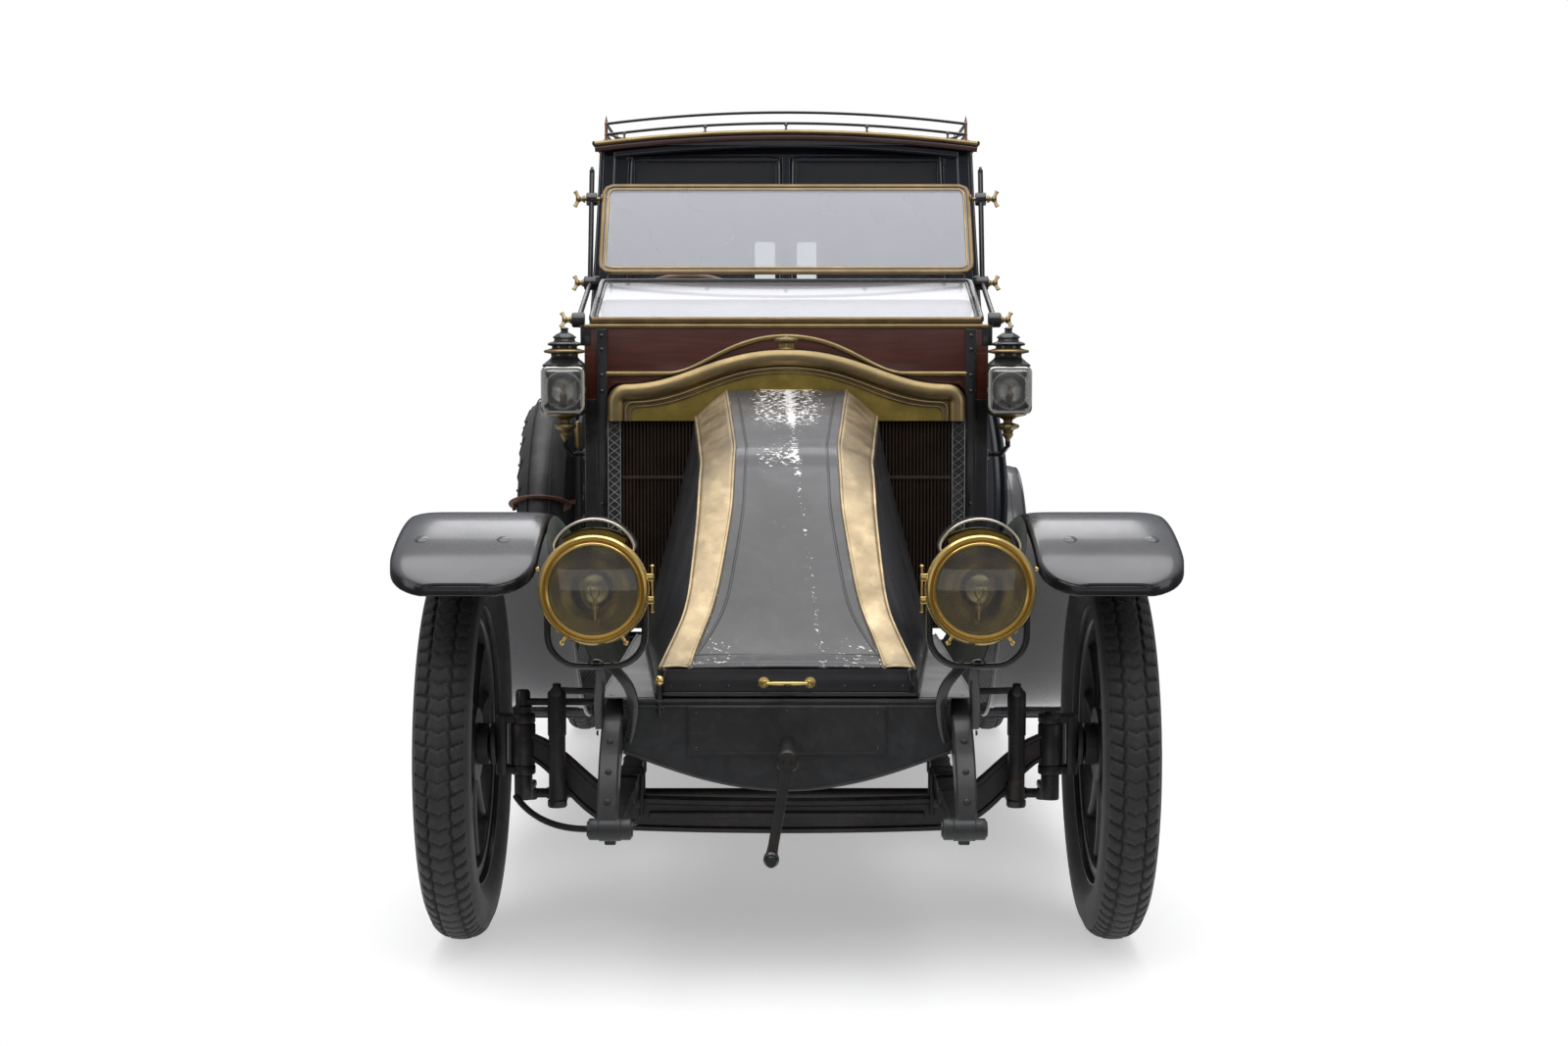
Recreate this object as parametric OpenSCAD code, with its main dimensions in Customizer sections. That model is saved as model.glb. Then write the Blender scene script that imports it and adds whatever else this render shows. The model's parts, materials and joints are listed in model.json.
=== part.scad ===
// Brass era town car: an open driver's seat, a closed cab, a coal-scuttle bonnet in front
// of a dashboard radiator, wooden wheels and a folding windscreen.
// Millimetres. The drawing frame has y = 0 at the front axle, y rearwards, x = 0 on the
// centre line, +x on the car's left hand, z = 0 on the ground. set_down() moves every node
// so that the origin is on the ground under the middle of the whole car.

/* [Wheels] */
// Distance between the front and rear axles
wheelbase = 3050; // [2520:10:3700]
// Distance between the wheel centres of one axle
track = 1400; // [1300:5:1690]
// Outside diameter of a tyre
tyre_d = 840; // [760:5:900]
// Width of a tyre
tyre_w = 120; // [100:1:145]
// Outside diameter of the wooden felloe and its steel rim
rim_d = 612; // [560:2:640]
// Number of wooden spokes in a wheel
spokes = 12; // [8:1:14]
// Reach of the hub cap outside the wheel's middle plane
hub_reach = 115; // [100:1:138]

/* [Chassis] */
// Width over the outsides of the side rails
frame_w = 730; // [700:2:760]
// Width of one side rail
rail_w = 40; // [32:1:48]
// Height of one side rail
rail_h = 100; // [84:1:120]
// Height of the top of the rails
frame_top = 580; // [575:1:600]
// Distance from the kingpin's axis to the wheel's middle plane
kingpin_offset = 125; // [115:1:150]
// Radius of a kingpin
kingpin_r = 12; // [10:0.5:14]
// Radius of the stub axles that the wheels turn on
stub_r = 16; // [13:0.5:19]

/* [Bonnet and radiator] */
// Half width of the bonnet's foot at its front edge
bonnet_front_half = 257; // [214:1:258]
// Half width of the bonnet's foot at its rear edge
bonnet_rear_half = 355; // [300:1:360]
// Height of the bonnet's hinge line
bonnet_hinge_z = 1186; // [1150:1:1210]
// Width of the radiator
radiator_w = 890; // [860:2:960]
// Height of the radiator's brass header at its middle
header_top = 1290; // [1250:1:1330]
// Thickness of the bonnet's sheet
bonnet_t = 6; // [5:0.5:7.2]

/* [Cab] */
// Length of the closed cab
cab_len = 1450; // [1300:10:1500]
// Height of the top of the roof at its middle
roof_top = 1960; // [1900:5:2300]
// Thickness of the cab's walls and doors
wall_t = 35; // [29:1:42]
// Gap round a door
door_gap = 6; // [5:0.5:8]
// Thickness of the window panes
glass_t = 5; // [4:0.5:6]

/* [Driver's place] */
// Width of the windscreen frames
screen_w = 1004; // [960:2:1030]
// Width of the driver's bench
bench_w = 1060; // [960:2:1070]
// Radius of the steering wheel
wheel_r = 195; // [165:1:220]

/* [Lamps] */
// Outside radius of a headlamp's brass rim
headlamp_r = 105; // [88:1:106]
// Distance of a headlamp's middle from the centre line
headlamp_x = 372; // [370:1:400]

/* [Hidden] */

$fn = 48;
axle_z = tyre_d / 2;
wheel_x = track / 2;
rail_out = frame_w / 2;
rail_in = rail_out - rail_w;
frame_bottom = frame_top - rail_h;
kingpin_x = wheel_x - kingpin_offset;
seam = 0.3;                 // gap between pieces of different bodies that nearly touch

// Fenders
fender_t = 6;
fender_in = wheel_x - 195;
fender_out = wheel_x + 100;
fender_crown = axle_z + 505;
rear_fender_r = tyre_d / 2 + 80;
rear_fender_in = wheel_x - 100;
wheelhouse_t = 5;
board_z = 372;              // middle height of the running board
board_t = 26;
board_in = rail_out + 75;
board_out = wheel_x + 45;
front_tail_y = 1010;        // rear end of the front fender
board_end = wheelbase - sqrt(pow(rear_fender_r + fender_t / 2, 2) - pow(axle_z - board_z + fender_t / 2, 2)) - seam;

// Overall reach, which sets the origin
crank_reach = 720;
tail_reach = wheelbase + rear_fender_r + fender_t / 2;

// Front end
apron_y = -455;
bonnet_front = -455;
bonnet_foot = frame_top + 5;
bonnet_lip_top = 642;
bonnet_rear = 695;
knee_y = 160;
knee_z = 1062;
hinge_y = bonnet_rear;
header_front = hinge_y + 14;
core_front = hinge_y + 45;
core_t = 90;
dash_y = core_front + core_t + 14;
dash_t = 25;
dash_top = 1345;
dash_half = 510;
core_bottom = frame_top + 30;
tow_z = frame_bottom + 30;
tow_r = 14;
header_foot = 1112;
header_shoulder = 1205;

// Cab
cab_rear = wheelbase + 400;
cab_front = cab_rear - cab_len;
sill_z = frame_top + 22;
roof_edge = roof_top - 44;
roof_t = 30;
corner_r = 140;
door_hinge_y = wheelbase - rear_fender_r - 10;
door_front = cab_front + 58;
door_foot = sill_z + 62;
door_head = roof_edge - 62;
hinge_out = 686;
waist_z = 1235;
window_head = roof_edge - 100;
swing_gap = 5;

// Windscreen
screen_foot_y = dash_y + 5;
screen_foot_z = dash_top + 16;
lower_len = 396;
lower_slope = 17.5;
bar = 18;
upper_lean = 35;
upper_len = 309;
pivot_y = 1287;
pivot_z = 1703;
pivot_r = 5;
pivot_down = 52;            // pivot below the top edge of the upper frame
post_x = screen_w / 2 + 24;
post_r = 7;
post_foot = [1222, 1474];
post_head = [1301, 1790];

// Driver's bench
bench_front = cab_front - 520;
bench_back = cab_front - 6;
bench_z = 905;

// Steering
steer_x = -268;
wheel_centre = [1500, 1388];
column_lean = 36;
column_r = 20;
arm_len = 150;
tie_z = 285;
tie_r = 11;
link_arm = kingpin_x - 410;
link_z_front = 492;
link_z_rear = 372;
link_r = 10;
drop_y = 830;
drop_len = 150;
drop_z = link_z_rear + drop_len;
lever_y = 1240;
lever_z = frame_top - 60;

function sub(a, b) = [for (i = [0:len(a) - 1]) a[i] - b[i]];
function unit(v) = v / norm(v);
// Points of a cubic curve through four control points
function curve(p, n) = [for (i = [0:n]) let (t = i / n, s = 1 - t)
    s * s * s * p[0] + 3 * s * s * t * p[1] + 3 * s * t * t * p[2] + t * t * t * p[3]];
function rest(a) = [for (i = [1:len(a) - 1]) a[i]];
function back(a) = [for (i = [len(a) - 1:-1:0]) a[i]];
// Points on an arc from angle a to angle b
function arc(c, r, a, b, n) = [for (i = [0:n]) let (t = a + (b - a) * i / n)
    [c[0] + r * cos(t), c[1] + r * sin(t)]];
function side_of(pts, i) = let (n = len(pts) - 1, d = unit(pts[min(n, i + 1)] - pts[max(0, i - 1)]))
    [-d[1], d[0]];
// Outline of a strip of thickness t, tapering to t2, along a line of points
function strip(pts, t, t2) = let (n = len(pts) - 1) concat(
    [for (i = [0:n]) pts[i] + side_of(pts, i) * (t + (t2 - t) * i / n) / 2],
    [for (i = [n:-1:0]) pts[i] - side_of(pts, i) * (t + (t2 - t) * i / n) / 2]);
function mix(a, b, t) = a + (b - a) * t;
// Power that makes an ellipse's corners squarer
function square_off(v) = sign(v) * pow(abs(v), 0.66);

// A profile in (y, z) pulled along x, one in (x, z) along y, and one in (x, y) along z
module pull_x(x0, x1) { translate([x0, 0, 0]) rotate([90, 0, 90]) linear_extrude(x1 - x0) children(); }
module pull_y(y0, y1) { translate([0, y1, 0]) rotate([90, 0, 0]) linear_extrude(y1 - y0) children(); }
module pull_z(z0, z1) { translate([0, 0, z0]) linear_extrude(z1 - z0) children(); }
module box(a, b) { translate(a) cube(b - a); }
module both_sides() { children(); mirror([1, 0, 0]) children(); }
module along_x(x0, x1, r, y, z) { translate([x0, y, z]) rotate([0, 90, 0]) cylinder(h = x1 - x0, r = r); }
module along_y(y0, y1, r, x, z) { translate([x, y1, z]) rotate([90, 0, 0]) cylinder(h = y1 - y0, r = r); }
// A round rod between two points
module rod(a, b, r) {
    d = b - a;
    translate(a) rotate([0, acos(d[2] / norm(d)), atan2(d[1], d[0])]) cylinder(h = norm(d), r = r, $fn = 24);
}
// A closed skin through rings of points, with flat ends
module loft(rings) {
    n = len(rings[0]);
    m = len(rings);
    polyhedron(points = [for (r = rings) each r],
        faces = concat(
            [for (i = [0:m - 2]) for (j = [0:n - 1]) let (k = (j + 1) % n) [i * n + j, (i + 1) * n + j, (i + 1) * n + k]],
            [for (i = [0:m - 2]) for (j = [0:n - 1]) let (k = (j + 1) % n) [i * n + j, (i + 1) * n + k, i * n + k]],
            [[for (j = [0:n - 1]) j]], [[for (j = [n - 1:-1:0]) (m - 1) * n + j]]), convexity = 6);
}
module set_down() { translate([0, -(tail_reach - crank_reach) / 2, 0]) children(); }

/* ---- Chassis ---- */

rail_web = rail_out - 6;    // inner face of the channel's web
// Side view of the dumb iron that curves down from the rail to the spring eye
iron_tip = [-612, 350];
module dumb_iron() {
    mid = frame_top - rail_h / 2;
    iron = curve([[-300, mid], [-440, mid], [-560, mid - 30], iron_tip], 14);
    polygon(strip(iron, rail_h, 34));
}
module frame_rails() {
    color("#1c1c1e") difference() {
        union() {
            both_sides() difference() {
                union() {
                    box([rail_in, -301, frame_bottom], [rail_out, cab_rear - 30, frame_top]);
                    pull_x(rail_in, rail_out) dumb_iron();
                    along_x(rail_in - 18, rail_out + 8, 22, iron_tip[0], iron_tip[1]);
                    // Hangers for the rear ends of the front springs
                    pull_x(rail_in + 2, rail_out - 2) polygon([[470, frame_bottom + 1],
                        [560, frame_bottom + 1], [530, 440], [500, 440]]);
                }
                // Hollow of the pressed channel, open inwards
                box([rail_in - 1, -240, frame_bottom + 6], [rail_web, cab_rear - 60, frame_top - 6]);
            }
            // Bearing boss of the drop arm
            along_x(-rail_out - 12, -rail_out, 22, drop_y, drop_z);
        }
        along_x(-rail_out - 20, -rail_web + 1, 10.06, drop_y, drop_z);
    }
}
module crossmembers() {
    tail = cab_rear - 111;
    color("#1c1c1e") difference() {
        union() {
            for (y = [700, 1660, wheelbase - 700, tail])
                box([-rail_web, y, frame_bottom + 12], [rail_web, y + 50, frame_top - 12]);
            // Towing tongue
            box([-35, tail + 49, tow_z], [35, cab_rear + 18, tow_z + 18]);
            translate([0, cab_rear + 18, tow_z]) cylinder(h = 18, r = 35);
        }
        translate([0, cab_rear + 18, tow_z - 5]) cylinder(h = 30, r = tow_r);
        // Way through for the clutch shaft's casing and the torque tube
        along_y(690, 760, 60.3, 0, 490);
        along_y(1650, 1720, 36, 0, 467.2);
    }
}

// Half of a leaf pack: each leaf is a curved strip, shorter than the one above it
module leaf_pack(front, seat, rear, leaves, t) {
    for (i = [0:leaves - 1]) {
        f = 1 - i / (leaves + 0.6);
        a = mix(seat, front, f);
        b = mix(seat, rear, f);
        polygon(strip(concat(
            curve([[a[0], mix(seat[1], front[1], f * f) - i * t], [mix(a[0], seat[0], 0.5), mix(seat[1], front[1], f * f * 0.25) - i * t], [mix(seat[0], a[0], 0.2), seat[1] - i * t], [seat[0], seat[1] - i * t]], 6),
            rest(curve([[seat[0], seat[1] - i * t], [mix(seat[0], b[0], 0.2), seat[1] - i * t], [mix(b[0], seat[0], 0.5), mix(seat[1], rear[1], f * f * 0.25) - i * t], [b[0], mix(seat[1], rear[1], f * f) - i * t]], 6))), t + 0.4, t + 0.4));
    }
}
spring_w = 45;
axle_top = 305;
module front_springs() {
    color("#232325") both_sides() {
        pull_x(rail_in - 4, rail_in - 4 + spring_w)
            leaf_pack([iron_tip[0] + 22.4, iron_tip[1]], [0, axle_top + 46], [515, 400], 6, 8);
        // Shackle from the spring's rear end to the hanger
        box([rail_in + 6, 500, 396], [rail_out - 6, 530, 439.7]);
    }
}
rear_spring_x = rail_out + 40;
module rear_springs() {
    seat = [wheelbase, axle_z + 88];
    color("#232325") both_sides() {
        pull_x(rear_spring_x, rear_spring_x + spring_w)
            leaf_pack([wheelbase - 560, 530], seat, [wheelbase + 440, 520], 7, 7);
        // Quarter elliptic above, from the rail's end down to the shackle
        pull_x(rear_spring_x, rear_spring_x + spring_w)
            polygon(strip(curve([[wheelbase + 60, frame_top - 34], [wheelbase + 240, frame_top - 16], [wheelbase + 360, frame_top - 18], [wheelbase + 442, frame_top - 36]], 8), 26, 10));
        box([rear_spring_x + 6, wheelbase + 426, 516], [rear_spring_x + spring_w - 6, wheelbase + 446, frame_top - 40]);
        // Brackets that carry the spring on the rail's outer face
        box([rail_out, wheelbase + 60, frame_bottom + 50], [rear_spring_x, wheelbase + 200, frame_top - 8]);
        box([rail_out, wheelbase - 590, 515], [rear_spring_x + spring_w, wheelbase - 545, frame_top - 8]);
        // Pad on the axle tube
        box([rear_spring_x, wheelbase - 45, axle_z + 38.3], [rear_spring_x + spring_w, wheelbase + 45, axle_z + 48]);
    }
}

// Front axle: a dropped beam with a boss at each end for the kingpin
boss_h = 90;
module front_axle() {
    beam = concat([[0, 268]], curve([[330, 268], [440, 268], [480, 400], [kingpin_x, axle_z]], 10));
    color("#161617") {
        difference() {
            union() {
                both_sides() {
                    pull_y(-24, 24) polygon(strip(beam, 70, 50));
                    translate([kingpin_x, 0, axle_z - boss_h / 2]) cylinder(h = boss_h, r = 27);
                    // Spring seat
                    box([rail_in - 8, -40, axle_top - 20], [rail_in + spring_w, 40, axle_top + 6]);
                    // Damper tube standing on the beam
                    translate([kingpin_x - 82, -82, 300]) cylinder(h = 256, r = 19);
                    box([kingpin_x - 100, -90, 300], [kingpin_x - 64, 24, 340]);
                    box([rail_out, -90, 528], [kingpin_x - 82, -74, 546]);
                }
            }
            both_sides() {
                // Kingpin bore and the recesses of the I section
                translate([kingpin_x, 0, axle_z - boss_h]) cylinder(h = 2 * boss_h, r = kingpin_r + 0.05);
                box([-1, -25, 250], [rail_in - 20, -14, 286]);
                box([-1, 14, 250], [rail_in - 20, 25, 286]);
                // Flat top of the spring seat
                box([rail_in - 9, -41, axle_top + 1.5], [rail_in + spring_w + 1, 41, axle_top + 14]);
            }
        }
    }
}

// Rear axle: bevel box and tubes, brake plates, and the torque tube to the gearbox
gearbox_rear = 1600;
module rear_axle() {
    tube = wheel_x - 62;
    stub = wheel_x + hub_reach - 22;
    half = [[stub_r, stub], [stub_r, tube], [38, tube], [38, 190], [60, 165], [74, 110], [118, 80], [135, 40]];
    color("#1a1a1b") {
        translate([0, wheelbase, axle_z]) rotate([0, 90, 0]) rotate_extrude($fn = 64)
            polygon(concat([[0, stub]], half, [for (i = [len(half) - 1:-1:0]) [half[i][0], -half[i][1]]], [[0, -stub]]));
        rod([0, gearbox_rear + seam + 1.2, 470], [0, wheelbase - 60, axle_z + 3], 34);
    }
}

module engine_block() {
    color("#3a3d3c") box([-150, 110, frame_bottom - 40], [150, 640, 940]);
    color("#3a3d3c") both_sides() box([150, 260, frame_bottom + 20], [rail_web, 320, frame_top - 20]);
}
module gearbox() {
    color("#3a3d3c") {
        box([-130, 1180, 400], [130, gearbox_rear, 570]);
        along_y(642, 1180, 60, 0, 490);
        both_sides() box([130, 1300, 500], [rail_web, 1360, 560]);
    }
}

// Gravel apron: a front sheet between the dumb irons and the pan under the engine
module front_apron() {
    half = rail_in - seam;
    belly = 397;
    color("#202022") {
        pull_y(apron_y, apron_y + 5) polygon(concat(
            [[-half, frame_top]], [[half, frame_top]],
            curve([[half, 470], [half - 60, 455], [150, belly], [0, belly]], 8),
            rest(curve([[0, belly], [-150, belly], [-half + 60, 455], [-half, 470]], 8))));
        // Shelf behind the sheet, in front of the bonnet
        box([-half, apron_y + 5, frame_top - 6], [half, -300, frame_top]);
        // Pan
        difference() {
            pull_y(apron_y + 5, 100) polygon(concat(
                curve([[half, 482], [half - 60, 455], [150, belly], [0, belly]], 8),
                rest(curve([[0, belly], [-150, belly], [-half + 60, 455], [-half, 482]], 8)),
                curve([[-half + 4, 486], [-half + 62, 460], [-150, belly + 5], [0, belly + 5]], 8),
                rest(curve([[0, belly + 5], [150, belly + 5], [half - 62, 460], [half - 4, 486]], 8))));
        }
    }
}
module number_plate() {
    color("#151516") box([-198, apron_y - 5, 468], [198, apron_y, 566]);
}

/* ---- Bonnet, radiator and dashboard ---- */

// Half width of the flat top, of the chamfer's outer edge and the height of the top along y
function slope_t(y) = (y - bonnet_front) / (knee_y - bonnet_front);
face_line = concat(
    curve([[bonnet_front, bonnet_lip_top], [-290, 664], [-90, 1010], [knee_y, knee_z]], 14),
    rest(curve([[knee_y, knee_z], [330, 1098], [520, 1160], [bonnet_rear, bonnet_hinge_z]], 6)));
function bonnet_inner(y) = y < knee_y
    ? mix(mix(176, 112, min(1, slope_t(y) * 1.25)), 117, slope_t(y))
    : mix(117, 149, (y - knee_y) / (bonnet_rear - knee_y));
function bonnet_outer(y) = y < knee_y
    ? mix(bonnet_front_half, 190, pow(slope_t(y), 0.8))
    : mix(190, 224, (y - knee_y) / (bonnet_rear - knee_y));
function bonnet_drop(y) = y < knee_y
    ? mix(1.5, 40, pow(slope_t(y), 1.6))
    : mix(40, 64, (y - knee_y) / (bonnet_rear - knee_y));
function bonnet_foot_half(y) = mix(bonnet_front_half + 1, bonnet_rear_half,
    (y - bonnet_front) / (bonnet_rear - bonnet_front));
function bonnet_ring(y, z, d, foot) = let (
        a = bonnet_inner(y) - d * 0.6, b = bonnet_outer(y) - d, c = bonnet_foot_half(y) - d,
        drop = bonnet_drop(y))
    [[-c, y, foot], [-b, y, z - drop - d], [-a, y, z - d], [a, y, z - d], [b, y, z - drop - d], [c, y, foot]];
module bonnet() {
    outer = [for (p = face_line) bonnet_ring(p[0], p[1], 0, bonnet_foot)];
    inner = concat([for (p = face_line) if (p[0] > bonnet_front + 30) bonnet_ring(p[0], p[1] , bonnet_t, bonnet_foot - 10)],
        [bonnet_ring(bonnet_rear + 5, bonnet_hinge_z, bonnet_t, bonnet_foot - 10)]);
    color("#3b3b3f") difference() {
        loft(outer);
        loft(inner);
        box([-bonnet_front_half + 6, bonnet_front + 6, bonnet_foot - 10], [bonnet_front_half - 6, bonnet_front + 60, bonnet_foot + 40]);
    }
    // Barrel of the hinge across the back
    color("goldenrod") along_x(-66, 66, 6, hinge_y, bonnet_hinge_z);
    // Lifting handle
    color("goldenrod") {
        along_x(-48, 48, 6, bonnet_front - 20, 613);
        both_sides() along_y(bonnet_front - 20, bonnet_front + 0.5, 5, 42, 613);
    }
}

module radiator() {
    half = radiator_w / 2;
    color("#2c241f") {
        box([-half, core_front, core_bottom], [half, core_front + core_t, header_foot]);
        // Feet on the rails
        both_sides() box([rail_in, core_front + 10, frame_top], [rail_out, core_front + 70, core_bottom]);
    }
}
// Outline of the header: level shoulders and an arched middle
function header_arch(drop, half, top, shoulder) = concat(
    curve([[half, shoulder - drop], [half * 0.62, shoulder - drop], [half * 0.45, top - drop], [0, top - drop]], 10),
    rest(curve([[0, top - drop], [-half * 0.45, top - drop], [-half * 0.62, shoulder - drop], [-half, shoulder - drop]], 10)));
module radiator_header() {
    half = radiator_w / 2;
    color("#a8863c") {
        difference() {
            pull_y(header_front, core_front + core_t) polygon(concat(
                [[half, header_foot]], header_arch(0, half, header_top, header_shoulder), [[-half, header_foot]]));
            // Recessed front panel under the rolled edge
            pull_y(header_front - 1, header_front + 22) polygon(concat(
                [[half - 44, header_foot - 1]], header_arch(44, half - 44, header_top, header_shoulder), [[-half + 44, header_foot - 1]]));
        }
        // Fixed leaf of the bonnet's hinge
        box([-64, hinge_y + 6.3, bonnet_hinge_z - 12], [64, header_front + 24, bonnet_hinge_z + 4]);
        // Filler cap
        translate([0, core_front + 20, header_top - 4]) cylinder(h = 26, r = 20);
        translate([0, core_front + 20, header_top + 22]) cylinder(h = 8, r = 27);
    }
}
module dashboard() {
    color("#4a1c10") box([-dash_half, dash_y, frame_top + 3], [dash_half, dash_y + dash_t, dash_top]);
    // Straps that tie the dashboard to the radiator
    color("#1a1a1c") both_sides() {
        box([dash_half - 56, dash_y - 6, frame_top + 3], [dash_half - 34, dash_y, dash_top - 6]);
        box([radiator_w / 2 - 6, core_front + core_t, 640], [radiator_w / 2 + 12, dash_y - 6, 668]);
        box([radiator_w / 2 - 6, core_front + core_t, 1060], [radiator_w / 2 + 12, dash_y - 6, 1088]);
        // Feet on the rails
        box([rail_in, dash_y + dash_t, frame_top + 0], [rail_out, dash_y + dash_t + 40, frame_top + 3]);
        box([rail_in, dash_y, frame_top], [rail_out, dash_y + dash_t, frame_top + 3]);
    }
}

/* ---- Windscreen ---- */

module frame_ring(half, length, thick, edge) {
    difference() {
        box([-half, 0, -thick / 2], [half, length, thick / 2]);
        box([-half + edge, edge, -thick], [half - edge, length - edge, thick]);
    }
}
module lower_place() { translate([0, screen_foot_y, screen_foot_z]) rotate([lower_slope, 0, 0]) children(); }
module lower_windscreen() {
    color("#7a6334") {
        lower_place() frame_ring(screen_w / 2, lower_len, bar, bar);
        // Channel along the top of the dashboard
        box([-dash_half, dash_y - 4, dash_top], [dash_half, dash_y + dash_t, dash_top + 9]);
    }
}
// The upper frame hangs from its pivots, so its own zero is at the pivot line
module upper_place() { translate([0, pivot_y, pivot_z]) rotate([90 - upper_lean, 0, 0]) children(); }
module upper_windscreen() {
    color("#7a6334") upper_place() {
        translate([0, pivot_down - upper_len, 0]) frame_ring(screen_w / 2, upper_len, bar, bar);
        both_sides() translate([screen_w / 2, 0, 0]) rotate([0, 90, 0]) cylinder(h = post_x - screen_w / 2 + 30, r = pivot_r);
    }
    // Wing nuts
    color("#a8863c") both_sides() {
        along_x(post_x + 18, post_x + 44, 9, pivot_y, pivot_z);
        box([post_x + 44, pivot_y - 5, pivot_z - 22], [post_x + 50, pivot_y + 5, pivot_z + 22]);
    }
}
module upper_glass() {
    color([0.7, 0.75, 0.8, 0.4]) upper_place()
        box([-screen_w / 2 + bar, pivot_down - upper_len + bar, -glass_t / 2], [screen_w / 2 - bar, pivot_down - bar, glass_t / 2]);
}
function on_post(z) = mix(post_foot[0], post_head[0], (z - post_foot[1]) / (post_head[1] - post_foot[1]));
module windscreen_posts() {
    color("#1a1a1c") both_sides() {
        difference() {
            union() {
                rod([post_x, post_foot[0], post_foot[1]], [post_x, post_head[0], post_head[1]], post_r);
                // Collar that the upper pivot turns in
                along_x(post_x - 14, post_x + 14, 17, pivot_y, pivot_z);
            }
            along_x(post_x - 30, post_x + 30, pivot_r + 0.06, pivot_y, pivot_z);
        }
        // Side arm down to the dashboard, and its two clamps
        rod([post_x, dash_y + 12, screen_foot_z + 2], [post_x, post_foot[0], post_foot[1]], post_r);
        along_x(screen_w / 2 + 0.1, post_x + 16, 17, post_foot[0], post_foot[1]);
        along_x(dash_half + seam, post_x + 20, 19, dash_y + 14, screen_foot_z + 4);
        along_x(post_x + 16, post_x + 42, 9, post_foot[0], post_foot[1]);
        box([post_x + 42, post_foot[0] - 5, post_foot[1] - 22], [post_x + 48, post_foot[0] + 5, post_foot[1] + 22]);
        along_x(post_x + 20, post_x + 46, 9, dash_y + 14, screen_foot_z + 4);
        box([post_x + 46, dash_y + 9, screen_foot_z - 18], [post_x + 52, dash_y + 19, screen_foot_z + 26]);
    }
}

/* ---- Driver's place ---- */

module column_place() { translate([steer_x, wheel_centre[0], wheel_centre[1]]) rotate([-column_lean, 0, 0]) children(); }
column_len = 1020;
module steering_column() {
    color("#1c1c1e") {
        difference() {
            column_place() translate([0, 0, -column_len]) cylinder(h = column_len - 32, r = column_r);
            column_place() translate([0, 0, -100]) cylinder(h = 80, r = 9.1);
        }
    }
    // Steering box on the inside of the right rail
    color("#2b2c2c") box([-rail_web, drop_y - 10, frame_bottom + 14], [steer_x + 34, drop_y + 130, frame_top - 8]);
}
module steering_wheel() {
    color("#3b1d10") column_place() rotate_extrude($fn = 96) translate([wheel_r - 13, 0]) circle(r = 13, $fn = 24);
    color("#a8863c") column_place() {
        translate([0, 0, -29]) cylinder(h = 40, r = 26);
        translate([0, 0, -95]) cylinder(h = 70, r = 9);
        for (a = [45:90:315]) rotate([0, 0, a]) translate([15, 0, -4]) rotate([0, 90, 0]) cylinder(h = wheel_r - 32, r = 7);
    }
}
module control_levers() {
    color("#2a2a2c") {
        along_x(-bench_w / 2 - 30, -rail_out, 14, lever_y, lever_z);
        rod([-bench_w / 2 - 12, lever_y, lever_z], [-bench_w / 2 - 12, 1330, 1120], 8);
        rod([-bench_w / 2 - 28, lever_y, lever_z], [-bench_w / 2 - 28, 1200, 1060], 8);
    }
    color("#a8863c") {
        translate([-bench_w / 2 - 12, 1330, 1120]) sphere(r = 15);
        translate([-bench_w / 2 - 28, 1200, 1060]) sphere(r = 13);
    }
}
module floor_board(y0, y1, half) { box([-half, y0, frame_top], [half, y1, sill_z]); }
module floor() {
    arch = sqrt(pow(rear_fender_r + 12, 2) - pow(frame_top - axle_z, 2));
    foot = dash_y + dash_t;
    color("#3d2f22") difference() {
        union() {
            floor_board(foot + 40, cab_front, 520);
            floor_board(cab_front, wheelbase - arch, cab_side[0][0] - 2);
            floor_board(wheelbase - arch, cab_rear - 60, rear_fender_in - wheelhouse_t - 35);
            floor_board(cab_rear - 60, cab_rear - 2, 470);
            // Sloping toe board
            pull_x(-500, 500) polygon([[foot, 780], [foot, 760], [foot + 181, sill_z - 1], [foot + 205, sill_z - 1]]);
        }
        column_place() translate([0, 0, -column_len - 50]) cylinder(h = column_len, r = column_r + 6);
    }
}
// Driver's seat: a box, and side panels that rise to arm rests
seat_side_t = 22;
module seat_box() {
    half = bench_w / 2;
    color("#17181b") {
        box([-half + seat_side_t, bench_front + 30, sill_z], [half - seat_side_t, bench_back, bench_z]);
        both_sides() pull_x(half - seat_side_t, half) polygon(concat(
            [[bench_back, sill_z]],
            [[bench_back, 1290]],
            curve([[bench_back - 60, 1290], [bench_back - 200, 1250], [bench_back - 200, 1120], [bench_back - 380, 1100]], 8),
            curve([[bench_front + 80, 1090], [bench_front, 1060], [bench_front, 980], [bench_front + 20, sill_z]], 6)));
    }
}
module driver_seat() {
    half = bench_w / 2 - seat_side_t - 3;
    color("#1d1a19") {
        box([-half, bench_front + 20, bench_z], [half, bench_back - 120, bench_z + 120]);
        pull_x(-half, half) polygon([[bench_back - 118, bench_z], [bench_back - 2, bench_z], [bench_back - 2, 1400], [bench_back - 62, 1400]]);
    }
}

/* ---- Cab ---- */

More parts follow.
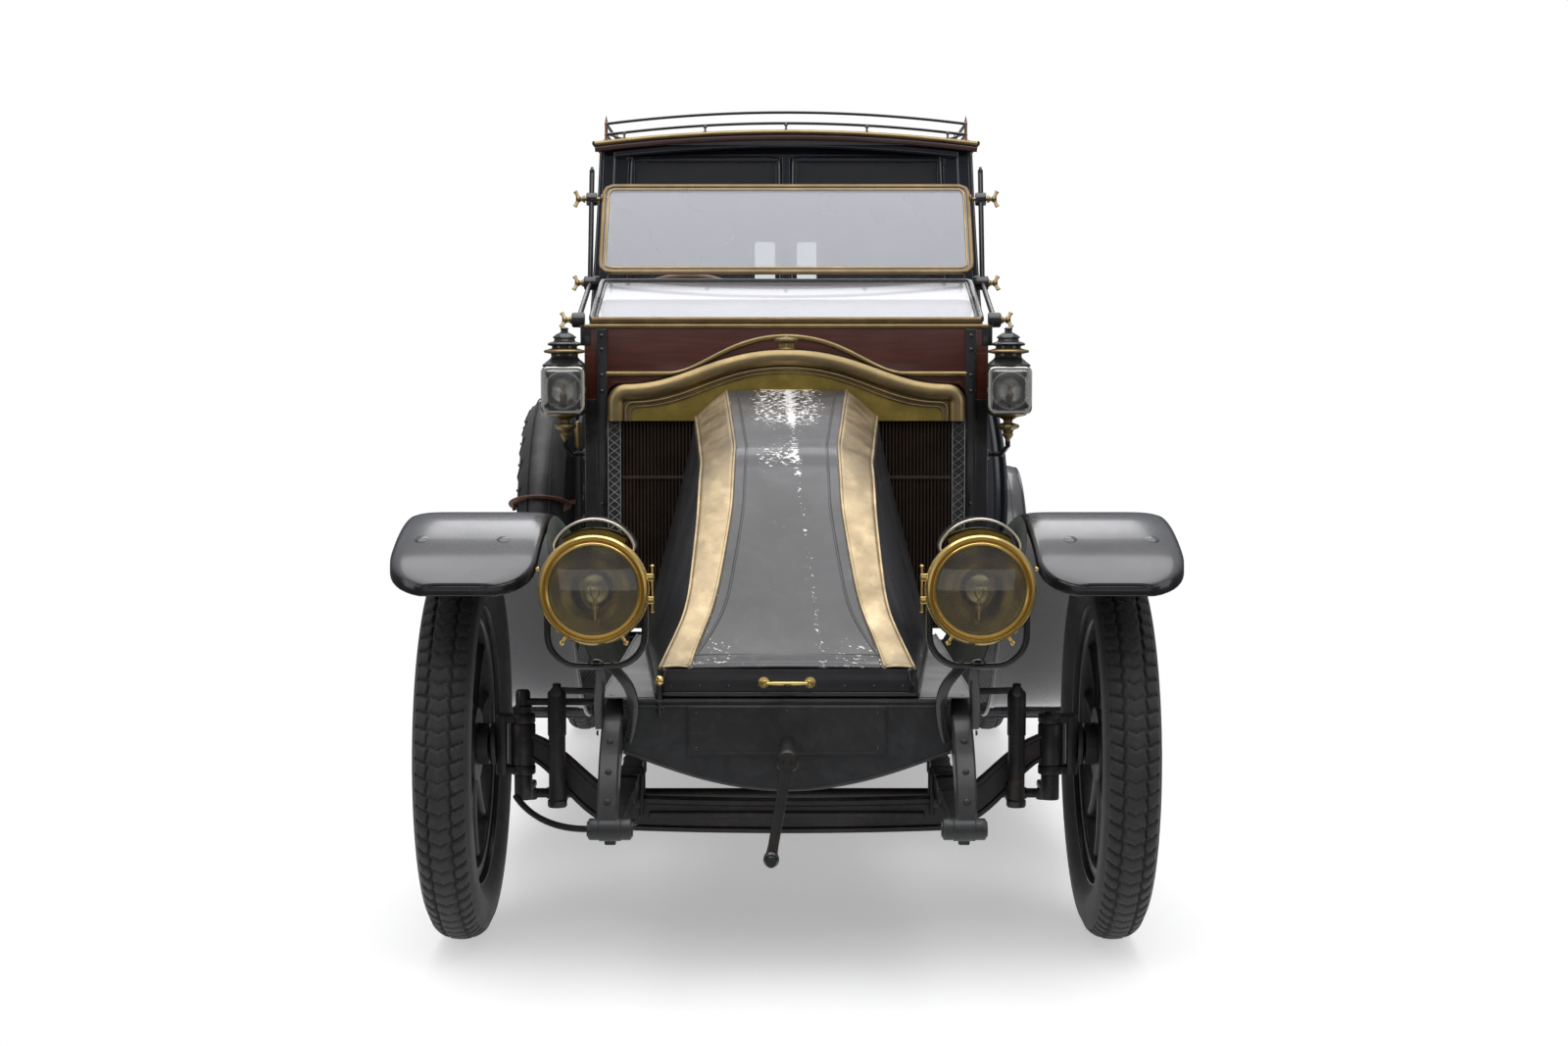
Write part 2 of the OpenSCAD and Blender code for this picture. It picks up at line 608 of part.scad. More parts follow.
// Half width of the cab at each height: it swells at the seat and draws in to the roof
cab_side = concat(
    curve([[632, sill_z], [676, sill_z + 90], [682, 860], [664, 1000]], 6),
    rest(curve([[664, 1000], [646, 1140], [612, 1220], [600, 1330]], 5)),
    rest(curve([[600, 1330], [588, 1440], [568, 1700], [560, roof_edge]], 4)));
function cab_ring(p, d) = let (w = p[0] - d, r = corner_r - d, yf = cab_front + (d > 0 ? -1 : 0), yb = cab_rear - d)
    concat([[w, yf, p[1]]],
        [for (q = arc([w - r, yb - r], r, 0, 90, 7)) [q[0], q[1], p[1]]],
        [for (q = arc([-w + r, yb - r], r, 90, 180, 7)) [q[0], q[1], p[1]]],
        [[-w, yf, p[1]]]);
module cab_solid(d) { loft([for (p = cab_side) cab_ring(p[1] <= sill_z ? [p[0], p[1] - (d > 0 ? 1 : 0)] : p[1] >= roof_edge ? [p[0], p[1] + (d > 0 ? 1 : 0)] : p, d)]); }
// Room for the rear wheels and their fenders
module wheel_arch() {
    both_sides() along_x(rear_fender_in - wheelhouse_t - 3, wheel_x + 160,
        rear_fender_r + fender_t / 2 + seam, wheelbase, axle_z, $fn = 90);
}
// Outline of a door in (y, z), shrunk by a gap
module door_outline(g) {
    r = 70;
    polygon([[door_front + g, door_foot + g], [door_hinge_y - g, door_foot + g],
        [door_hinge_y - g, door_head - g], [door_front + g, door_head - g]]);
}
module door_window(g) {
    polygon([[door_front + 62 + g, waist_z + 30 + g], [door_hinge_y - 62 - g, waist_z + 30 + g],
        [door_hinge_y - 62 - g, window_head - g], [door_front + 62 + g, window_head - g]]);
}
quarter_split = cab_rear - 230;
module cab_wall() {
    difference() {
        cab_solid(0);
        cab_solid(wall_t);
        wheel_arch();
    }
}
module cab_sides() {
    color("#15171f") intersection() {
        difference() {
            cab_wall();
            pull_x(-900, 900) door_outline(0);
        }
        both_sides() box([200, cab_front + wall_t, 0], [900, quarter_split, 3000]);
    }
    // Fixed halves of the door hinges
    color("#a8863c") both_sides() for (z = [door_foot + 130, 1120]) {
        translate([hinge_out, door_hinge_y, z + 60.5]) cylinder(h = 16, r = 8);
        box([z > 1000 ? 620 : 655, door_hinge_y + 1, z + 61], [hinge_out + 2, door_hinge_y + 22, z + 76]);
    }
}
module cab_back() {
    color("#15171f") difference() {
        intersection() {
            cab_wall();
            box([-900, quarter_split, 0], [900, cab_rear + 10, 3000]);
        }
        pull_y(cab_rear - 60, cab_rear + 60) polygon([[-112, 1560], [112, 1560], [112, 1720], [-112, 1720]]);
    }
}
module division() {
    h0 = waist_z + 60;
    color("#15171f") difference() {
        intersection() {
            cab_solid(0);
            box([-900, cab_front - 5, 0], [900, cab_front + wall_t, 3000]);
        }
        both_sides() pull_y(cab_front - 60, cab_front + 60)
            polygon([[24, h0], [480, h0], [462, window_head], [24, window_head]]);
    }
}
module fixed_glass() {
    h0 = waist_z + 60;
    mid = cab_front + wall_t / 2;
    color([0.7, 0.75, 0.8, 0.4]) {
        both_sides() pull_y(mid - glass_t / 2, mid + glass_t / 2)
            polygon([[24, h0], [480, h0], [462, window_head], [24, window_head]]);
        pull_y(cab_rear - wall_t / 2 - glass_t / 2, cab_rear - wall_t / 2 + glass_t / 2)
            polygon([[-112, 1560], [112, 1560], [112, 1720], [-112, 1720]]);
        lower_place() box([-screen_w / 2 + bar, bar, -glass_t / 2], [screen_w / 2 - bar, lower_len - bar, glass_t / 2]);
    }
}
// A door is the piece of the wall inside its outline, with its hinges and handle
module door() {
    color("#15171f") difference() {
        intersection() {
            difference() { cab_solid(0); cab_solid(wall_t); }
            pull_x(300, 900) door_outline(door_gap);
        }
        pull_x(300, 900) door_window(0);
    }
    color("#a8863c") {
        for (z = [door_foot + 130, 1120]) translate([hinge_out, door_hinge_y, z]) cylinder(h = 60, r = 8);
        box([655, door_hinge_y - 34, door_foot + 140], [hinge_out, door_hinge_y - 6.5, door_foot + 180]);
        box([620, door_hinge_y - 34, 1130], [hinge_out, door_hinge_y - 6.5, 1170]);
        along_y(door_front + 40, door_front + 140, 8, hinge_out + 14, 1140);
        along_x(622, hinge_out + 14, 8, door_front + 48, 1140);
    }
}
module door_glass() {
    color([0.7, 0.75, 0.8, 0.4]) intersection() {
        difference() { cab_solid(wall_t / 2 - glass_t / 2); cab_solid(wall_t / 2 + glass_t / 2); }
        pull_x(300, 900) door_window(0);
    }
}
module left_door() { door(); }
module right_door() { mirror([1, 0, 0]) door(); }
module left_door_glass() { door_glass(); }
module right_door_glass() { mirror([1, 0, 0]) door_glass(); }

// Roof: a crowned slab with a lip all round
roof_over = 14;
roof_half = 560 + roof_over;
roof_rise = roof_top - roof_edge - 8;
module roof() {
    big = (roof_half * roof_half + roof_rise * roof_rise) / (2 * roof_rise);
    span = asin(roof_half / big);
    color("#1b1b1d") intersection() {
        pull_y(cab_front - 60, cab_rear + roof_over) polygon(concat(
            [[roof_half, roof_edge + 0.2], [roof_half, roof_edge + 8]],
            arc([0, roof_top - big], big, 90 - span, 90 + span, 16),
            [[-roof_half, roof_edge + 8], [-roof_half, roof_edge + 0.2]]));
        pull_z(roof_edge, roof_top + 10) polygon(concat(
            [[roof_half, cab_front - 60]],
            arc([roof_half - corner_r, cab_rear + roof_over - corner_r], corner_r, 0, 90, 8),
            arc([-roof_half + corner_r, cab_rear + roof_over - corner_r], corner_r, 90, 180, 8),
            [[-roof_half, cab_front - 60]]));
    }
}
// Luggage rail: corner and side posts with an upper and a lower rod all round
rail_half = roof_half - 36;
rail_post_h = 66;
function roof_z(x) = let (big = (roof_half * roof_half + roof_rise * roof_rise) / (2 * roof_rise))
    roof_top - big + sqrt(big * big - x * x);
module roof_rail() {
    y0 = cab_front - 30;
    y1 = cab_rear - 120;
    foot = roof_z(rail_half) + 1;
    bow = 34;
    big = (rail_half * rail_half + bow * bow) / (2 * bow);
    span = asin(rail_half / big);
    color("#1a1a1c") {
        for (h = [20, 52]) {
            both_sides() along_y(y0, y1, 4.5, rail_half, foot + h);
            for (y = [y0, y1]) translate([0, y, foot + h + bow - big]) rotate([90, 0, 0]) rotate([0, 0, 90 - span])
                rotate_extrude(angle = 2 * span, $fn = 200) translate([big, 0]) circle(r = 4.5, $fn = 20);
        }
        both_sides() for (y = [y0, mix(y0, y1, 1 / 3), mix(y0, y1, 2 / 3), y1])
            translate([rail_half, y, foot]) cylinder(h = rail_post_h + (y == y0 || y == y1 ? 8 : 0), r = 7);
    }
}
module rear_seat() {
    half = min(555, rear_fender_in - wheelhouse_t - 40);
    inside = cab_rear - wall_t;
    color("#2a2522") {
        box([-half, cab_rear - 560, sill_z], [half, inside - 24, 900]);
        box([-half, cab_rear - 570, 900], [half, inside - 150, 1040]);
        pull_x(-half + 90, half - 90) polygon([[inside - 148, 900], [inside - 3, 900], [inside - 3, 1430], [inside - 60, 1430]]);
    }
}

/* ---- Fenders, boards, lamps and the rest ---- */

crown_y = -40;
front_fender_line = concat(
    curve([[-440, axle_z + 386], [-335, axle_z + 460], [-200, fender_crown], [crown_y, fender_crown]], 8),
    rest(curve([[crown_y, fender_crown], [390, fender_crown], [560, board_z], [front_tail_y - 50, board_z]], 16)),
    [[front_tail_y, board_z]]);
module front_fenders() {
    lip = -440 - 6;
    nose = 130;
    mid = (fender_in + fender_out) / 2;
    half = (fender_out - fender_in) / 2;
    foot = frame_top - 20;
    slant = atan2(fender_in - rail_out, fender_crown - foot);
    stretch = 1 / cos(slant);
    color("#1d1d20") both_sides() {
        intersection() {
            pull_x(fender_in, fender_out) polygon(strip(front_fender_line, fender_t, fender_t));
            pull_z(0, 1200) polygon(concat(
                [[fender_in, front_tail_y + 20], [fender_in, lip + nose]],
                [for (a = [170:-10:10]) [mid + half * square_off(cos(a)), lip + nose - nose * square_off(sin(a))]],
                [[fender_out, lip + nose], [fender_out, front_tail_y + 20]]));
        }
        // Inner valance, from the fender's inner edge down to the rail
        translate([rail_out, 0, foot]) rotate([0, slant, 0]) pull_x(0, 4) polygon(concat(
            [for (i = [1:len(front_fender_line) - 1]) let (p = front_fender_line[i],
                q = p - side_of(front_fender_line, i) * (fender_t / 2 + seam))
                if (p[0] > -330 && p[1] > foot + 60) [q[0], (q[1] - foot) * stretch]],
            [[560, 0], [-250, 0]]));
    }
}
module rear_fenders() {
    sweep = arc([wheelbase, axle_z], rear_fender_r, 184, -8, 24);
    color("#1d1d20") both_sides() {
        pull_x(rear_fender_in, fender_out) polygon(strip(sweep, fender_t, fender_t));
        // Inner plate between the wheel and the body
        intersection() {
            pull_x(rear_fender_in - wheelhouse_t, rear_fender_in) polygon(arc([wheelbase, axle_z], rear_fender_r + fender_t / 2, 184, -8, 24));
            box([0, 0, frame_top - 40], [900, 6000, 2000]);
        }
    }
}
module running_boards() {
    top = board_z - fender_t / 2;
    low = top - board_t;
    color("#1a1a1b") both_sides() {
        box([board_in, front_tail_y - 45, low], [board_out, board_end, top]);
        // Valance up to the rail, with a hole for the levers' cross shaft
        difference() {
            pull_y(front_tail_y - 45, wheelbase - 595) polygon([[rail_out, frame_top - 20], [rail_out + 5, frame_top - 20],
                [board_in + 5, top - 1], [board_in + 5, top - 17], [board_in, top - 17], [rail_out, frame_top - 40]]);
            along_x(rail_out - 1, board_in + 20, 19, lever_y, lever_z);
        }
        // Iron brackets under the board
        for (y = [front_tail_y + 60, board_end - 160])
            pull_y(y, y + 40) polygon([[rail_out - 30, frame_bottom], [rail_out, frame_bottom], [board_in, low],
                [board_out - 40, low], [board_out - 40, low - 8], [board_in - 10, low - 8]]);
    }
}
lamp_z = 808;
lamp_y = -530;
module headlamps() {
    color("#c9a02c") both_sides() translate([headlamp_x, lamp_y, lamp_z]) rotate([90, 0, 0]) {
        // Drum, rim and lens ring, turned about the lamp's axis
        rotate_extrude($fn = 64) polygon(concat([[0, -112]], arc([0, -32], 80, -80, -8, 8),
            [[84, -34], [84, 36], [headlamp_r - 10, 38], [headlamp_r, 50], [headlamp_r, 62], [headlamp_r - 12, 70], [headlamp_r - 18, 62], [0, 66]]));
    }
    color("#1d1d20") both_sides() {
        // Vent on top of the drum
        box([headlamp_x - 50, lamp_y - 30, lamp_z + 78], [headlamp_x + 50, lamp_y + 30, lamp_z + 100]);
        // Fork and post
        translate([headlamp_x, lamp_y + 6, lamp_z]) rotate([90, 0, 0]) rotate([0, 0, 180])
            rotate_extrude(angle = 180, $fn = 64) translate([headlamp_r - 8, 0]) circle(r = 7, $fn = 20);
        for (s = [-1, 1]) along_x(headlamp_x + (s > 0 ? 82 : -headlamp_r + 1), headlamp_x + (s > 0 ? headlamp_r - 1 : -82), 6, lamp_y + 6, lamp_z);
        difference() {
            rod([headlamp_x - 4, lamp_y + 8, lamp_z - headlamp_r + 4], [rail_out - rail_w / 2, -430, 550], 13);
            pull_x(rail_in - 2, rail_out + 2) dumb_iron();
        }
    }
}
side_lamp = [551, 748, 1188];
module side_lamps() {
    color("#1f1f22") both_sides() translate(side_lamp) {
        box([-56, -55, -60], [56, 55, 60]);
        rotate_extrude($fn = 40) polygon([[0, 60], [52, 60], [38, 76], [34, 92], [66, 98], [62, 110], [44, 116], [40, 124], [28, 128], [22, 142], [8, 150], [0, 158]]);
        rotate_extrude($fn = 40) polygon([[0, -60], [30, -60], [14, -76], [34, -92], [16, -116], [0, -122]]);
        // Bracket to the dashboard's edge
        box([-56, 54, -14], [-30, dash_y - side_lamp[1], 14]);
    }
}
module tail_lamp() {
    color("#a8863c") translate([-430, cab_rear, 760]) {
        rotate([-90, 0, 0]) cylinder(h = 62, r = 38);
        translate([0, 34, 30]) cylinder(h = 34, r = 18);
    }
}
module starting_crank() {
    z = 500;
    color("#2a2a2c") {
        along_y(-690, apron_y - 5.2, 15, 0, z);
        rod([0, -684, z], [-30, -696, 320], 11);
        along_y(-crank_reach, -684, 12, -30, 318);
    }
}
// Spare tyre in its cover, standing on the right-hand running board
spare_x = -655;
spare_y = 1452;
spare_r = 400;
module spare_tyre() {
    color("#222226") translate([spare_x, spare_y, board_z - fender_t / 2 + spare_r]) rotate([0, 90, 0])
        rotate_extrude($fn = 72) polygon([for (a = [0:20:340]) [spare_r - 66 + 66 * cos(a), 68 * sin(a)]]);
}
// Exhaust: a pipe from the engine's side, the silencer on its hanger, and the tail pipe
module silencer() {
    x = 225;
    color("#3a3632") {
        along_x(150, 205, 22, 560, 500);
        rod([198, 560, 500], [x, 740, 430], 22);
        along_y(730, wheelbase - 1149, 22, x, 430);
        along_y(wheelbase - 1150, wheelbase - 590, 70, x, 415);
        along_y(wheelbase - 591, cab_rear - 250, 16, x, 356);
        box([x - 4, wheelbase - 695, 470], [x + 4, wheelbase - 665, frame_bottom + 12]);
    }
}

/* ---- Running gear that moves ---- */

// One wheel about its own middle, with its axis along x and its outside towards +x
drum_r = 165;
module wheel_body(rear) {
    rim_r = rim_d / 2;
    bore = stub_r + 0.06;
    color("#1b1a19") rotate([0, 90, 0]) difference() {
        union() {
            rotate_extrude($fn = 96) polygon([[rim_r - 40, -27], [rim_r - 8, -27], [rim_r - 6, -38], [rim_r, -38],
                [rim_r, 38], [rim_r - 6, 38], [rim_r - 8, 27], [rim_r - 40, 27]]);
            rotate_extrude($fn = 64) polygon([[0, -52], [44, -52], [44, -24], [78, -22], [78, 22], [46, 26], [40, 78],
                [36, 80], [34, hub_reach - 4], [30, hub_reach], [0, hub_reach]]);
            for (i = [0:spokes - 1]) rotate([0, 0, i * 360 / spokes]) translate([60, 0, 0]) rotate([0, 90, 0])
                cylinder(h = rim_r - 90, r1 = 21, r2 = 15, $fn = 24);
            if (rear) rotate_extrude($fn = 64) polygon([[drum_r - 100, -32], [drum_r, -32], [drum_r, -56], [drum_r - 6, -56], [drum_r - 6, -40], [drum_r - 100, -40]]);
            if (rear) rotate_extrude($fn = 64) polygon([[40, -40], [drum_r - 90, -40], [drum_r - 90, -20], [40, -20]]);
        }
        translate([0, 0, -60]) cylinder(h = 60 + hub_reach - 18, r = bore);
    }
}
module tyre_ring() {
    rim_r = rim_d / 2 + 0.2;
    h = tyre_w / 2;
    deep = tyre_d / 2 - rim_r;
    color("#26262a") rotate([0, 90, 0]) rotate_extrude($fn = 96) polygon(concat(
        [[rim_r, -h * 0.62], [rim_r + deep * 0.2, -h * 0.86]],
        [for (a = [-90:15:90]) [rim_r + deep * 0.52 + deep * 0.48 * cos(a) , h * sin(a)]],
        [[rim_r + deep * 0.2, h * 0.86], [rim_r, h * 0.62]]));
}
module at_wheel(x, y, side) { translate([side * x, y, axle_z]) mirror([side < 0 ? 1 : 0, 0, 0]) children(); }
module front_left_wheel() { at_wheel(wheel_x, 0, 1) wheel_body(false); }
module front_right_wheel() { at_wheel(wheel_x, 0, -1) wheel_body(false); }
module rear_left_wheel() { at_wheel(wheel_x, wheelbase, 1) wheel_body(true); }
module rear_right_wheel() { at_wheel(wheel_x, wheelbase, -1) wheel_body(true); }
module front_left_tyre() { at_wheel(wheel_x, 0, 1) tyre_ring(); }
module front_right_tyre() { at_wheel(wheel_x, 0, -1) tyre_ring(); }
module rear_left_tyre() { at_wheel(wheel_x, wheelbase, 1) tyre_ring(); }
module rear_right_tyre() { at_wheel(wheel_x, wheelbase, -1) tyre_ring(); }

// Knuckle: a fork round the axle's boss, the kingpin, the stub axle and the steering arm
module knuckle() {
    inner = boss_h / 2 + 1;
    color("#1e1e20") {
        translate([kingpin_x, 0, axle_z - inner - 22]) cylinder(h = 2 * (inner + 22), r = kingpin_r);
        for (z = [inner, -inner - 20]) translate([kingpin_x, 0, axle_z + z]) cylinder(h = 20, r = 27);
        for (z = [inner, -inner - 20]) box([kingpin_x, -20, axle_z + z], [kingpin_x + 56, 20, axle_z + z + 20]);
        box([kingpin_x + 34, -22, axle_z - inner - 20], [kingpin_x + 58, 22, axle_z + inner + 20]);
        along_x(kingpin_x + 40, wheel_x + hub_reach - 22, stub_r, 0, axle_z);
        // Arm to the tie rod
        box([kingpin_x - 12, 0, tie_z + tie_r + 2], [kingpin_x + 12, arm_len + 14, tie_z + tie_r + 18]);
        translate([kingpin_x, 0, tie_z + tie_r + 2]) cylinder(h = axle_z - inner - 20 - tie_z - tie_r - 1, r = 20);
    }
}
module left_knuckle() { knuckle(); }
module right_knuckle() {
    mirror([1, 0, 0]) knuckle();
    // Arm to the drag link
    color("#1e1e20") {
        translate([-kingpin_x, 0, axle_z + boss_h / 2 + 20]) cylinder(h = 20, r = 20);
        box([-kingpin_x, -12, link_z_front + 13], [-kingpin_x + link_arm + 12, 12, link_z_front + 27]);
        translate([-kingpin_x, 0, axle_z + boss_h / 2 + 40]) cylinder(h = link_z_front + 27 - axle_z - boss_h / 2 - 40, r = 16);
    }
}
module tie_rod() {
    color("#1e1e20") {
        along_x(-kingpin_x, kingpin_x, tie_r, arm_len, tie_z);
        both_sides() translate([kingpin_x, arm_len, tie_z - 14]) cylinder(h = tie_r + 15.7, r = 16);
    }
}
module drag_link() {
    x = -kingpin_x + link_arm;
    color("#1e1e20") {
        rod([x, 0, link_z_front], [x, drop_y - 14, link_z_rear], link_r);
        translate([x, 0, link_z_front - 14]) cylinder(h = 26.7, r = 16);
        along_x(x - 8, x + 8, 18, drop_y, link_z_rear);
    }
}
module drop_arm() {
    x = -rail_out - 12;
    color("#1e1e20") {
        along_x(x - 20, x - seam, 24, drop_y, drop_z);
        along_x(x - 20, x + 16, 10, drop_y, drop_z);
        pull_x(x - 16, x - 4) polygon([[drop_y - 16, drop_z], [drop_y + 16, drop_z], [drop_y + 12, link_z_rear], [drop_y - 12, link_z_rear]]);
        along_x(x - 18, x - 4, 18, drop_y, link_z_rear);
    }
}

set_down() frame_rails();
set_down() crossmembers();
set_down() front_springs();
set_down() rear_springs();
set_down() front_axle();
set_down() rear_axle();
set_down() engine_block();
set_down() gearbox();
set_down() front_apron();
set_down() number_plate();
set_down() radiator();
set_down() radiator_header();
set_down() dashboard();
set_down() lower_windscreen();
set_down() windscreen_posts();
set_down() floor();
set_down() seat_box();
set_down() driver_seat();
set_down() division();
set_down() cab_sides();
set_down() cab_back();
set_down() fixed_glass();
set_down() roof();
set_down() roof_rail();
set_down() rear_seat();
set_down() front_fenders();
set_down() rear_fenders();
set_down() running_boards();
set_down() headlamps();
set_down() side_lamps();
set_down() tail_lamp();
set_down() starting_crank();
set_down() steering_column();
set_down() control_levers();
set_down() spare_tyre();
set_down() silencer();
set_down() bonnet();
set_down() upper_windscreen();
set_down() upper_glass();
set_down() left_door();
set_down() left_door_glass();
set_down() right_door();
set_down() right_door_glass();
set_down() left_knuckle();
set_down() right_knuckle();
set_down() tie_rod();
set_down() drag_link();
set_down() drop_arm();
set_down() steering_wheel();
set_down() front_left_wheel();
set_down() front_right_wheel();
set_down() rear_left_wheel();
set_down() rear_right_wheel();
set_down() front_left_tyre();
set_down() front_right_tyre();
set_down() rear_left_tyre();
set_down() rear_right_tyre();
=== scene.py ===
"""Early town car with an open driver's seat: its visible pieces, finishes, floor, lights and camera.

Shapes are worked out in millimetres with y = 0 at the front axle and turned into the frame's
metres when a piece is placed.
"""

from __future__ import annotations

import json
import logging
import math
from dataclasses import dataclass, field
from enum import Enum
from typing import Iterable, Optional, Sequence, Union

import bmesh
import bpy
import numpy as np
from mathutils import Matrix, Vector

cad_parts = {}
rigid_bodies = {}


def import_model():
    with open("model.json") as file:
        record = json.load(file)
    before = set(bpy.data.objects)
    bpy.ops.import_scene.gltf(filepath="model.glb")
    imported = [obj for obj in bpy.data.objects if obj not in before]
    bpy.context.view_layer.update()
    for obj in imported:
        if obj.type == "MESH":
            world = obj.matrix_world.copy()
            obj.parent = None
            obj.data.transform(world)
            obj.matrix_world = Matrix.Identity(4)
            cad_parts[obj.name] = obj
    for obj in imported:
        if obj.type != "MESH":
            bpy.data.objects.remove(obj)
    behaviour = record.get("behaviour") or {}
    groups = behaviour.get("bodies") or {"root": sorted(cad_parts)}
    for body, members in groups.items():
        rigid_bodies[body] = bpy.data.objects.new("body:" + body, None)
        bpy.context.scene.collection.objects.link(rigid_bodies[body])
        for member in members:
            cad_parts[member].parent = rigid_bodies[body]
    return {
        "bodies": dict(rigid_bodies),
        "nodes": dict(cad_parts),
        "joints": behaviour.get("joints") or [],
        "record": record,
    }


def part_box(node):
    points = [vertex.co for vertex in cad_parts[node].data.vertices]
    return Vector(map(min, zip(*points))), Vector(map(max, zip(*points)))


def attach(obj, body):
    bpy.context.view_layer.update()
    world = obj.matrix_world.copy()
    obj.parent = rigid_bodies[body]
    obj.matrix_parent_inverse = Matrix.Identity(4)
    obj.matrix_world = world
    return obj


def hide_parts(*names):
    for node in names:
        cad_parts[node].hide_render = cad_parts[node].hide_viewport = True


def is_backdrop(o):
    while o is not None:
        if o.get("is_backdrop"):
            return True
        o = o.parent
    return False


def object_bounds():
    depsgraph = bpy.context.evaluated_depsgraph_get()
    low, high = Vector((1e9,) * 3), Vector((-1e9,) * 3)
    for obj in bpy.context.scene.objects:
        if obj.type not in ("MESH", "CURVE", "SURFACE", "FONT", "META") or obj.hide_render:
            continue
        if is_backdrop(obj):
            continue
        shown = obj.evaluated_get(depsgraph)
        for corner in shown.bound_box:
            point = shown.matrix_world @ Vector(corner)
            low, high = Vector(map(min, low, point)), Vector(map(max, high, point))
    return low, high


LOG = logging.getLogger("town_car")
Array = np.ndarray
Colour = tuple[float, float, float]
Point = Sequence[float]
Value = Union[float, Colour, bpy.types.NodeSocket]


class Axis(Enum):
    """The direction that a turned or pulled shape runs along."""

    X = 0
    Y = 1
    Z = 2


class Side(Enum):
    """A hand of the car: its left is +x."""

    LEFT = 1
    RIGHT = -1


# ---------------------------------------------------------------- curves and surfaces


def arr(*points: Point) -> Array:
    """Returns the points as one float array, a row each."""
    return np.array(points, dtype=float)


def bezier(p: Array, n: int) -> Array:
    """Cubic curve: each control point weighted by the Bernstein polynomials of t.

    Args:
        p: four control points.
        n: number of points returned.

    Returns:
        The n points.
    """
    t = np.linspace(0, 1, n)[:, None]
    s = 1 - t
    return s**3 * p[0] + 3 * s * s * t * p[1] + 3 * s * t * t * p[2] + t**3 * p[3]


def chain(*parts: Array) -> Array:
    """Joins curves end to end and drops the repeated joints."""
    return np.concatenate([parts[0]] + [q[1:] for q in parts[1:]])


def arc(c: Point, r: float, a: float, b: float, n: int) -> Array:
    """Points (c0 + r cos t, c1 + r sin t) for t from a to b degrees."""
    t = np.radians(np.linspace(a, b, n))
    return np.stack([c[0] + r * np.cos(t), c[1] + r * np.sin(t)], 1)


def disc(r: float, n: int = 12) -> Array:
    """Closed outline of a circle of radius r, without its last point."""
    return arc((0, 0), r, 0, 360, n + 1)[:-1]


def rounded(w: float, h: float, r: float, n: int = 4) -> Array:
    """Closed outline of a rectangle w by h about (0, 0) whose corners are quarter circles of radius r."""
    a, b = w / 2 - r, h / 2 - r
    return np.concatenate([arc((sx * a, sy * b), r, q, q + 90, n) for sx, sy,
        q in ((1, 1, 0), (-1, 1, 90), (-1, -1, 180), (1, -1, 270))])


def resample(p: Array, n: int) -> Array:
    """Returns n points evenly spaced by length along the polyline p."""
    d = np.concatenate([[0], np.cumsum(np.linalg.norm(np.diff(p, axis=0), axis=1))])
    t = np.linspace(0, d[-1], n)
    return np.stack([np.interp(t, d, p[:, i]) for i in range(p.shape[1])], 1)


def unit(v: Array) -> Array:
    """Scales each row to length one."""
    return v / np.maximum(np.linalg.norm(v, axis=-1, keepdims=True), 1e-9)


def smoothstep(a: float, b: float, x: Array) -> Array:
    """3t^2 - 2t^3 of t = (x - a) / (b - a), held between 0 and 1."""
    t = np.clip((x - a) / (b - a), 0, 1)
    return t * t * (3 - 2 * t)


def lay(flat: Array, axis: Axis, along: Union[float, Array]) -> Array:
    """Turns rows (p, q) into space: the pair lies across the axis in x, y, z order."""
    out = np.zeros((*flat.shape[:-1], 3))
    rest = [i for i in range(3) if i != axis.value]
    out[..., rest[0]], out[..., rest[1]], out[..., axis.value] = flat[..., 0], flat[..., 1], along
    return out


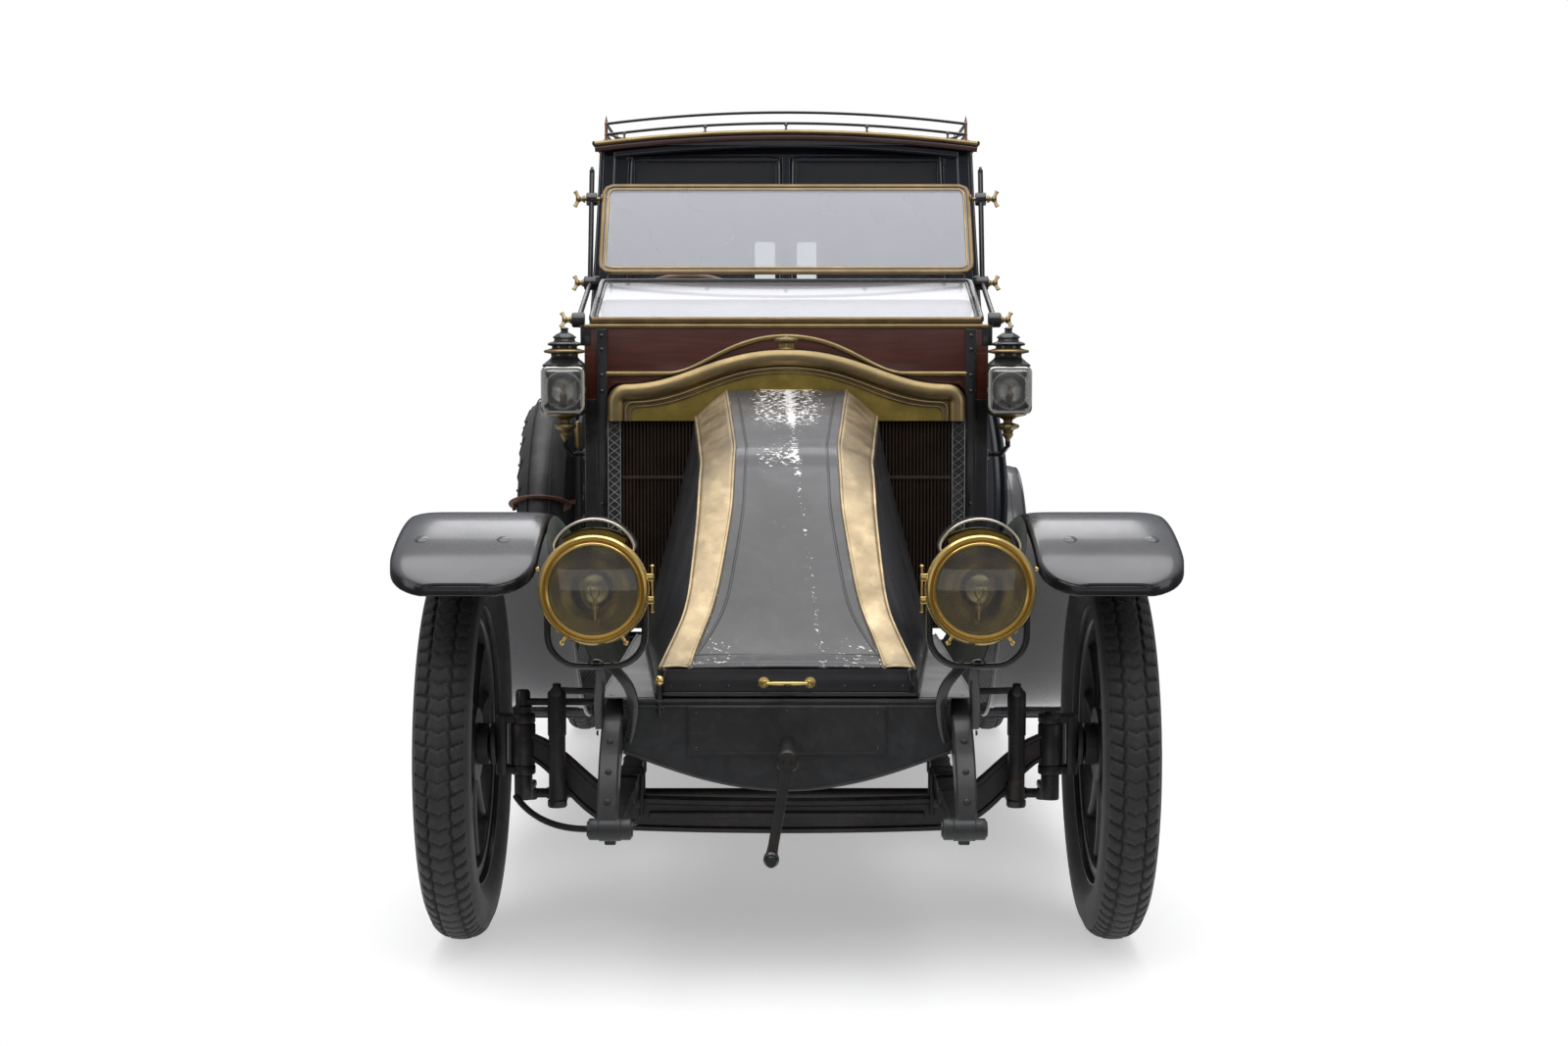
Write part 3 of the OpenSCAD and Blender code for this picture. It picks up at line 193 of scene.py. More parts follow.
class Shape:
    """A mesh being gathered from surfaces: points, faces, and one finish number for each face."""

    def __init__(self) -> None:
        """Starts empty."""
        self.points: list[Array] = []
        self.faces: list[list[int]] = []
        self.kinds: list[int] = []
        self.marks: list[Array] = []
        self.total = 0

    def add(self, points: Array, faces: Array, kind: int = 0, mark: Optional[Array] = None) -> "Shape":
        """Adds points (n, 3) and faces (m, k) that count from the first of them."""
        self.points.append(np.asarray(points, float))
        self.marks.append(np.zeros(len(points)) if mark is None else np.asarray(mark, float).ravel())
        self.faces += (np.asarray(faces) + self.total).tolist()
        self.kinds += [kind] * len(faces)
        self.total += len(points)
        return self

    def grid(self, p: Array, wrap_u: bool = False, wrap_v: bool = False, kind: int = 0, caps: bool = False,
            mark: Optional[Array] = None) -> "Shape":
        """Adds the surface through the points p (n, m, 3): faces join (i, j), (i+1, j), (i+1, j+1), (i, j+1).

        Args:
            p: the points.
            wrap_u: joins the last row to the first.
            wrap_v: joins the last column to the first.
            kind: finish number.
            caps: closes the first and last rows with a fan to their middles.
            mark: a value for each point, kept as the attribute "mark".

        Returns:
            The shape itself.
        """
        n, m = p.shape[:2]
        idx = np.arange(n * m).reshape(n, m)
        if wrap_u:
            idx = np.vstack([idx, idx[:1]])
        if wrap_v:
            idx = np.hstack([idx, idx[:, :1]])
        quads = np.stack([idx[:-1, :-1], idx[1:, :-1], idx[1:, 1:], idx[:-1, 1:]], -1).reshape(-1, 4)
        self.add(p.reshape(-1, 3), quads, kind, mark)
        if caps:
            for row in (p[0], p[-1]):
                k = len(row)
                ring = np.arange(k)
                self.add(np.vstack([row, row.mean(0)]), np.stack([ring, np.roll(ring, -1), np.full(k, k)], 1),
                    kind)
        return self

    def sweep(self, path: Array, profile: Array, up: Union[Point, Array] = (0, 0, 1), closed: bool = False,
            kind: int = 0, caps: bool = True, sizes: Optional[Array] = None) -> "Shape":
        """Carries a closed profile along a path: point = path + a * side + b * over.

        side is the unit cross product of the path's direction and up, and over that of side and the
        direction.

        Args:
            path: the points (n, 3) followed.
            profile: pairs (a, b).
            up: one direction, or one for each point.
            closed: the path ends where it starts.
            kind: finish number.
            caps: closes the ends of an open path.
            sizes: scale of the profile at each point.

        Returns:
            The shape itself.
        """
        if closed:
            t = np.roll(path, -1, 0) - np.roll(path, 1, 0)
        else:
            t = np.gradient(path, axis=0)
        t = unit(t)
        side = unit(np.cross(t, np.broadcast_to(np.asarray(up, float), path.shape)))
        over = np.cross(side, t)
        s = np.ones(len(path)) if sizes is None else sizes
        p = path[:, None] + (profile[None, :, :1] * side[:, None] + profile[None, :, 1:] * over[:,
            None]) * s[:, None, None]
        return self.grid(p, wrap_u=closed, wrap_v=True, kind=kind, caps=caps and not closed)

    def tube(self, points: Array, r: float, n: int = 10, kind: int = 0, closed: bool = False) -> "Shape":
        """Round bar of radius r along the points, framed by a direction that none of its stretches
        follows."""
        spread = np.ptp(points, axis=0)
        up = np.zeros(3)
        up[int(np.argmin(spread))] = 1
        if np.count_nonzero(spread < 1e-6) >= 2:
            up = np.zeros(3)
            up[(int(np.argmax(spread)) + 1) % 3] = 1
        return self.sweep(points, disc(r, n), up, closed=closed, kind=kind)

    def turn(self, profile: Array, centre: Point, axis: Axis, n: int = 32, kind: int = 0, sign: float = 1,
            lobes: int = 0, depth: float = 0.0) -> "Shape":
        """Surface of revolution: each (radius, height) pair goes round the axis through centre.

        Args:
            profile: rows (radius, height).
            centre: the origin of the heights.
            axis: direction of the heights.
            n: points round.
            kind: finish number.
            sign: -1 measures heights the other way.
            lobes: waves round the radius, for knurls and nuts.
            depth: depth of those waves as a share of the radius.

        Returns:
            The shape itself.
        """
        t = np.linspace(0, 2 * np.pi, n, endpoint=False)
        wave = 1 - depth * (0.5 - 0.5 * np.cos(lobes * t)) if lobes else np.ones(n)
        ring = np.stack([np.cos(t) * wave, np.sin(t) * wave], 1)
        flat = profile[:, None, :1] * ring[None]
        p = lay(flat, axis, sign * np.repeat(profile[:, 1:], n, 1)) + np.asarray(centre, float)
        return self.grid(p, wrap_v=True, kind=kind)

    def block(self, lo: Point, hi: Point, r: float = 3.0, axis: Axis = Axis.Z, kind: int = 0) -> "Shape":
        """Box whose edges are rounded by r: rounded rectangles stacked along the axis, drawn in at both
        ends."""
        lo, hi = np.minimum(lo, hi).astype(float), np.maximum(lo, hi).astype(float)
        size, mid = hi - lo, (lo + hi) / 2
        rest = [i for i in range(3) if i != axis.value]
        w, h, length = size[rest[0]], size[rest[1]], size[axis.value]
        r = min(r, w / 2.01, h / 2.01, length / 2.01)
        q = np.radians([0, 30, 60, 90])
        ends = [(r * (1 - math.sin(a)), r * (1 - math.cos(a))) for a in q]
        rows = [(a, -length / 2 + b) for a, b in ends] + [(a, length / 2 - b) for a, b in reversed(ends)]
        rings = np.stack([lay(rounded(w - 2 * a, h - 2 * a, max(r - a, 0.05) if a else r, 3), axis, z) for a,
            z in rows])
        return self.grid(rings + mid, wrap_v=True, caps=True, kind=kind)

    def plate(self, outline: Array, lo: float, hi: float, axis: Axis, bevel: float = 1.0,
            kind: int = 0) -> "Shape":
        """Flat plate: a closed outline pulled along the axis, its edges chamfered by moving the outline
        inwards."""
        d = unit(np.roll(outline, -1, 0) - np.roll(outline, 1, 0))
        area = np.sum(outline[:, 0] * np.roll(outline[:, 1], -1) - np.roll(outline[:, 0], -1) * outline[:, 1])
        inward = np.stack([-d[:, 1], d[:, 0]], 1) * np.sign(area)
        rows = [(bevel, lo), (0, lo + bevel), (0, hi - bevel), (bevel, hi)]
        p = np.stack([lay(outline + inward * a, axis, z) for a, z in rows])
        self.grid(p, wrap_v=True, kind=kind)
        n = len(outline)
        for row in (p[0], p[-1]):
            self.add(row, np.arange(n)[None], kind)
        return self

    def beads(self, places: Array, r: float, axis: Axis, sign: float = 1, kind: int = 0, flat: float = 0.6,
            n: int = 10, lobes: int = 0) -> "Shape":
        """Domed rivet heads of radius r at each place, standing along the axis; flat is height over
        radius."""
        a = np.radians([0, 30, 60, 80])
        prof = np.stack([r * np.cos(a), r * flat * np.sin(a)], 1)
        prof = np.vstack([[r, -0.6], prof, [0.01, r * flat]])
        for q in np.atleast_2d(places):
            self.turn(prof, q, axis, n, kind, sign, lobes, 0.14 if lobes else 0)
        return self

    def mirror(self) -> "Shape":
        """Adds a copy of everything so far on the other side of the car."""
        pts = np.concatenate(self.points)
        faces, kinds, marks = list(self.faces), list(self.kinds), np.concatenate(self.marks)
        self.points.append(pts * [-1, 1, 1])
        self.marks.append(marks)
        self.faces += [[i + self.total for i in reversed(f)] for f in faces]
        self.kinds += kinds
        self.total *= 2
        return self

    def merged(self, other: "Shape") -> "Shape":
        """Adds the surfaces of another shape."""
        self.faces += [[i + self.total for i in f] for f in other.faces]
        self.points += other.points
        self.marks += other.marks
        self.kinds += other.kinds
        self.total += other.total
        return self

    def moved(self, turn: Optional[Array] = None, shift: Point = (0, 0, 0)) -> "Shape":
        """Turns every point by a matrix about the origin, then shifts it."""
        m = np.eye(3) if turn is None else turn
        self.points = [p @ m.T + np.asarray(shift, float) for p in self.points]
        return self


def rotation(axis: Axis, degrees: float) -> Array:
    """Matrix that turns by the right-hand rule about an axis of the frame."""
    a = math.radians(degrees)
    i, j = [(1, 2), (2, 0), (0, 1)][axis.value]
    m = np.eye(3)
    m[i, i] = m[j, j] = math.cos(a)
    m[i, j], m[j, i] = -math.sin(a), math.sin(a)
    return m


# ---------------------------------------------------------------- finishes


class Tree:
    """Builds the node tree of one material, from Object coordinates to the Principled shader."""

    def __init__(self, name: str) -> None:
        """Makes the material with its shader and output."""
        self.material = bpy.data.materials.new(name)
        self.material.use_nodes = True
        self.nodes, self.links = self.material.node_tree.nodes, self.material.node_tree.links
        self.nodes.clear()
        self.out = self.nodes.new("ShaderNodeOutputMaterial")
        self.shader = self.nodes.new("ShaderNodeBsdfPrincipled")
        self.links.new(self.shader.outputs[0], self.out.inputs[0])
        self.where = self.nodes.new("ShaderNodeTexCoord").outputs["Object"]

    def feed(self, socket: bpy.types.NodeSocket, value: Value) -> None:
        """Links a socket or sets its constant, with alpha one for a colour."""
        if isinstance(value, bpy.types.NodeSocket):
            self.links.new(value, socket)
        elif isinstance(value, tuple) and socket.type == "RGBA":
            socket.default_value = (*value, 1.0)
        else:
            socket.default_value = value

    def put(self, kind: str, inputs: dict[Union[str, int], Value], **settings: object) -> bpy.types.Node:
        """Adds a node of a kind with its settings and inputs."""
        node = self.nodes.new(kind)
        for key, value in settings.items():
            setattr(node, key, value)
        for key, value in inputs.items():
            self.feed(node.inputs[key], value)
        return node

    def placed(self, stretch: Point = (1, 1, 1), turn: Point = (0, 0, 0)) -> bpy.types.NodeSocket:
        """Object coordinates scaled by stretch and turned by radians."""
        return self.put("ShaderNodeMapping",
            {"Vector": self.where, "Scale": tuple(stretch), "Rotation": tuple(turn)}).outputs[0]

    def noise(self, scale: float, detail: float = 3.0, stretch: Point = (1, 1, 1), warp: float = 0.0,
            rough: float = 0.55) -> bpy.types.NodeSocket:
        """Noise from 0 to 1 over the stretched object coordinates."""
        return self.put("ShaderNodeTexNoise",
            {"Vector": self.placed(stretch), "Scale": scale, "Detail": detail, "Distortion": warp,
                "Roughness": rough}).outputs[0]

    def cells(self, scale: float, stretch: Point = (1, 1, 1), feature: str = "F1") -> bpy.types.NodeSocket:
        """Distance of the nearest Voronoi cell, or to its edge."""
        return self.put("ShaderNodeTexVoronoi", {"Vector": self.placed(stretch), "Scale": scale},
            feature=feature).outputs["Distance"]

    def wave(self, scale: float, axis: Axis, warp: float = 0.0,
            stretch: Point = (1, 1, 1)) -> bpy.types.NodeSocket:
        """Sine bands across one axis."""
        return self.put("ShaderNodeTexWave",
            {"Vector": self.placed(stretch), "Scale": scale, "Distortion": warp, "Detail": 2.0},
            bands_direction=axis.name).outputs["Fac"]

    def ramp(self, fac: Value, *stops: tuple[float, Union[float, Colour]]) -> bpy.types.NodeSocket:
        """Maps a value to a colour or grey through stops of (place, colour)."""
        node = self.put("ShaderNodeValToRGB", {0: fac})
        ramp = node.color_ramp
        while len(ramp.elements) < len(stops):
            ramp.elements.new(0.5)
        for element, (place, colour) in zip(ramp.elements, stops):
            element.position = place
            element.color = (*colour, 1) if isinstance(colour, tuple) else (colour, colour, colour, 1)
        return node.outputs[0]

    def blend(self, fac: Value, a: Value, b: Value, kind: str = "MIX") -> bpy.types.NodeSocket:
        """Mixes two colours by fac."""
        node = self.put("ShaderNodeMix", {}, data_type="RGBA", blend_type=kind)
        for socket, value in zip([node.inputs[0], node.inputs[6], node.inputs[7]], [fac, a, b]):
            self.feed(socket, value)
        return node.outputs[2]

    def maths(self, kind: str, a: Value, b: Value = 0.0) -> bpy.types.NodeSocket:
        """Applies an arithmetic operation to two values."""
        return self.put("ShaderNodeMath", {0: a, 1: b}, operation=kind).outputs[0]

    def mark(self) -> bpy.types.NodeSocket:
        """The piece's own attribute "mark"."""
        return self.put("ShaderNodeAttribute", {}, attribute_name="mark").outputs["Fac"]

    def part(self, index: int) -> bpy.types.NodeSocket:
        """One of the object coordinates: 0, 1 or 2 for x, y or z."""
        return self.put("ShaderNodeSeparateXYZ", {0: self.where}).outputs[index]

    def bump(self, height: Value, strength: float, distance: float = 0.001) -> None:
        """Feeds a height into the shader's normal."""
        node = self.put("ShaderNodeBump", {"Height": height, "Strength": strength, "Distance": distance})
        self.links.new(node.outputs[0], self.shader.inputs["Normal"])

    def shade(self, colour: Value, rough: Value, **more: Value) -> bpy.types.Material:
        """Sets colour and roughness, then further sockets named with underscores for spaces, and returns
        the material."""
        self.feed(self.shader.inputs["Base Color"], colour)
        self.feed(self.shader.inputs["Roughness"], rough)
        for key, value in more.items():
            self.feed(self.shader.inputs[key.replace("_", " ")], value)
        return self.material


@dataclass(frozen=True)
class Finish:
    """A surface treatment: its name, the record's slot it belongs to, and its main colour."""

    name: str
    slot: str
    colour: Colour

    def shade(self, k: float) -> Colour:
        """The main colour made lighter or darker by k."""
        return tuple(min(1.0, c * k) for c in self.colour)  # type: ignore[return-value]

    def build(self) -> bpy.types.Material:
        """Makes the material; each kind of finish has its own."""
        raise NotImplementedError


@dataclass(frozen=True)
class Enamel(Finish):
    """Old paint: cloudy colour, dust in the low spots, scratches, and chips down to the primer."""

    rough: float = 0.28
    coat: float = 0.3
    chips: float = 0.0
    dust: float = 0.15
    dust_colour: Colour = (0.12, 0.12, 0.125)
    rust: float = 0.0

    def build(self) -> bpy.types.Material:
        """Returns the painted material."""
        t = Tree(self.name)
        cloud = t.noise(3.0, 4, warp=0.6)
        colour = t.blend(t.ramp(cloud, (0.3, 0.0), (0.72, 1.0)), self.shade(0.72), self.shade(1.35))
        haze = t.ramp(t.noise(9.0, 6, rough=0.7, warp=1.2), (0.46, 0.0), (0.8, 1.0))
        colour = t.blend(t.maths("MULTIPLY", haze, self.dust), colour, self.dust_colour)
        scratch = t.ramp(t.noise(150.0, 2, (1, 0.12, 0.3)), (0.7, 0.0), (0.74, 1.0))
        colour = t.blend(t.maths("MULTIPLY", scratch, 0.12), colour, self.dust_colour)
        if self.rust:
            spots = t.ramp(t.noise(22.0, 7, rough=0.75, warp=0.8), (0.56, 0.0), (0.66, 1.0))
            brown = t.blend(t.noise(60.0, 3), (0.06, 0.028, 0.014), (0.19, 0.085, 0.035))
            colour = t.blend(t.maths("MULTIPLY", spots, self.rust), colour, brown)
        height = t.noise(320.0, 2)
        if self.chips:
            ragged = t.noise(95.0, 5, (1, 1, 1.6), rough=0.62, warp=0.3)
            dense = t.maths("ADD", ragged, t.maths("MULTIPLY", t.mark(), self.chips))
            chip = t.ramp(dense, (0.735, 0.0), (0.75, 1.0))
            scuff = t.ramp(t.maths("ADD", t.noise(26.0, 5), t.maths("MULTIPLY", t.mark(), self.chips * 0.8)),
                (0.66, 0.0), (0.82, 1.0))
            colour = t.blend(t.maths("MULTIPLY", scuff, 0.2), colour, (0.3, 0.3, 0.31))
            colour = t.blend(chip, colour, (0.78, 0.77, 0.76))
            height = t.maths("SUBTRACT", height, t.maths("MULTIPLY", chip, 1.5))
        rough = t.ramp(t.noise(5.5, 5, rough=0.65), (0.3, self.rough * 0.8),
            (0.75, min(1.0, self.rough * 1.7)))
        t.bump(height, 0.08)
        return t.shade(colour, rough, Coat_Weight=self.coat, Coat_Roughness=0.12,
            Specular_IOR_Level=0.5 if self.coat else 0.12)


@dataclass(frozen=True)
class Brass(Finish):
    """Brass: polished, or dulled to tan with darker blooms and pale rubbed streaks."""

    age: float = 0.6
    rough: float = 0.3

    def build(self) -> bpy.types.Material:
        """Returns the metal."""
        t = Tree(self.name)
        bloom = t.ramp(t.noise(7.0, 6, rough=0.68, warp=0.9), (0.32, 0.0), (0.72, 1.0))
        colour = t.blend(t.maths("MULTIPLY", bloom, self.age), self.colour, self.shade(0.55))
        streak = t.ramp(t.noise(26.0, 4, (1, 0.25, 1)), (0.5, 0.0), (0.75, 1.0))
        colour = t.blend(t.maths("MULTIPLY", streak, 0.5 * self.age), colour, self.shade(1.7))
        speck = t.ramp(t.noise(170.0, 3), (0.68, 0.0), (0.74, 1.0))
        colour = t.blend(t.maths("MULTIPLY", speck, 0.5 * self.age), colour, (0.12, 0.09, 0.045))
        rough = t.ramp(t.noise(14.0, 5), (0.3, self.rough * 0.75), (0.75, min(1.0, self.rough * 1.6)))
        if self.rough > 0.2:
            t.bump(t.noise(210.0, 2), 0.4 * self.rough * self.age)
        return t.shade(colour, rough, Metallic=1.0 - 0.22 * self.age)


@dataclass(frozen=True)
class Steel(Finish):
    """Bare or blackened iron with oily patches and rust in the pores."""

    rough: float = 0.5
    rust: float = 0.35
    metal: float = 0.8

    def build(self) -> bpy.types.Material:
        """Returns the metal."""
        t = Tree(self.name)
        colour = t.blend(t.noise(8.0, 5, warp=0.5), self.shade(0.6), self.shade(1.4))
        spots = t.ramp(t.noise(30.0, 7, rough=0.75), (0.5, 0.0), (0.68, 1.0))
        brown = t.blend(t.noise(90.0, 3), (0.07, 0.03, 0.015), (0.2, 0.1, 0.05))
        colour = t.blend(t.maths("MULTIPLY", spots, self.rust), colour, brown)
        rough = t.ramp(t.noise(20.0, 5), (0.3, self.rough * 0.8), (0.75, min(1.0, self.rough * 1.5)))
        t.bump(t.noise(140.0, 5, rough=0.7), 0.25)
        return t.shade(colour, rough, Metallic=self.metal)


@dataclass(frozen=True)
class Timber(Finish):
    """Wood whose long grain runs along one axis, under varnish or paint."""

    grain: Axis = Axis.X
    coat: float = 0.6
    contrast: float = 1.0

    def build(self) -> bpy.types.Material:
        """Returns the wood."""
        t = Tree(self.name)
        stretch = [9.0, 9.0, 9.0]
        stretch[self.grain.value] = 0.7
        figure = t.noise(6.0, 6, stretch, warp=1.4, rough=0.62)
        pores = t.noise(60.0, 3, stretch)
        c = 0.45 * self.contrast
        colour = t.ramp(figure, (0.28, self.shade(1 - c)), (0.5, self.colour), (0.72, self.shade(1 + c)))
        colour = t.blend(t.maths("MULTIPLY", t.ramp(pores, (0.56, 0.0), (0.7, 1.0)), 0.5 * self.contrast),
            colour, self.shade(0.35))
        t.bump(pores, 0.1)
        return t.shade(colour, t.ramp(t.noise(12.0, 4), (0.3, 0.26), (0.8, 0.48)), Coat_Weight=self.coat,
            Coat_Roughness=0.1)


@dataclass(frozen=True)
class Rubber(Finish):
    """Old tyre or mat rubber: grey bloom, dirt and fine cracks."""

    bloom: float = 0.5

    def build(self) -> bpy.types.Material:
        """Returns the rubber."""
        t = Tree(self.name)
        haze = t.ramp(t.noise(11.0, 7, rough=0.72, warp=0.7), (0.36, 0.0), (0.78, 1.0))
        colour = t.blend(t.maths("MULTIPLY", haze, self.bloom), self.colour, (0.07, 0.065, 0.06))
        dirt = t.ramp(t.noise(38.0, 6, rough=0.7), (0.52, 0.0), (0.75, 1.0))
        colour = t.blend(t.maths("MULTIPLY", dirt, 0.35), colour, (0.1, 0.085, 0.07))
        cracks = t.cells(120.0, feature="DISTANCE_TO_EDGE")
        t.bump(t.maths("ADD", t.noise(300.0, 3), t.ramp(cracks, (0.0, 0.0), (0.08, 0.6))), 0.22)
        return t.shade(colour, t.ramp(haze, (0.2, 0.62), (0.9, 0.86)), Sheen_Weight=0.15, Sheen_Roughness=0.5)


@dataclass(frozen=True)
class Hide(Finish):
    """Leather with pebbled grain, rubbed tops and creases."""

    rough: float = 0.42

    def build(self) -> bpy.types.Material:
        """Returns the leather."""
        t = Tree(self.name)
        colour = t.blend(t.noise(5.0, 5, warp=0.6), self.shade(0.65), self.shade(1.5))
        worn = t.ramp(t.noise(16.0, 6, rough=0.7), (0.55, 0.0), (0.8, 1.0))
        colour = t.blend(t.maths("MULTIPLY", worn, 0.3), colour, (0.16, 0.12, 0.09))
        pebble = t.cells(420.0)
        t.bump(t.maths("ADD", pebble, t.maths("MULTIPLY", t.noise(45.0, 4), 0.8)), 0.3, 0.0008)
        return t.shade(colour, t.ramp(t.noise(22.0, 4), (0.3, self.rough * 0.8), (0.8, self.rough * 1.5)),
            Sheen_Weight=0.1)


@dataclass(frozen=True)
class Cloth(Finish):
    """Woven cloth: crossed threads at 1.6 mm with a soft sheen and fading."""

    pitch: float = 1.6

    def build(self) -> bpy.types.Material:
        """Returns the cloth."""
        t = Tree(self.name)
        scale = 1000.0 / self.pitch / 6.283
        warp, weft = t.wave(scale, Axis.X, 0.4), t.wave(scale, Axis.Y, 0.4)
        up = t.wave(scale, Axis.Z, 0.4)
        weave = t.maths("MAXIMUM", t.maths("MULTIPLY", warp, weft), t.maths("MULTIPLY", up, 0.6))
        fade = t.noise(4.0, 5, warp=0.5)
        colour = t.blend(fade, self.shade(0.7), self.shade(1.35))
        colour = t.blend(t.maths("MULTIPLY", weave, 0.35), colour, self.shade(1.9))
        t.bump(weave, 0.35, 0.0006)
        return t.shade(colour, 0.82, Sheen_Weight=0.35, Sheen_Roughness=0.4)


@dataclass(frozen=True)
class Pane(Finish):
    """Window or lens glass with a faint greasy coating; where that diffuse haze is made strong and pale, as on the
    sloped lower pane, it is painted reflection of the lights.
    """

    film_and_painted_reflection: float = 0.06
    tint: float = 0.0
    painted_reflection_and_film_veil: Colour = (0.55, 0.55, 0.61)

    def build(self) -> bpy.types.Material:
        """Returns the glass: thin, mostly clear, with soft smears of diffuse haze, part greasy coating and part
        painted reflection.
        """
        t = Tree(self.name)
        material = t.shade(self.colour, 0.05, Transmission_Weight=1.0, IOR=1.45)
        glass = t.shader
        clear = t.put("ShaderNodeBsdfTransparent",
            {"Color": tuple(1 - self.tint * (1 - c) for c in self.colour)})
        gloss = t.put("ShaderNodeBsdfGlossy", {"Color": (1.0, 1.0, 1.0), "Roughness": 0.03})
        fresnel = t.put("ShaderNodeFresnel", {"IOR": 1.5})
        both = t.put("ShaderNodeMixShader", {0: fresnel.outputs[0], 1: clear.outputs[0], 2: gloss.outputs[0]})
        # Diffuse haze: a greasy coating on the lenses, a painted reflection of the lights on the sloped lower pane.
        haze = t.put("ShaderNodeBsdfDiffuse", {"Color": self.painted_reflection_and_film_veil})
        painted_reflection_and_film_veil = t.put("ShaderNodeMixShader",
            {0: t.maths("MULTIPLY", t.ramp(t.noise(2.2, 2, warp=0.3), (0.3, 0.8), (0.8, 1.0)), self.film_and_painted_reflection),
                1: both.outputs[0], 2: haze.outputs[0]})
        t.links.new(painted_reflection_and_film_veil.outputs[0], t.out.inputs[0])
        t.nodes.remove(glass)
        return material


BODY = Enamel("coach_paint", "body_paint", (0.014, 0.016, 0.024), rough=0.16, coat=0.7, dust=0.1)
FENDER = Enamel("fender_enamel", "fender_paint", (0.014, 0.015, 0.021), rough=0.2, coat=0.6, dust=0.15)
UNDER = Enamel("fender_underside", "fender_paint", (0.032, 0.036, 0.029), rough=0.6, coat=0.0, dust=0.3,
    rust=0.3)
CHASSIS = Enamel("chassis_enamel", "chassis_paint", (0.014, 0.0135, 0.013), rough=0.4, coat=0.1, dust=0.2,
    rust=0.3)
IRONS = Enamel("worn_iron", "chassis_paint", (0.02, 0.02, 0.021), rough=0.38, coat=0.15, dust=0.25, rust=0.3)
HOOD = Enamel("bonnet_paint", "bonnet_paint", (0.032, 0.032, 0.036), rough=0.3, coat=0.3, chips=0.34,
    dust=0.25)
LIP = Enamel("bonnet_lip_paint", "bonnet_paint", (0.016, 0.016, 0.018), rough=0.3, coat=0.3, dust=0.12)
BLACK = Enamel("black_japan", "black_iron", (0.012, 0.012, 0.013), rough=0.2, coat=0.5, dust=0.12)
PLATE = Enamel("plate_enamel", "plate_paint", (0.018, 0.018, 0.019), rough=0.35, coat=0.2, dust=0.25)
WHEELS = Enamel("wheel_enamel", "wheel_wood", (0.014, 0.014, 0.015), rough=0.35, coat=0.25, dust=0.3,
    rust=0.06)
MAROON = Enamel("roof_moulding", "body_paint", (0.045, 0.012, 0.01), rough=0.3, coat=0.4, dust=0.15)
OLD_BRASS = Brass("aged_brass", "aged_brass", (0.33, 0.245, 0.12), age=0.6, rough=0.34)
PANEL_BRASS = Brass("panel_brass", "aged_brass", (0.34, 0.25, 0.06), age=0.7, rough=0.42)
STRIP_BRASS = Brass("strip_brass", "aged_brass", (0.44, 0.345, 0.215), age=0.8, rough=0.4)
LAMP_BRASS = Brass("lamp_brass", "lamp_brass", (0.78, 0.56, 0.2), age=0.2, rough=0.15)
SILVER = Brass("reflector", "lamp_brass", (0.48, 0.41, 0.2), age=0.3, rough=0.14)
NICKEL = Brass("nickel_edge", "lamp_brass", (0.62, 0.6, 0.55), age=0.2, rough=0.2)
CORE = Steel("radiator_tubes", "radiator_core", (0.045, 0.03, 0.022), rough=0.5, rust=0.3, metal=0.5)
MESH = Steel("zinc_mesh", "radiator_core", (0.3, 0.3, 0.3), rough=0.45, rust=0.15, metal=0.8)
CRANK = Steel("crank_steel", "bare_steel", (0.05, 0.048, 0.046), rough=0.38, rust=0.15)
STEEL = Steel("dull_steel", "bare_steel", (0.2, 0.19, 0.175), rough=0.42, rust=0.35)
RUSTY = Steel("rusty_steel", "chassis_paint", (0.1, 0.075, 0.06), rough=0.62, rust=0.8, metal=0.5)
IRON = Steel("cast_iron", "engine_iron", (0.14, 0.145, 0.14), rough=0.55, rust=0.2, metal=0.7)
MAHOGANY = Timber("mahogany", "mahogany", (0.075, 0.016, 0.008), Axis.X, 0.7, 0.8)
BOARDS = Timber("floor_boards", "floor_wood", (0.13, 0.09, 0.05), Axis.Y, 0.1, 1.0)
RIM_WOOD = Timber("rim_wood", "wheel_rim_wood", (0.2, 0.095, 0.055), Axis.X, 0.8, 0.6)
POST_WOOD = Timber("post_wood", "mahogany", (0.16, 0.06, 0.03), Axis.Z, 0.6, 0.8)
TYRE = Rubber("tyre_rubber", "tyre", (0.017, 0.017, 0.018), 0.28)
MAT = Rubber("mat_rubber", "board_rubber", (0.03, 0.03, 0.03), 0.4)
HIDE = Hide("black_hide", "leather", (0.022, 0.02, 0.019), 0.4)
STRAP = Hide("strap_hide", "leather", (0.17, 0.07, 0.035), 0.5)
COVER = Hide("cover_hide", "cover_cloth", (0.02, 0.02, 0.022), 0.34)
CORD = Cloth("drab_cord", "seat_cloth", (0.15, 0.12, 0.09), 2.4)
ROOF = Cloth("roof_cloth", "roof_cloth", (0.03, 0.028, 0.027), 1.4)
CLEAR = Pane("window_glass", "glass", (0.9, 0.93, 0.92), 0.04, 0.4)
BRONZE = Brass("bronze_channel", "aged_brass", (0.2, 0.14, 0.075), age=0.6, rough=0.36)
# The sloped lower pane's strong pale haze is a painted reflection of the overhead light.
SLOPED = Pane("sloped_glass", "glass", (0.9, 0.92, 0.93), 0.5, 0.6, (0.8, 0.8, 0.84))
SCREEN = Pane("screen_glass", "glass", (0.9, 0.92, 0.93), 0.4, 0.6)
RUBY = Pane("ruby_lens", "lamp_brass", (0.4, 0.006, 0.01), 0.5, 0.3)
SPLASH = Enamel("splash_plate", "chassis_paint", (0.24, 0.24, 0.24), rough=0.45, coat=0.0, dust=0.4,
    rust=0.15)
IRONS_DARK = Enamel("apron_enamel", "chassis_paint", (0.016, 0.017, 0.018), rough=0.38, coat=0.2, dust=0.25,
    rust=0.1)
LENS = Pane("lamp_lens", "glass", (0.93, 0.95, 0.9), 0.05, 0.3)


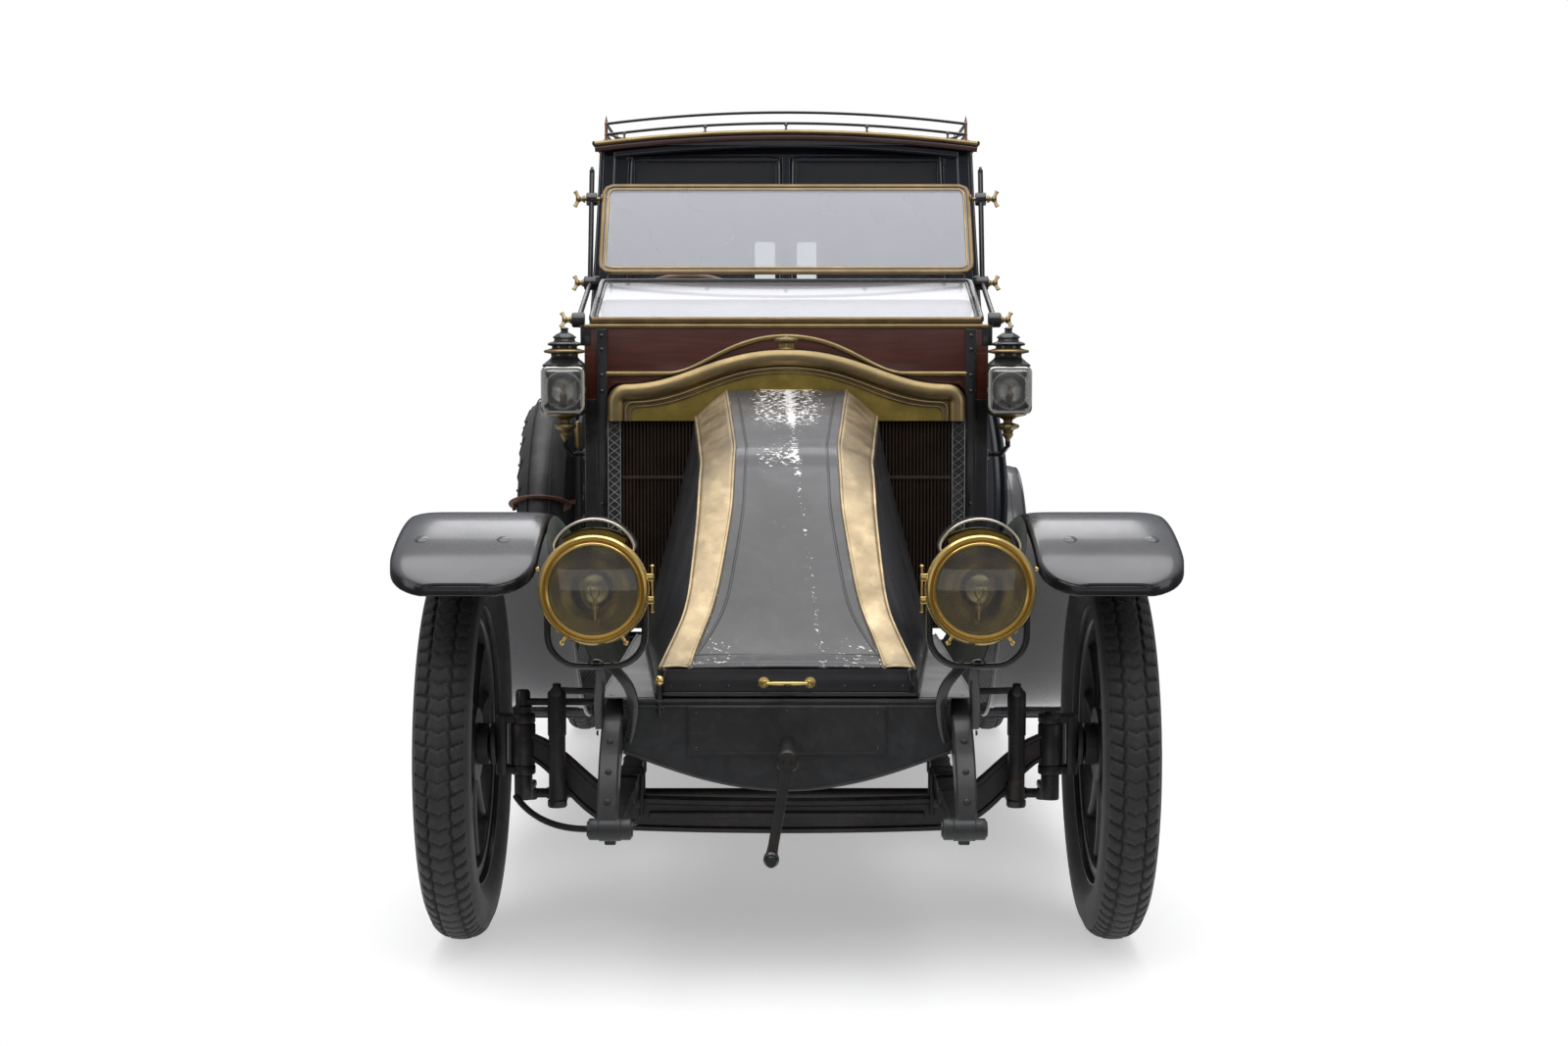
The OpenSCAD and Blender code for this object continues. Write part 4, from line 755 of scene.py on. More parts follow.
@dataclass
class Workshop:
    """Places finished shapes on the car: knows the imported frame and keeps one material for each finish."""

    frame: dict
    front: float = 0.0
    stock: dict = field(default_factory=dict)
    made: list = field(default_factory=list)

    def __post_init__(self) -> None:
        """Reads the front axle's place from its wheel joint."""
        spin = next(j for j in self.frame["joints"] if j["name"] == "front_left_spin")
        self.front = spin["pos_m"][1]

    def low(self, node: str) -> Array:
        """Lowest corner of a CAD node in car millimetres."""
        return (np.array(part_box(node)[0]) - [0, self.front, 0]) * 1000

    def high(self, node: str) -> Array:
        """Highest corner of a CAD node in car millimetres."""
        return (np.array(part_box(node)[1]) - [0, self.front, 0]) * 1000

    def material(self, finish: Finish) -> bpy.types.Material:
        """The material of a finish, built once."""
        if finish.name not in self.stock:
            self.stock[finish.name] = finish.build()
        return self.stock[finish.name]

    def place(self, shape: Shape, name: str, body: str, finishes: Sequence[Finish],
            replaces: Iterable[str] = (), sharp: float = 35.0, solid: float = 0.0,
            bevel: float = 0.0) -> bpy.types.Object:
        """Makes a piece: joins its surfaces, points its faces outwards and lets it ride on a body.

        Args:
            shape: the surfaces in car millimetres.
            name: name of the piece.
            body: the body it rides on.
            finishes: one for each finish number.
            replaces: CAD nodes that the piece stands for.
            sharp: angle in degrees past which an edge is drawn sharp.
            solid: sheet thickness given to an open surface, in millimetres.
            bevel: width of an edge bevel, in millimetres.

        Returns:
            The new object.
        """
        points = np.concatenate(shape.points) * 0.001
        points[:, 1] += self.front
        mesh = bpy.data.meshes.new(name)
        mesh.from_pydata(points.tolist(), [], shape.faces)
        mesh.attributes.new("mark", "FLOAT", "POINT").data.foreach_set("value",
            np.concatenate(shape.marks).astype(np.float32))
        mesh.polygons.foreach_set("material_index", np.array(shape.kinds, np.int32))
        work = bmesh.new()
        work.from_mesh(mesh)
        bmesh.ops.remove_doubles(work, verts=work.verts, dist=2e-6)
        bmesh.ops.recalc_face_normals(work, faces=work.faces)
        work.to_mesh(mesh)
        work.free()
        mesh.polygons.foreach_set("use_smooth", np.ones(len(mesh.polygons), bool))
        mesh.set_sharp_from_angle(angle=math.radians(sharp))
        for finish in finishes:
            mesh.materials.append(self.material(finish))
        piece = bpy.data.objects.new(name, mesh)
        bpy.context.scene.collection.objects.link(piece)
        if solid:
            m = piece.modifiers.new("sheet", "SOLIDIFY")
            m.thickness, m.offset, m.use_even_offset = solid * 0.001, 0.0, True
        if bevel:
            m = piece.modifiers.new("edges", "BEVEL")
            m.width, m.segments, m.limit_method = bevel * 0.001, 2, "ANGLE"
        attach(piece, body)
        replaces = tuple(replaces)
        if replaces:
            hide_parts(*replaces)
        self.made.append(name)
        LOG.info("%s: %d faces on %s", name, len(mesh.polygons), body)
        return piece


@dataclass
class RoadWheel:
    """Wooden wheel with its steel rim, hub and treaded tyre, drawn about its own axle, outside towards +x."""

    shop: Workshop
    name: str
    side: Side
    y: float
    driven: bool = False
    x: float = 700.0
    z: float = 420.0
    spokes: int = 12
    blocks: int = 78

    def set_out(self, shape: Shape) -> Shape:
        """Moves a shape from the wheel's own axes to the car, mirrored on the right."""
        return shape.moved(np.diag([self.side.value, 1.0, 1.0]), (self.side.value * self.x, self.y, self.z))

    def woodwork(self) -> Shape:
        """Felloe ring, steel rim, tapered oval spokes, hub flanges with bolts, and the hub cap."""
        s = Shape()
        felloe = rounded(32, 56, 7) + [284, 0]
        s.turn(np.vstack([felloe, felloe[:1]]), (0, 0, 0), Axis.X, 96)
        rim = arr((299, -27), (299, -31), (302, -38), (306, -39), (306, 39), (302, 38), (299, 31), (299, 27),
            (299, -27))
        s.turn(rim, (0, 0, 0), Axis.X, 96, kind=1)
        t = np.linspace(0, 2 * np.pi, 14, endpoint=False)
        rows = arr((52, 16, 23), (78, 15.6, 22), (110, 13.5, 19), (160, 12.3, 17), (215, 12.6, 16.5),
            (252, 14.5, 18), (272, 16, 20))
        spoke = np.stack([rows[:, 2:3] * np.cos(t), rows[:, 1:2] * np.sin(t), np.repeat(rows[:, :1], 14, 1)],
            -1)
        for k in range(self.spokes):
            s.grid(spoke @ rotation(Axis.X, (k + 0.5) * 360 / self.spokes).T, wrap_v=True, caps=True)
        hub = arr((17, -52), (44, -52), (46, -30), (78, -28), (81, -24), (81, -20), (60, -18), (60, 18),
            (81, 20), (81, 24), (78, 28), (54, 30), (48, 36), (44, 58), (42, 74), (17, 76))
        s.turn(hub, (0, 0, 0), Axis.X, 48, kind=1)
        s.turn(arr((17, 74), (41, 74), (43, 78), (43, 90), (40, 93)), (0, 0, 0), Axis.X, 48, kind=2, lobes=6,
            depth=0.12)
        s.turn(arr((40, 92), (36, 97), (35, 106), (31, 112), (20, 114.5), (0.01, 115)), (0, 0, 0), Axis.X, 36,
            kind=2)
        a = np.radians(np.arange(self.spokes) * 360 / self.spokes)
        s.beads(np.stack([np.full_like(a, 28), 68 * np.cos(a), 68 * np.sin(a)], 1), 6, Axis.X, kind=1,
            lobes=6, n=12)
        b = a + a[1] / 2
        s.beads(np.stack([np.full_like(a, 28), 284 * np.cos(b), 284 * np.sin(b)], 1), 5, Axis.X, kind=1,
            flat=0.4)
        if self.driven:
            s.turn(arr((70, -30), (158, -34), (165, -38), (165, -56), (159, -56), (157, -42), (70, -38)),
                (0, 0, 0), Axis.X, 64, kind=1)
        return s

    def rubber(self) -> Shape:
        """Tyre: a rounded section carried round, its tread cut by zigzag grooves, slots and sipes.

        radius = 360 + 60 |cos a|^0.8, across = 60 |sin a|^0.9; inside 50 degrees of the crown the depth is
        8 mm less wherever a groove passes.
        """
        n = self.blocks * 8
        th = np.linspace(0, 2 * np.pi, n, endpoint=False)[:, None]
        a = np.radians(np.concatenate([np.linspace(-122, -56, 9), np.linspace(-50, 50, 31),
            np.linspace(56, 122, 9)]))[None]
        v = a / np.radians(50)
        turns = th * self.blocks / (2 * np.pi)
        ring_radius, half_width, groove, bead_half, bead_radius = 360, 60, 8.0, 38.0, 306.5
        tread_edge = 1.02
        zig = 0.07 * np.abs((turns % 1) * 2 - 1)
        ring = np.exp(-(((np.abs(v) - 0.36 - zig) / 0.055) ** 4))
        slot = np.exp(-(((((turns + 0.5 * np.abs(v)) % 1) - 0.5) / 0.13) ** 4)) * (np.abs(v) > 0.42)
        sipe = 0.5 * np.exp(-(((((turns + 0.9 * np.abs(v)) % 1) - 0.5) / 0.09) ** 4)) * (np.abs(v) < 0.3)
        tread = (np.abs(v) <= tread_edge).astype(float)
        cut = np.maximum(np.maximum(ring, slot), sipe) * tread
        lines = (np.exp(-(((np.abs(np.degrees(a)) - 74) / 2.5) ** 2))
            + np.exp(-(((np.abs(np.degrees(a)) - 98) / 3.0) ** 2)))
        r = ring_radius + half_width * np.sign(np.cos(a)) * np.abs(np.cos(a)) ** 0.8 - groove * cut + 0 * th
        x = (half_width * np.sign(np.sin(a)) * np.abs(np.sin(a)) ** 0.9
            - np.sign(a) * (2 - 1.6 * lines) * (np.abs(v) > tread_edge)) + 0 * th
        p = np.stack([x, r * np.cos(th), r * np.sin(th)], -1)
        foot = [np.stack([np.full(n, sx * bead_half), bead_radius * np.cos(th[:, 0]),
            bead_radius * np.sin(th[:, 0])], -1)[:, None] for sx in (-1, 1)]
        s = Shape()
        return s.grid(np.concatenate([foot[0], p, foot[1]], 1), wrap_u=True, wrap_v=True)

    def build(self) -> None:
        """Places the wheel and its tyre on their spinning body."""
        body = f"{self.name}_wheel"
        self.shop.place(self.set_out(self.woodwork()), f"{self.name}_spoked_wheel", body,
            [WHEELS, CHASSIS, RUSTY], [f"{self.name}_wheel"])
        self.shop.place(self.set_out(self.rubber()), f"{self.name}_treaded_tyre", body, [TYRE],
            [f"{self.name}_tyre"], sharp=50)


@dataclass
class Fenders:
    """Front and rear fenders, their valances and the running boards, drawn on the left and mirrored."""

    shop: Workshop
    inner: float = 505.0
    outer: float = 800.0
    tip: float = -446.0
    nose: float = 118.0
    rear_axle: float = 3050.0
    rear_inner: float = 600.0
    radius: float = 500.0

    def line(self, n: int = 110) -> Array:
        """Side line of the front fender as (y, z): over the wheel, then down to the running board."""
        p = chain(bezier(arr((-443, 806), (-335, 880), (-200, 925), (-40, 925)), 60),
            bezier(arr((-40, 925), (390, 925), (560, 372), (960, 372)), 70), arr((960, 372), (1010, 372)))
        q = resample(p, 400)
        return q[(np.linspace(0, 1, n) ** 1.5 * 399).astype(int)]

    def half(self, y: Array) -> Array:
        """Half width along y: a superellipse at the nose, then level."""
        s = np.clip((y - self.tip) / self.nose, 0, 1)
        return (self.outer - self.inner) / 2 * (1 - (1 - s) ** 3.0) ** (1 / 3.0)

    def skin(self, inset: float, lift: float, cols: Array) -> Array:
        """Points of the front fender: x = middle + c (half width - inset), raised by lift along the line's
        normal."""
        q = self.line()
        t = unit(np.gradient(q, axis=0))
        q = q + np.stack([-t[:, 1], t[:, 0]], 1) * lift
        h = np.maximum(self.half(self.line()[:, 0]) - inset, 0.0)
        x = (self.inner + self.outer) / 2 + h[:, None] * cols[None]
        z = q[:, 1:] - 7 * np.abs(cols[None]) ** 8
        return np.stack([x, np.repeat(q[:, :1], len(cols), 1), z], -1)

    def rim_path(self, inset: float, lift: float) -> Array:
        """Line along the fender's edge: forwards on the inside, round the nose, back on the outside."""
        p = self.skin(inset, lift, np.array([-1.0, 1.0]))
        keep = p[:, 1, 0] - p[:, 0, 0] > 14
        if inset:
            keep &= p[:, 0, 1] > self.tip + inset
        return resample(np.concatenate([p[keep][::-1, 0], p[keep][:, 1]]), 260)

    def front(self) -> None:
        """Front fenders with wired edge, raised inner line and four flat bolts each, and the inner
        valances."""
        s = Shape()
        s.grid(self.skin(0, 0, np.linspace(-1, 1, 25)))
        self.shop.place(s.mirror(), "front_fender_sheets", "chassis", [FENDER], ["front_fenders"], solid=5,
            sharp=60)
        s = Shape()
        s.sweep(self.rim_path(3, 0), rounded(8, 22, 3.9) - [0, 8], kind=1)
        s.sweep(self.rim_path(20, 2.4), np.array([[-5, -1], [-3.5, 2.2], [0, 3.6], [3.5, 2.2], [5, -1]]))
        q = self.line()
        z = np.interp(-290, q[:, 0], q[:, 1])
        lean = math.degrees(math.atan2(np.interp(-280, q[:, 0], q[:, 1]) - z, 10))
        for x in (579, 747):
            bolt = Shape().turn(arr((15, -2), (15, 2.5), (11, 5.0), (0.01, 5.6)), (0, 0, 0), Axis.Z, 24)
            s.merged(bolt.moved(rotation(Axis.X, lean), (x, -290, z)))
        self.shop.place(s.mirror(), "front_fender_beads", "chassis", [FENDER, BLACK])
        q = resample(chain(self.line()[self.line()[:, 0] > -338]), 90)
        q = q[(q[:, 1] > 600) & (q[:, 0] < 620)]
        lean = (505 - 365) / (925 - 560)
        drop = np.linspace(0, 1, 12)[None]
        z = (q[:, 1:] - 6) * (1 - drop) + 560 * drop
        wave = 1.5 * np.sin(drop * 9 + q[:, :1] / 60)
        p = np.stack([366 + (z - 560) * lean + wave, np.repeat(q[:, :1], 12, 1), z], -1)
        s = Shape().grid(p)
        self.shop.place(s.mirror(), "front_valances", "chassis", [UNDER], solid=3, sharp=60)

    def rear(self) -> None:
        """Rear fenders: a sheet carried round the wheel, turned down at the outside, with wired edges and
        an inner plate."""
        a = np.radians(np.linspace(184, -8, 70))
        c = np.linspace(0, 1, 15)
        r = self.radius + 1 - 9 * np.clip((c - 0.75) / 0.25, 0, 1)[None] ** 2 + 0 * a[:, None]
        x = self.rear_inner + (self.outer - self.rear_inner) * c[None] + 0 * a[:, None]
        p = np.stack([x, self.rear_axle + r * np.cos(a)[:, None], 420 + r * np.sin(a)[:, None]], -1)
        s = Shape().grid(p)
        self.shop.place(s.mirror(), "rear_fender_sheets", "chassis", [FENDER], ["rear_fenders"], solid=4,
            sharp=60)
        s = Shape()
        s.sweep(resample(np.concatenate([p[:1, 0], p[0], p[:, -1], p[-1, ::-1]]), 220), disc(4, 8))
        s.sweep(p[:, 11] + [0, 0, 2.5], np.array([[-3, -1], [-2, 1.2], [0, 2], [2, 1.2], [3, -1]]),
            up=(1, 0, 0))
        keep = p[:, 0][p[:, 0, 2] > 545]
        ring = np.stack([keep, np.stack([keep[:, 0], keep[:, 1], np.full(len(keep), 542.0)], 1)], 1)
        s.grid(ring + [-1.5, 0, 0])
        self.shop.place(s.mirror(), "rear_fender_beads", "chassis", [FENDER], sharp=60)

    def boards(self) -> None:
        """Running boards: ribbed mat, metal edging with bolts, side valance and iron brackets."""
        lo, hi = self.shop.low("running_boards"), self.shop.high("running_boards")
        y0, y1, top = lo[1], hi[1], 369.0
        s = Shape()
        s.block((440, y0, top - 26), (744, y1, top - 3), 3)
        ribs = np.linspace(462, 722, 27 * 6 + 1)
        z = top - 2.6 + 2.2 * np.abs(np.sin(np.linspace(0, 27 * np.pi, len(ribs)))) ** 0.6
        rows = np.linspace(y0 + 46, y1 - 6, 3)
        s.grid(np.stack([np.repeat(ribs[None], 3, 0), np.repeat(rows[:, None], len(ribs), 1),
            np.repeat(z[None], 3, 0)], -1), kind=1)
        section = arr((0, 0), (22, 0), (22, 1.6), (1.8, 1.6), (1.8, -25), (0, -25))
        s.sweep(arr((745.5, y0, top - 1.6), (745.5, y1, top - 1.6)), section, kind=2)
        s.block((440, y0 + 34, top - 3), (744, y0 + 48, top - 0.6), 1, kind=2)
        s.beads(np.stack([np.full(12, 745.2), np.linspace(y0 + 60, y1 - 40, 12), np.full(12, top - 14)], 1),
            4, Axis.X, kind=2, flat=0.5)
        self.shop.place(s.mirror(), "running_board_mats", "chassis", [FENDER, MAT, OLD_BRASS],
            ["running_boards"], sharp=30)
        s = Shape()
        yy = np.linspace(y0, y1, 60)
        w = np.linspace(0, 1, 8)
        x = 367 + w * 76 + 6 * np.sin(np.pi * w)
        z = 558 - w * (558 - (top - 6))
        s.grid(np.stack([np.repeat(x[None], 60, 0), np.repeat(yy[:, None], 8, 1), np.repeat(z[None], 60, 0)],
            -1))
        self.shop.place(s.mirror(), "board_valances", "chassis", [FENDER], solid=3)
        s = Shape()
        for y in (y0 + 105, y1 - 160):
            s.block((340, y, 470), (364, y + 40, 480), 2)
            s.sweep(arr((350, y + 20, 476), (372, y + 20, 470), (438, y + 20, 340), (470, y + 20, 337),
                (700, y + 20, 337)), rounded(36, 8, 2), up=(0, 1, 0))
        self.shop.place(s.mirror(), "board_brackets", "chassis", [CHASSIS])

    def build(self) -> None:
        """Places every fender piece."""
        self.front()
        self.rear()
        self.boards()


@dataclass
class Bonnet:
    """Coal-scuttle bonnet: sloping face, brass chamfers, flaring sides, front lip with its handle, and the
    rear hinge."""

    shop: Workshop
    front: float = -455.0
    knee: float = 160.0
    rear: float = 695.0
    foot: float = 585.0
    lip: float = 642.0
    hinge_z: float = 1186.0
    front_half: float = 257.0
    rear_half: float = 355.0

    def face(self, n: int = 90) -> Array:
        """Side line of the face as (y, z): a hollow flare, a long slope, a soft knee, then up to the
        hinge."""
        p = chain(bezier(arr((self.front, self.lip), (-290, 664), (-90, 1010), (self.knee, 1062)), 60),
            bezier(arr((self.knee, 1062), (330, 1098), (520, 1160), (self.rear, self.hinge_z)), 40))
        return resample(p, n)

    def widths(self, y: Array) -> tuple[Array, Array, Array, Array]:
        """Half widths of the face, of the chamfer and of the foot, and the chamfer's drop, along y."""
        t = np.clip((y - self.front) / (self.knee - self.front), 0, 1)
        u = np.clip((y - self.knee) / (self.rear - self.knee), 0, 1)
        set_out = arr((-455, 195, 255), (-365, 182, 236), (-325, 166, 219), (-262, 147, 203),
            (-160, 130, 195), (-70, 118, 190), (160, 115, 190), (695, 149, 224))
        a, b = (np.convolve(np.pad(np.interp(y, set_out[:, 0], set_out[:, k]), 3, "edge"), np.ones(7) / 7,
            "valid") for k in (1, 2))
        c = self.front_half + 1 + (self.rear_half - self.front_half - 1) * (y - self.front) / (self.rear - self.front)
        drop = np.where(y < self.knee, 1.5 + 38.5 * t**1.6, 40 + 24 * u)
        return a, b, c, drop

    def build(self) -> None:
        """Places the painted sheet, the brass strips, the beads, the lip, the handle, the latches and the
        hinge."""
        q = self.face()
        y, z = q[:, 0], q[:, 1]
        a, b, c, drop = self.widths(y)
        s = Shape()
        cols = np.linspace(-1, 1, 33)
        x = a[:, None] * cols
        crown = 2.2 * (1 - cols**2)
        chips = (0.6 * np.exp(-(((x - 0) / 92) ** 6)) * smoothstep(1085, 1120, z)[:, None]
                 + 0.55 * np.exp(-(((x + 22) / 56) ** 4)) * np.exp(-(((z - 1040) / 32) ** 2))[:, None]
                 + 0.45 * np.exp(-(((x - 50 - (z[:, None] - 800) * -0.12) / 9) ** 2))
                 + 0.42 * smoothstep(706, 664, z)[:, None] * np.exp(-(((np.abs(x) - 140) / 60) ** 2))
                 + 0.5 * np.exp(-(((np.abs(x) - a[:, None]) / 4.5) ** 2)))
        s.grid(np.stack([x, np.repeat(y[:, None], 33, 1), z[:, None] + crown], -1), mark=chips)
        w = np.linspace(0, 1, 20)
        for side in (-1, 1):
            bulge = 5 * np.sin(np.pi * w)
            sx = b[:, None] + (c - b)[:, None] * w**1.25
            sz = (z - drop)[:, None] + (self.foot - z + drop)[:, None] * w
            wear = 0.25 * np.exp(-((w - 0.02) / 0.05) ** 2)[None] + 0 * y[:, None]
            s.grid(np.stack([side * (sx + bulge * (y[:, None] > -450)), np.repeat(y[:, None], 20, 1), sz],
                -1), mark=wear)
        self.shop.place(s, "bonnet_sheet", "bonnet", [HOOD], ["bonnet"], sharp=40, solid=3)
        s = Shape()
        v = np.linspace(0, 1, 9)
        for side in (-1, 1):
            px = a[:, None] + (b - a)[:, None] * v
            pz = z[:, None] - drop[:, None] * v + 1.2 + 2.2 * np.sin(np.pi * v)
            s.grid(np.stack([side * px, np.repeat(y[:, None], 9, 1), pz], -1))
            for k, lift in ((a, 1.5), (b, 1.5)):
                zz = z + lift if k is a else z - drop + lift
                s.sweep(np.stack([side * k, y, zz], -1), disc(2.4, 6))
        self.shop.place(s, "bonnet_brass_strips", "bonnet", [STRIP_BRASS], sharp=40, solid=2)
        s = Shape()
        rib = arr((-4, -1), (-2.5, 1.6), (0, 2.6), (2.5, 1.6), (4, -1))
        keep = (z > self.lip + 13)
        inset = np.where(y < -250, a - 26 + 40 * np.clip((-250 - y) / 200, 0, 1) ** 2, a - 26)
        ends = {}
        for side in (-1, 1):
            line = np.stack([side * inset, y, z + 1.0 + 2.2 * (1 - (inset / a) ** 2)], -1)[keep]
            ends[side] = line[0]
            s.sweep(line, rib)
        s.sweep(np.linspace(ends[-1], ends[1], 12), rib)
        s.sweep(np.stack([np.linspace(-230, 230, 20), np.full(20, self.front + 10),
            np.full(20, self.lip + 3.0)], -1), rib)
        for side in (-1, 1):
            s.sweep(np.stack([side * (c + 0.5), y, np.full(len(y), self.foot + 5)], -1), disc(3.6, 8))
        self.shop.place(s, "bonnet_beads", "bonnet", [HOOD])
        s = Shape()
        half = self.front_half
        s.block((-half, self.front, self.foot), (half, self.front + 6, self.lip - 2), 2, Axis.X)
        s.sweep(arr((-half + 2, self.front - 1, self.foot + 6), (half - 2, self.front - 1, self.foot + 6)),
            rounded(5, 9, 1.5), up=(0, 1, 0))
        s.beads(np.stack([np.linspace(-230, 230, 9), np.full(9, self.front), np.full(9, self.foot + 20)], 1),
            3.4, Axis.Y, -1)
        t = np.linspace(-1, 1, 25)
        bar = np.stack([40 * t, self.front - 20 + 4 * t**2, 613 + 0 * t], -1)
        s.sweep(bar, disc(1, 12) * [4.6, 4], up=(0, 0, 1), kind=1, sizes=1 - 0.35 * np.abs(t) ** 3)
        for side in (-1, 1):
            s.turn(arr((6, 0), (6, 2), (4, 4), (3.4, 14), (5, 17), (4, 20), (0.01, 21)),
                (side * 44, self.front + 0.5, 613), Axis.Y, 16, kind=1, sign=-1)
            s.turn(arr((11, 0), (11, 3), (0.01, 4)), (side * 46, self.front + 0.5, 613), Axis.Y, 20, kind=1,
                sign=-1)
            s.sweep(arr((side * 244, self.front - 3, 634), (side * 244, self.front - 7, 618),
                (side * 252, self.front - 7, 606), (side * 246, self.front - 8, 596)), disc(3.5, 8), kind=0)
            s.beads(arr((side * 244, self.front, 634)), 8, Axis.Y, -1, kind=0)
        self.shop.place(s, "bonnet_lip", "bonnet", [LIP, LAMP_BRASS])
        s = Shape()
        for k in range(11):
            x0 = -65 + k * 130 / 11
            if k % 2 == 0:
                s.turn(arr((0.01, 0), (5, 0), (5, 11.3), (0.01, 11.3)), (x0 + 0.3, self.rear, self.hinge_z),
                    Axis.X, 14)
        s.block((-64, self.rear - 26, self.hinge_z - 5), (64, self.rear - 4, self.hinge_z - 1), 1)
        self.shop.place(s, "bonnet_hinge", "bonnet", [OLD_BRASS])


@dataclass
class Radiator:
    """Dashboard radiator: finned tubes between mesh strips, under a brass header with an arched rolled
    edge."""

    shop: Workshop
    half: float = 445.0
    front: float = 709.0
    core_front: float = 740.0
    core_back: float = 830.0
    foot: float = 1112.0
    shoulder: float = 1205.0
    top: float = 1290.0

    def arch(self, drop: float, half: float) -> Array:
        """Outline (x, z) of the header's edge from right to left: level shoulder, rise, crest, and down
        again."""
        s, t = self.shoulder - drop, self.top - drop
        right = bezier(arr((half, s), (half * 0.62, s), (half * 0.45, t), (0, t)), 40)
        return chain(right, right[::-1] * [-1, 1])

    def rim(self, drop: float, half: float, corner: float, foot: float) -> Array:
        """The arch with rounded corners carried down both sides to a foot."""
        a = self.arch(drop, half - corner * 0.9)
        q = arc((half - corner, a[0, 1] - corner), corner, 0, 86, 8)
        right = np.vstack([[half, foot], q])
        return resample(np.concatenate([right, a[1:-1], right[::-1] * [-1, 1]]), 160)

    def core(self) -> None:
        """Front and back faces rippled by rounded tubes, cross bars and side plates of wire mesh."""
        s = Shape()
        n = 94
        x = np.linspace(-409, 409, n * 6 + 1)
        ripple = np.abs(np.sin(np.linspace(0, n * np.pi, len(x)))) ** 0.6
        fins = np.linspace(612, 1110, 8)
        for y, sign in ((self.core_front + 11, -1), (self.core_back - 11, 1)):
            depth = sign * 9 * ripple[None] + 0 * fins[:, None]
            s.grid(np.stack([np.repeat(x[None], 8, 0), y + depth, np.repeat(fins[:, None], len(x), 1)], -1))
        s.block((-409, self.core_front + 12, 611), (409, self.core_back - 12, 1111), 1)
        s.block((-409, self.core_front + 1, 967), (409, self.core_front + 5, 975), 1, Axis.X)
        for z in (612, 860):
            s.block((-409, self.core_back - 5, z), (409, self.core_back, z + 10), 1, Axis.X)
        for side in (-1, 1):
            s.block((side * 411, self.core_front + 3, 611), (side * 444.5, self.core_back - 3, 1111), 2,
                kind=2)
            for x0 in (411, 441.5):
                s.block((side * x0, self.core_front, 611), (side * (x0 + 3), self.core_front + 6, 1111), 1,
                    kind=1)
            for k in range(24):
                z0 = 615 + k * 20.6
                for d in (-1, 1):
                    s.sweep(arr((side * 414, self.core_front + 1.6, z0 + (10.3 - d * 10.3)),
                        (side * 441, self.core_front + 1.6, z0 + (10.3 + d * 10.3))), disc(1.1, 5),
                        up=(0, 1, 0), kind=1)
            s.block((side * 330, self.core_front + 8, 580.2), (side * 360, self.core_front + 70, 612), 3,
                kind=0)
        self.shop.place(s, "radiator_core", "chassis", [CORE, MESH, BLACK], ["radiator"])

    def header(self) -> None:
        """Brass header: top shell, fat rolled edge, two fine mouldings, recessed panel, cap, and a bead on
        the dashboard."""
        s = Shape()
        path = self.rim(0, self.half, 34, self.foot)
        p = np.stack([np.stack([path[:, 0], np.full(160, y), path[:, 1]], -1) for y in (self.front + 14,
            self.front + 50, self.core_back)])
        s.grid(p, kind=0)
        back = self.rim(1, self.half - 1, 33, self.foot)
        s.plate(back, self.core_back - 3, self.core_back, Axis.Y, 0.5)
        mid = self.rim(22, self.half - 22, 26, self.foot)
        a = np.radians(np.linspace(0, 360, 29)[:-1])
        roll = np.stack([21 * np.cos(a), 17 * np.sin(a)], 1)
        y0 = self.front + 17
        s.sweep(np.stack([mid[:, 0], np.full(160, y0), mid[:, 1]], -1), roll, up=(0, 1, 0))
        for d, r, y1 in ((47, 3.4, 13), (57, 2.2, 17)):
            q = self.rim(d, self.half - d, max(26 - d * 0.15, 8), self.foot)
            s.sweep(np.stack([q[:, 0], np.full(160, self.front + y1), q[:, 1]], -1), disc(r, 10),
                up=(0, 1, 0))
        step = [self.rim(d, self.half - d, 24, self.foot) for d in (38, 60)]
        s.grid(np.stack([np.stack([q[:, 0], np.full(160, self.front + y1), q[:, 1]], -1) for q,
            y1 in zip(step, (15, 20))]))
        panel = self.rim(46, self.half - 46, 22, self.foot)
        s.plate(panel, self.front + 20, self.front + 23, Axis.Y, 0.5, kind=1)
        s.block((-64, self.front - 7.5, self.hinge_z() - 12), (64, self.front + 22, self.hinge_z() + 3), 1.5,
            Axis.X)
        for k in range(1, 11, 2):
            s.turn(arr((0.01, 0), (5, 0), (5, 11.3), (0.01, 11.3)),
                (-65 + k * 130 / 11 + 0.3, 695, self.hinge_z()), Axis.X, 14)
        c = (0, self.core_front + 20, self.top - 3)
        s.turn(arr((0.01, 0), (21, 0), (22, 3), (19, 7), (19, 17), (22, 20), (29, 22), (30, 25), (29, 28),
            (22, 31), (8, 33), (7, 36), (0.01, 37)), c, Axis.Z, 36)
        s.turn(arr((19.5, 6), (21, 7), (21, 17), (19.5, 18)), c, Axis.Z, 60, lobes=20, depth=0.07)
        self.shop.place(s, "radiator_header_shell", "chassis", [OLD_BRASS, PANEL_BRASS], ["radiator_header"],
            sharp=40)
        s = Shape()
        right = chain(arr((455, 1229), (300, 1229)),
            bezier(arr((300, 1229), (215, 1229), (150, 1323), (0, 1323)), 30))
        over = chain(right, right[::-1] * [-1, 1])
        s.sweep(np.stack([over[:, 0], np.full(len(over), 842.0), over[:, 1]], -1), disc(1, 12) * [6.5, 4.5],
            up=(0, 1, 0))
        self.shop.place(s, "dashboard_arch_bead", "chassis", [OLD_BRASS])

    @staticmethod
    def hinge_z() -> float:
        """Height of the bonnet's hinge line."""
        return 1186.0

    def build(self) -> None:
        """Places the core and the header."""
        self.core()
        self.header()


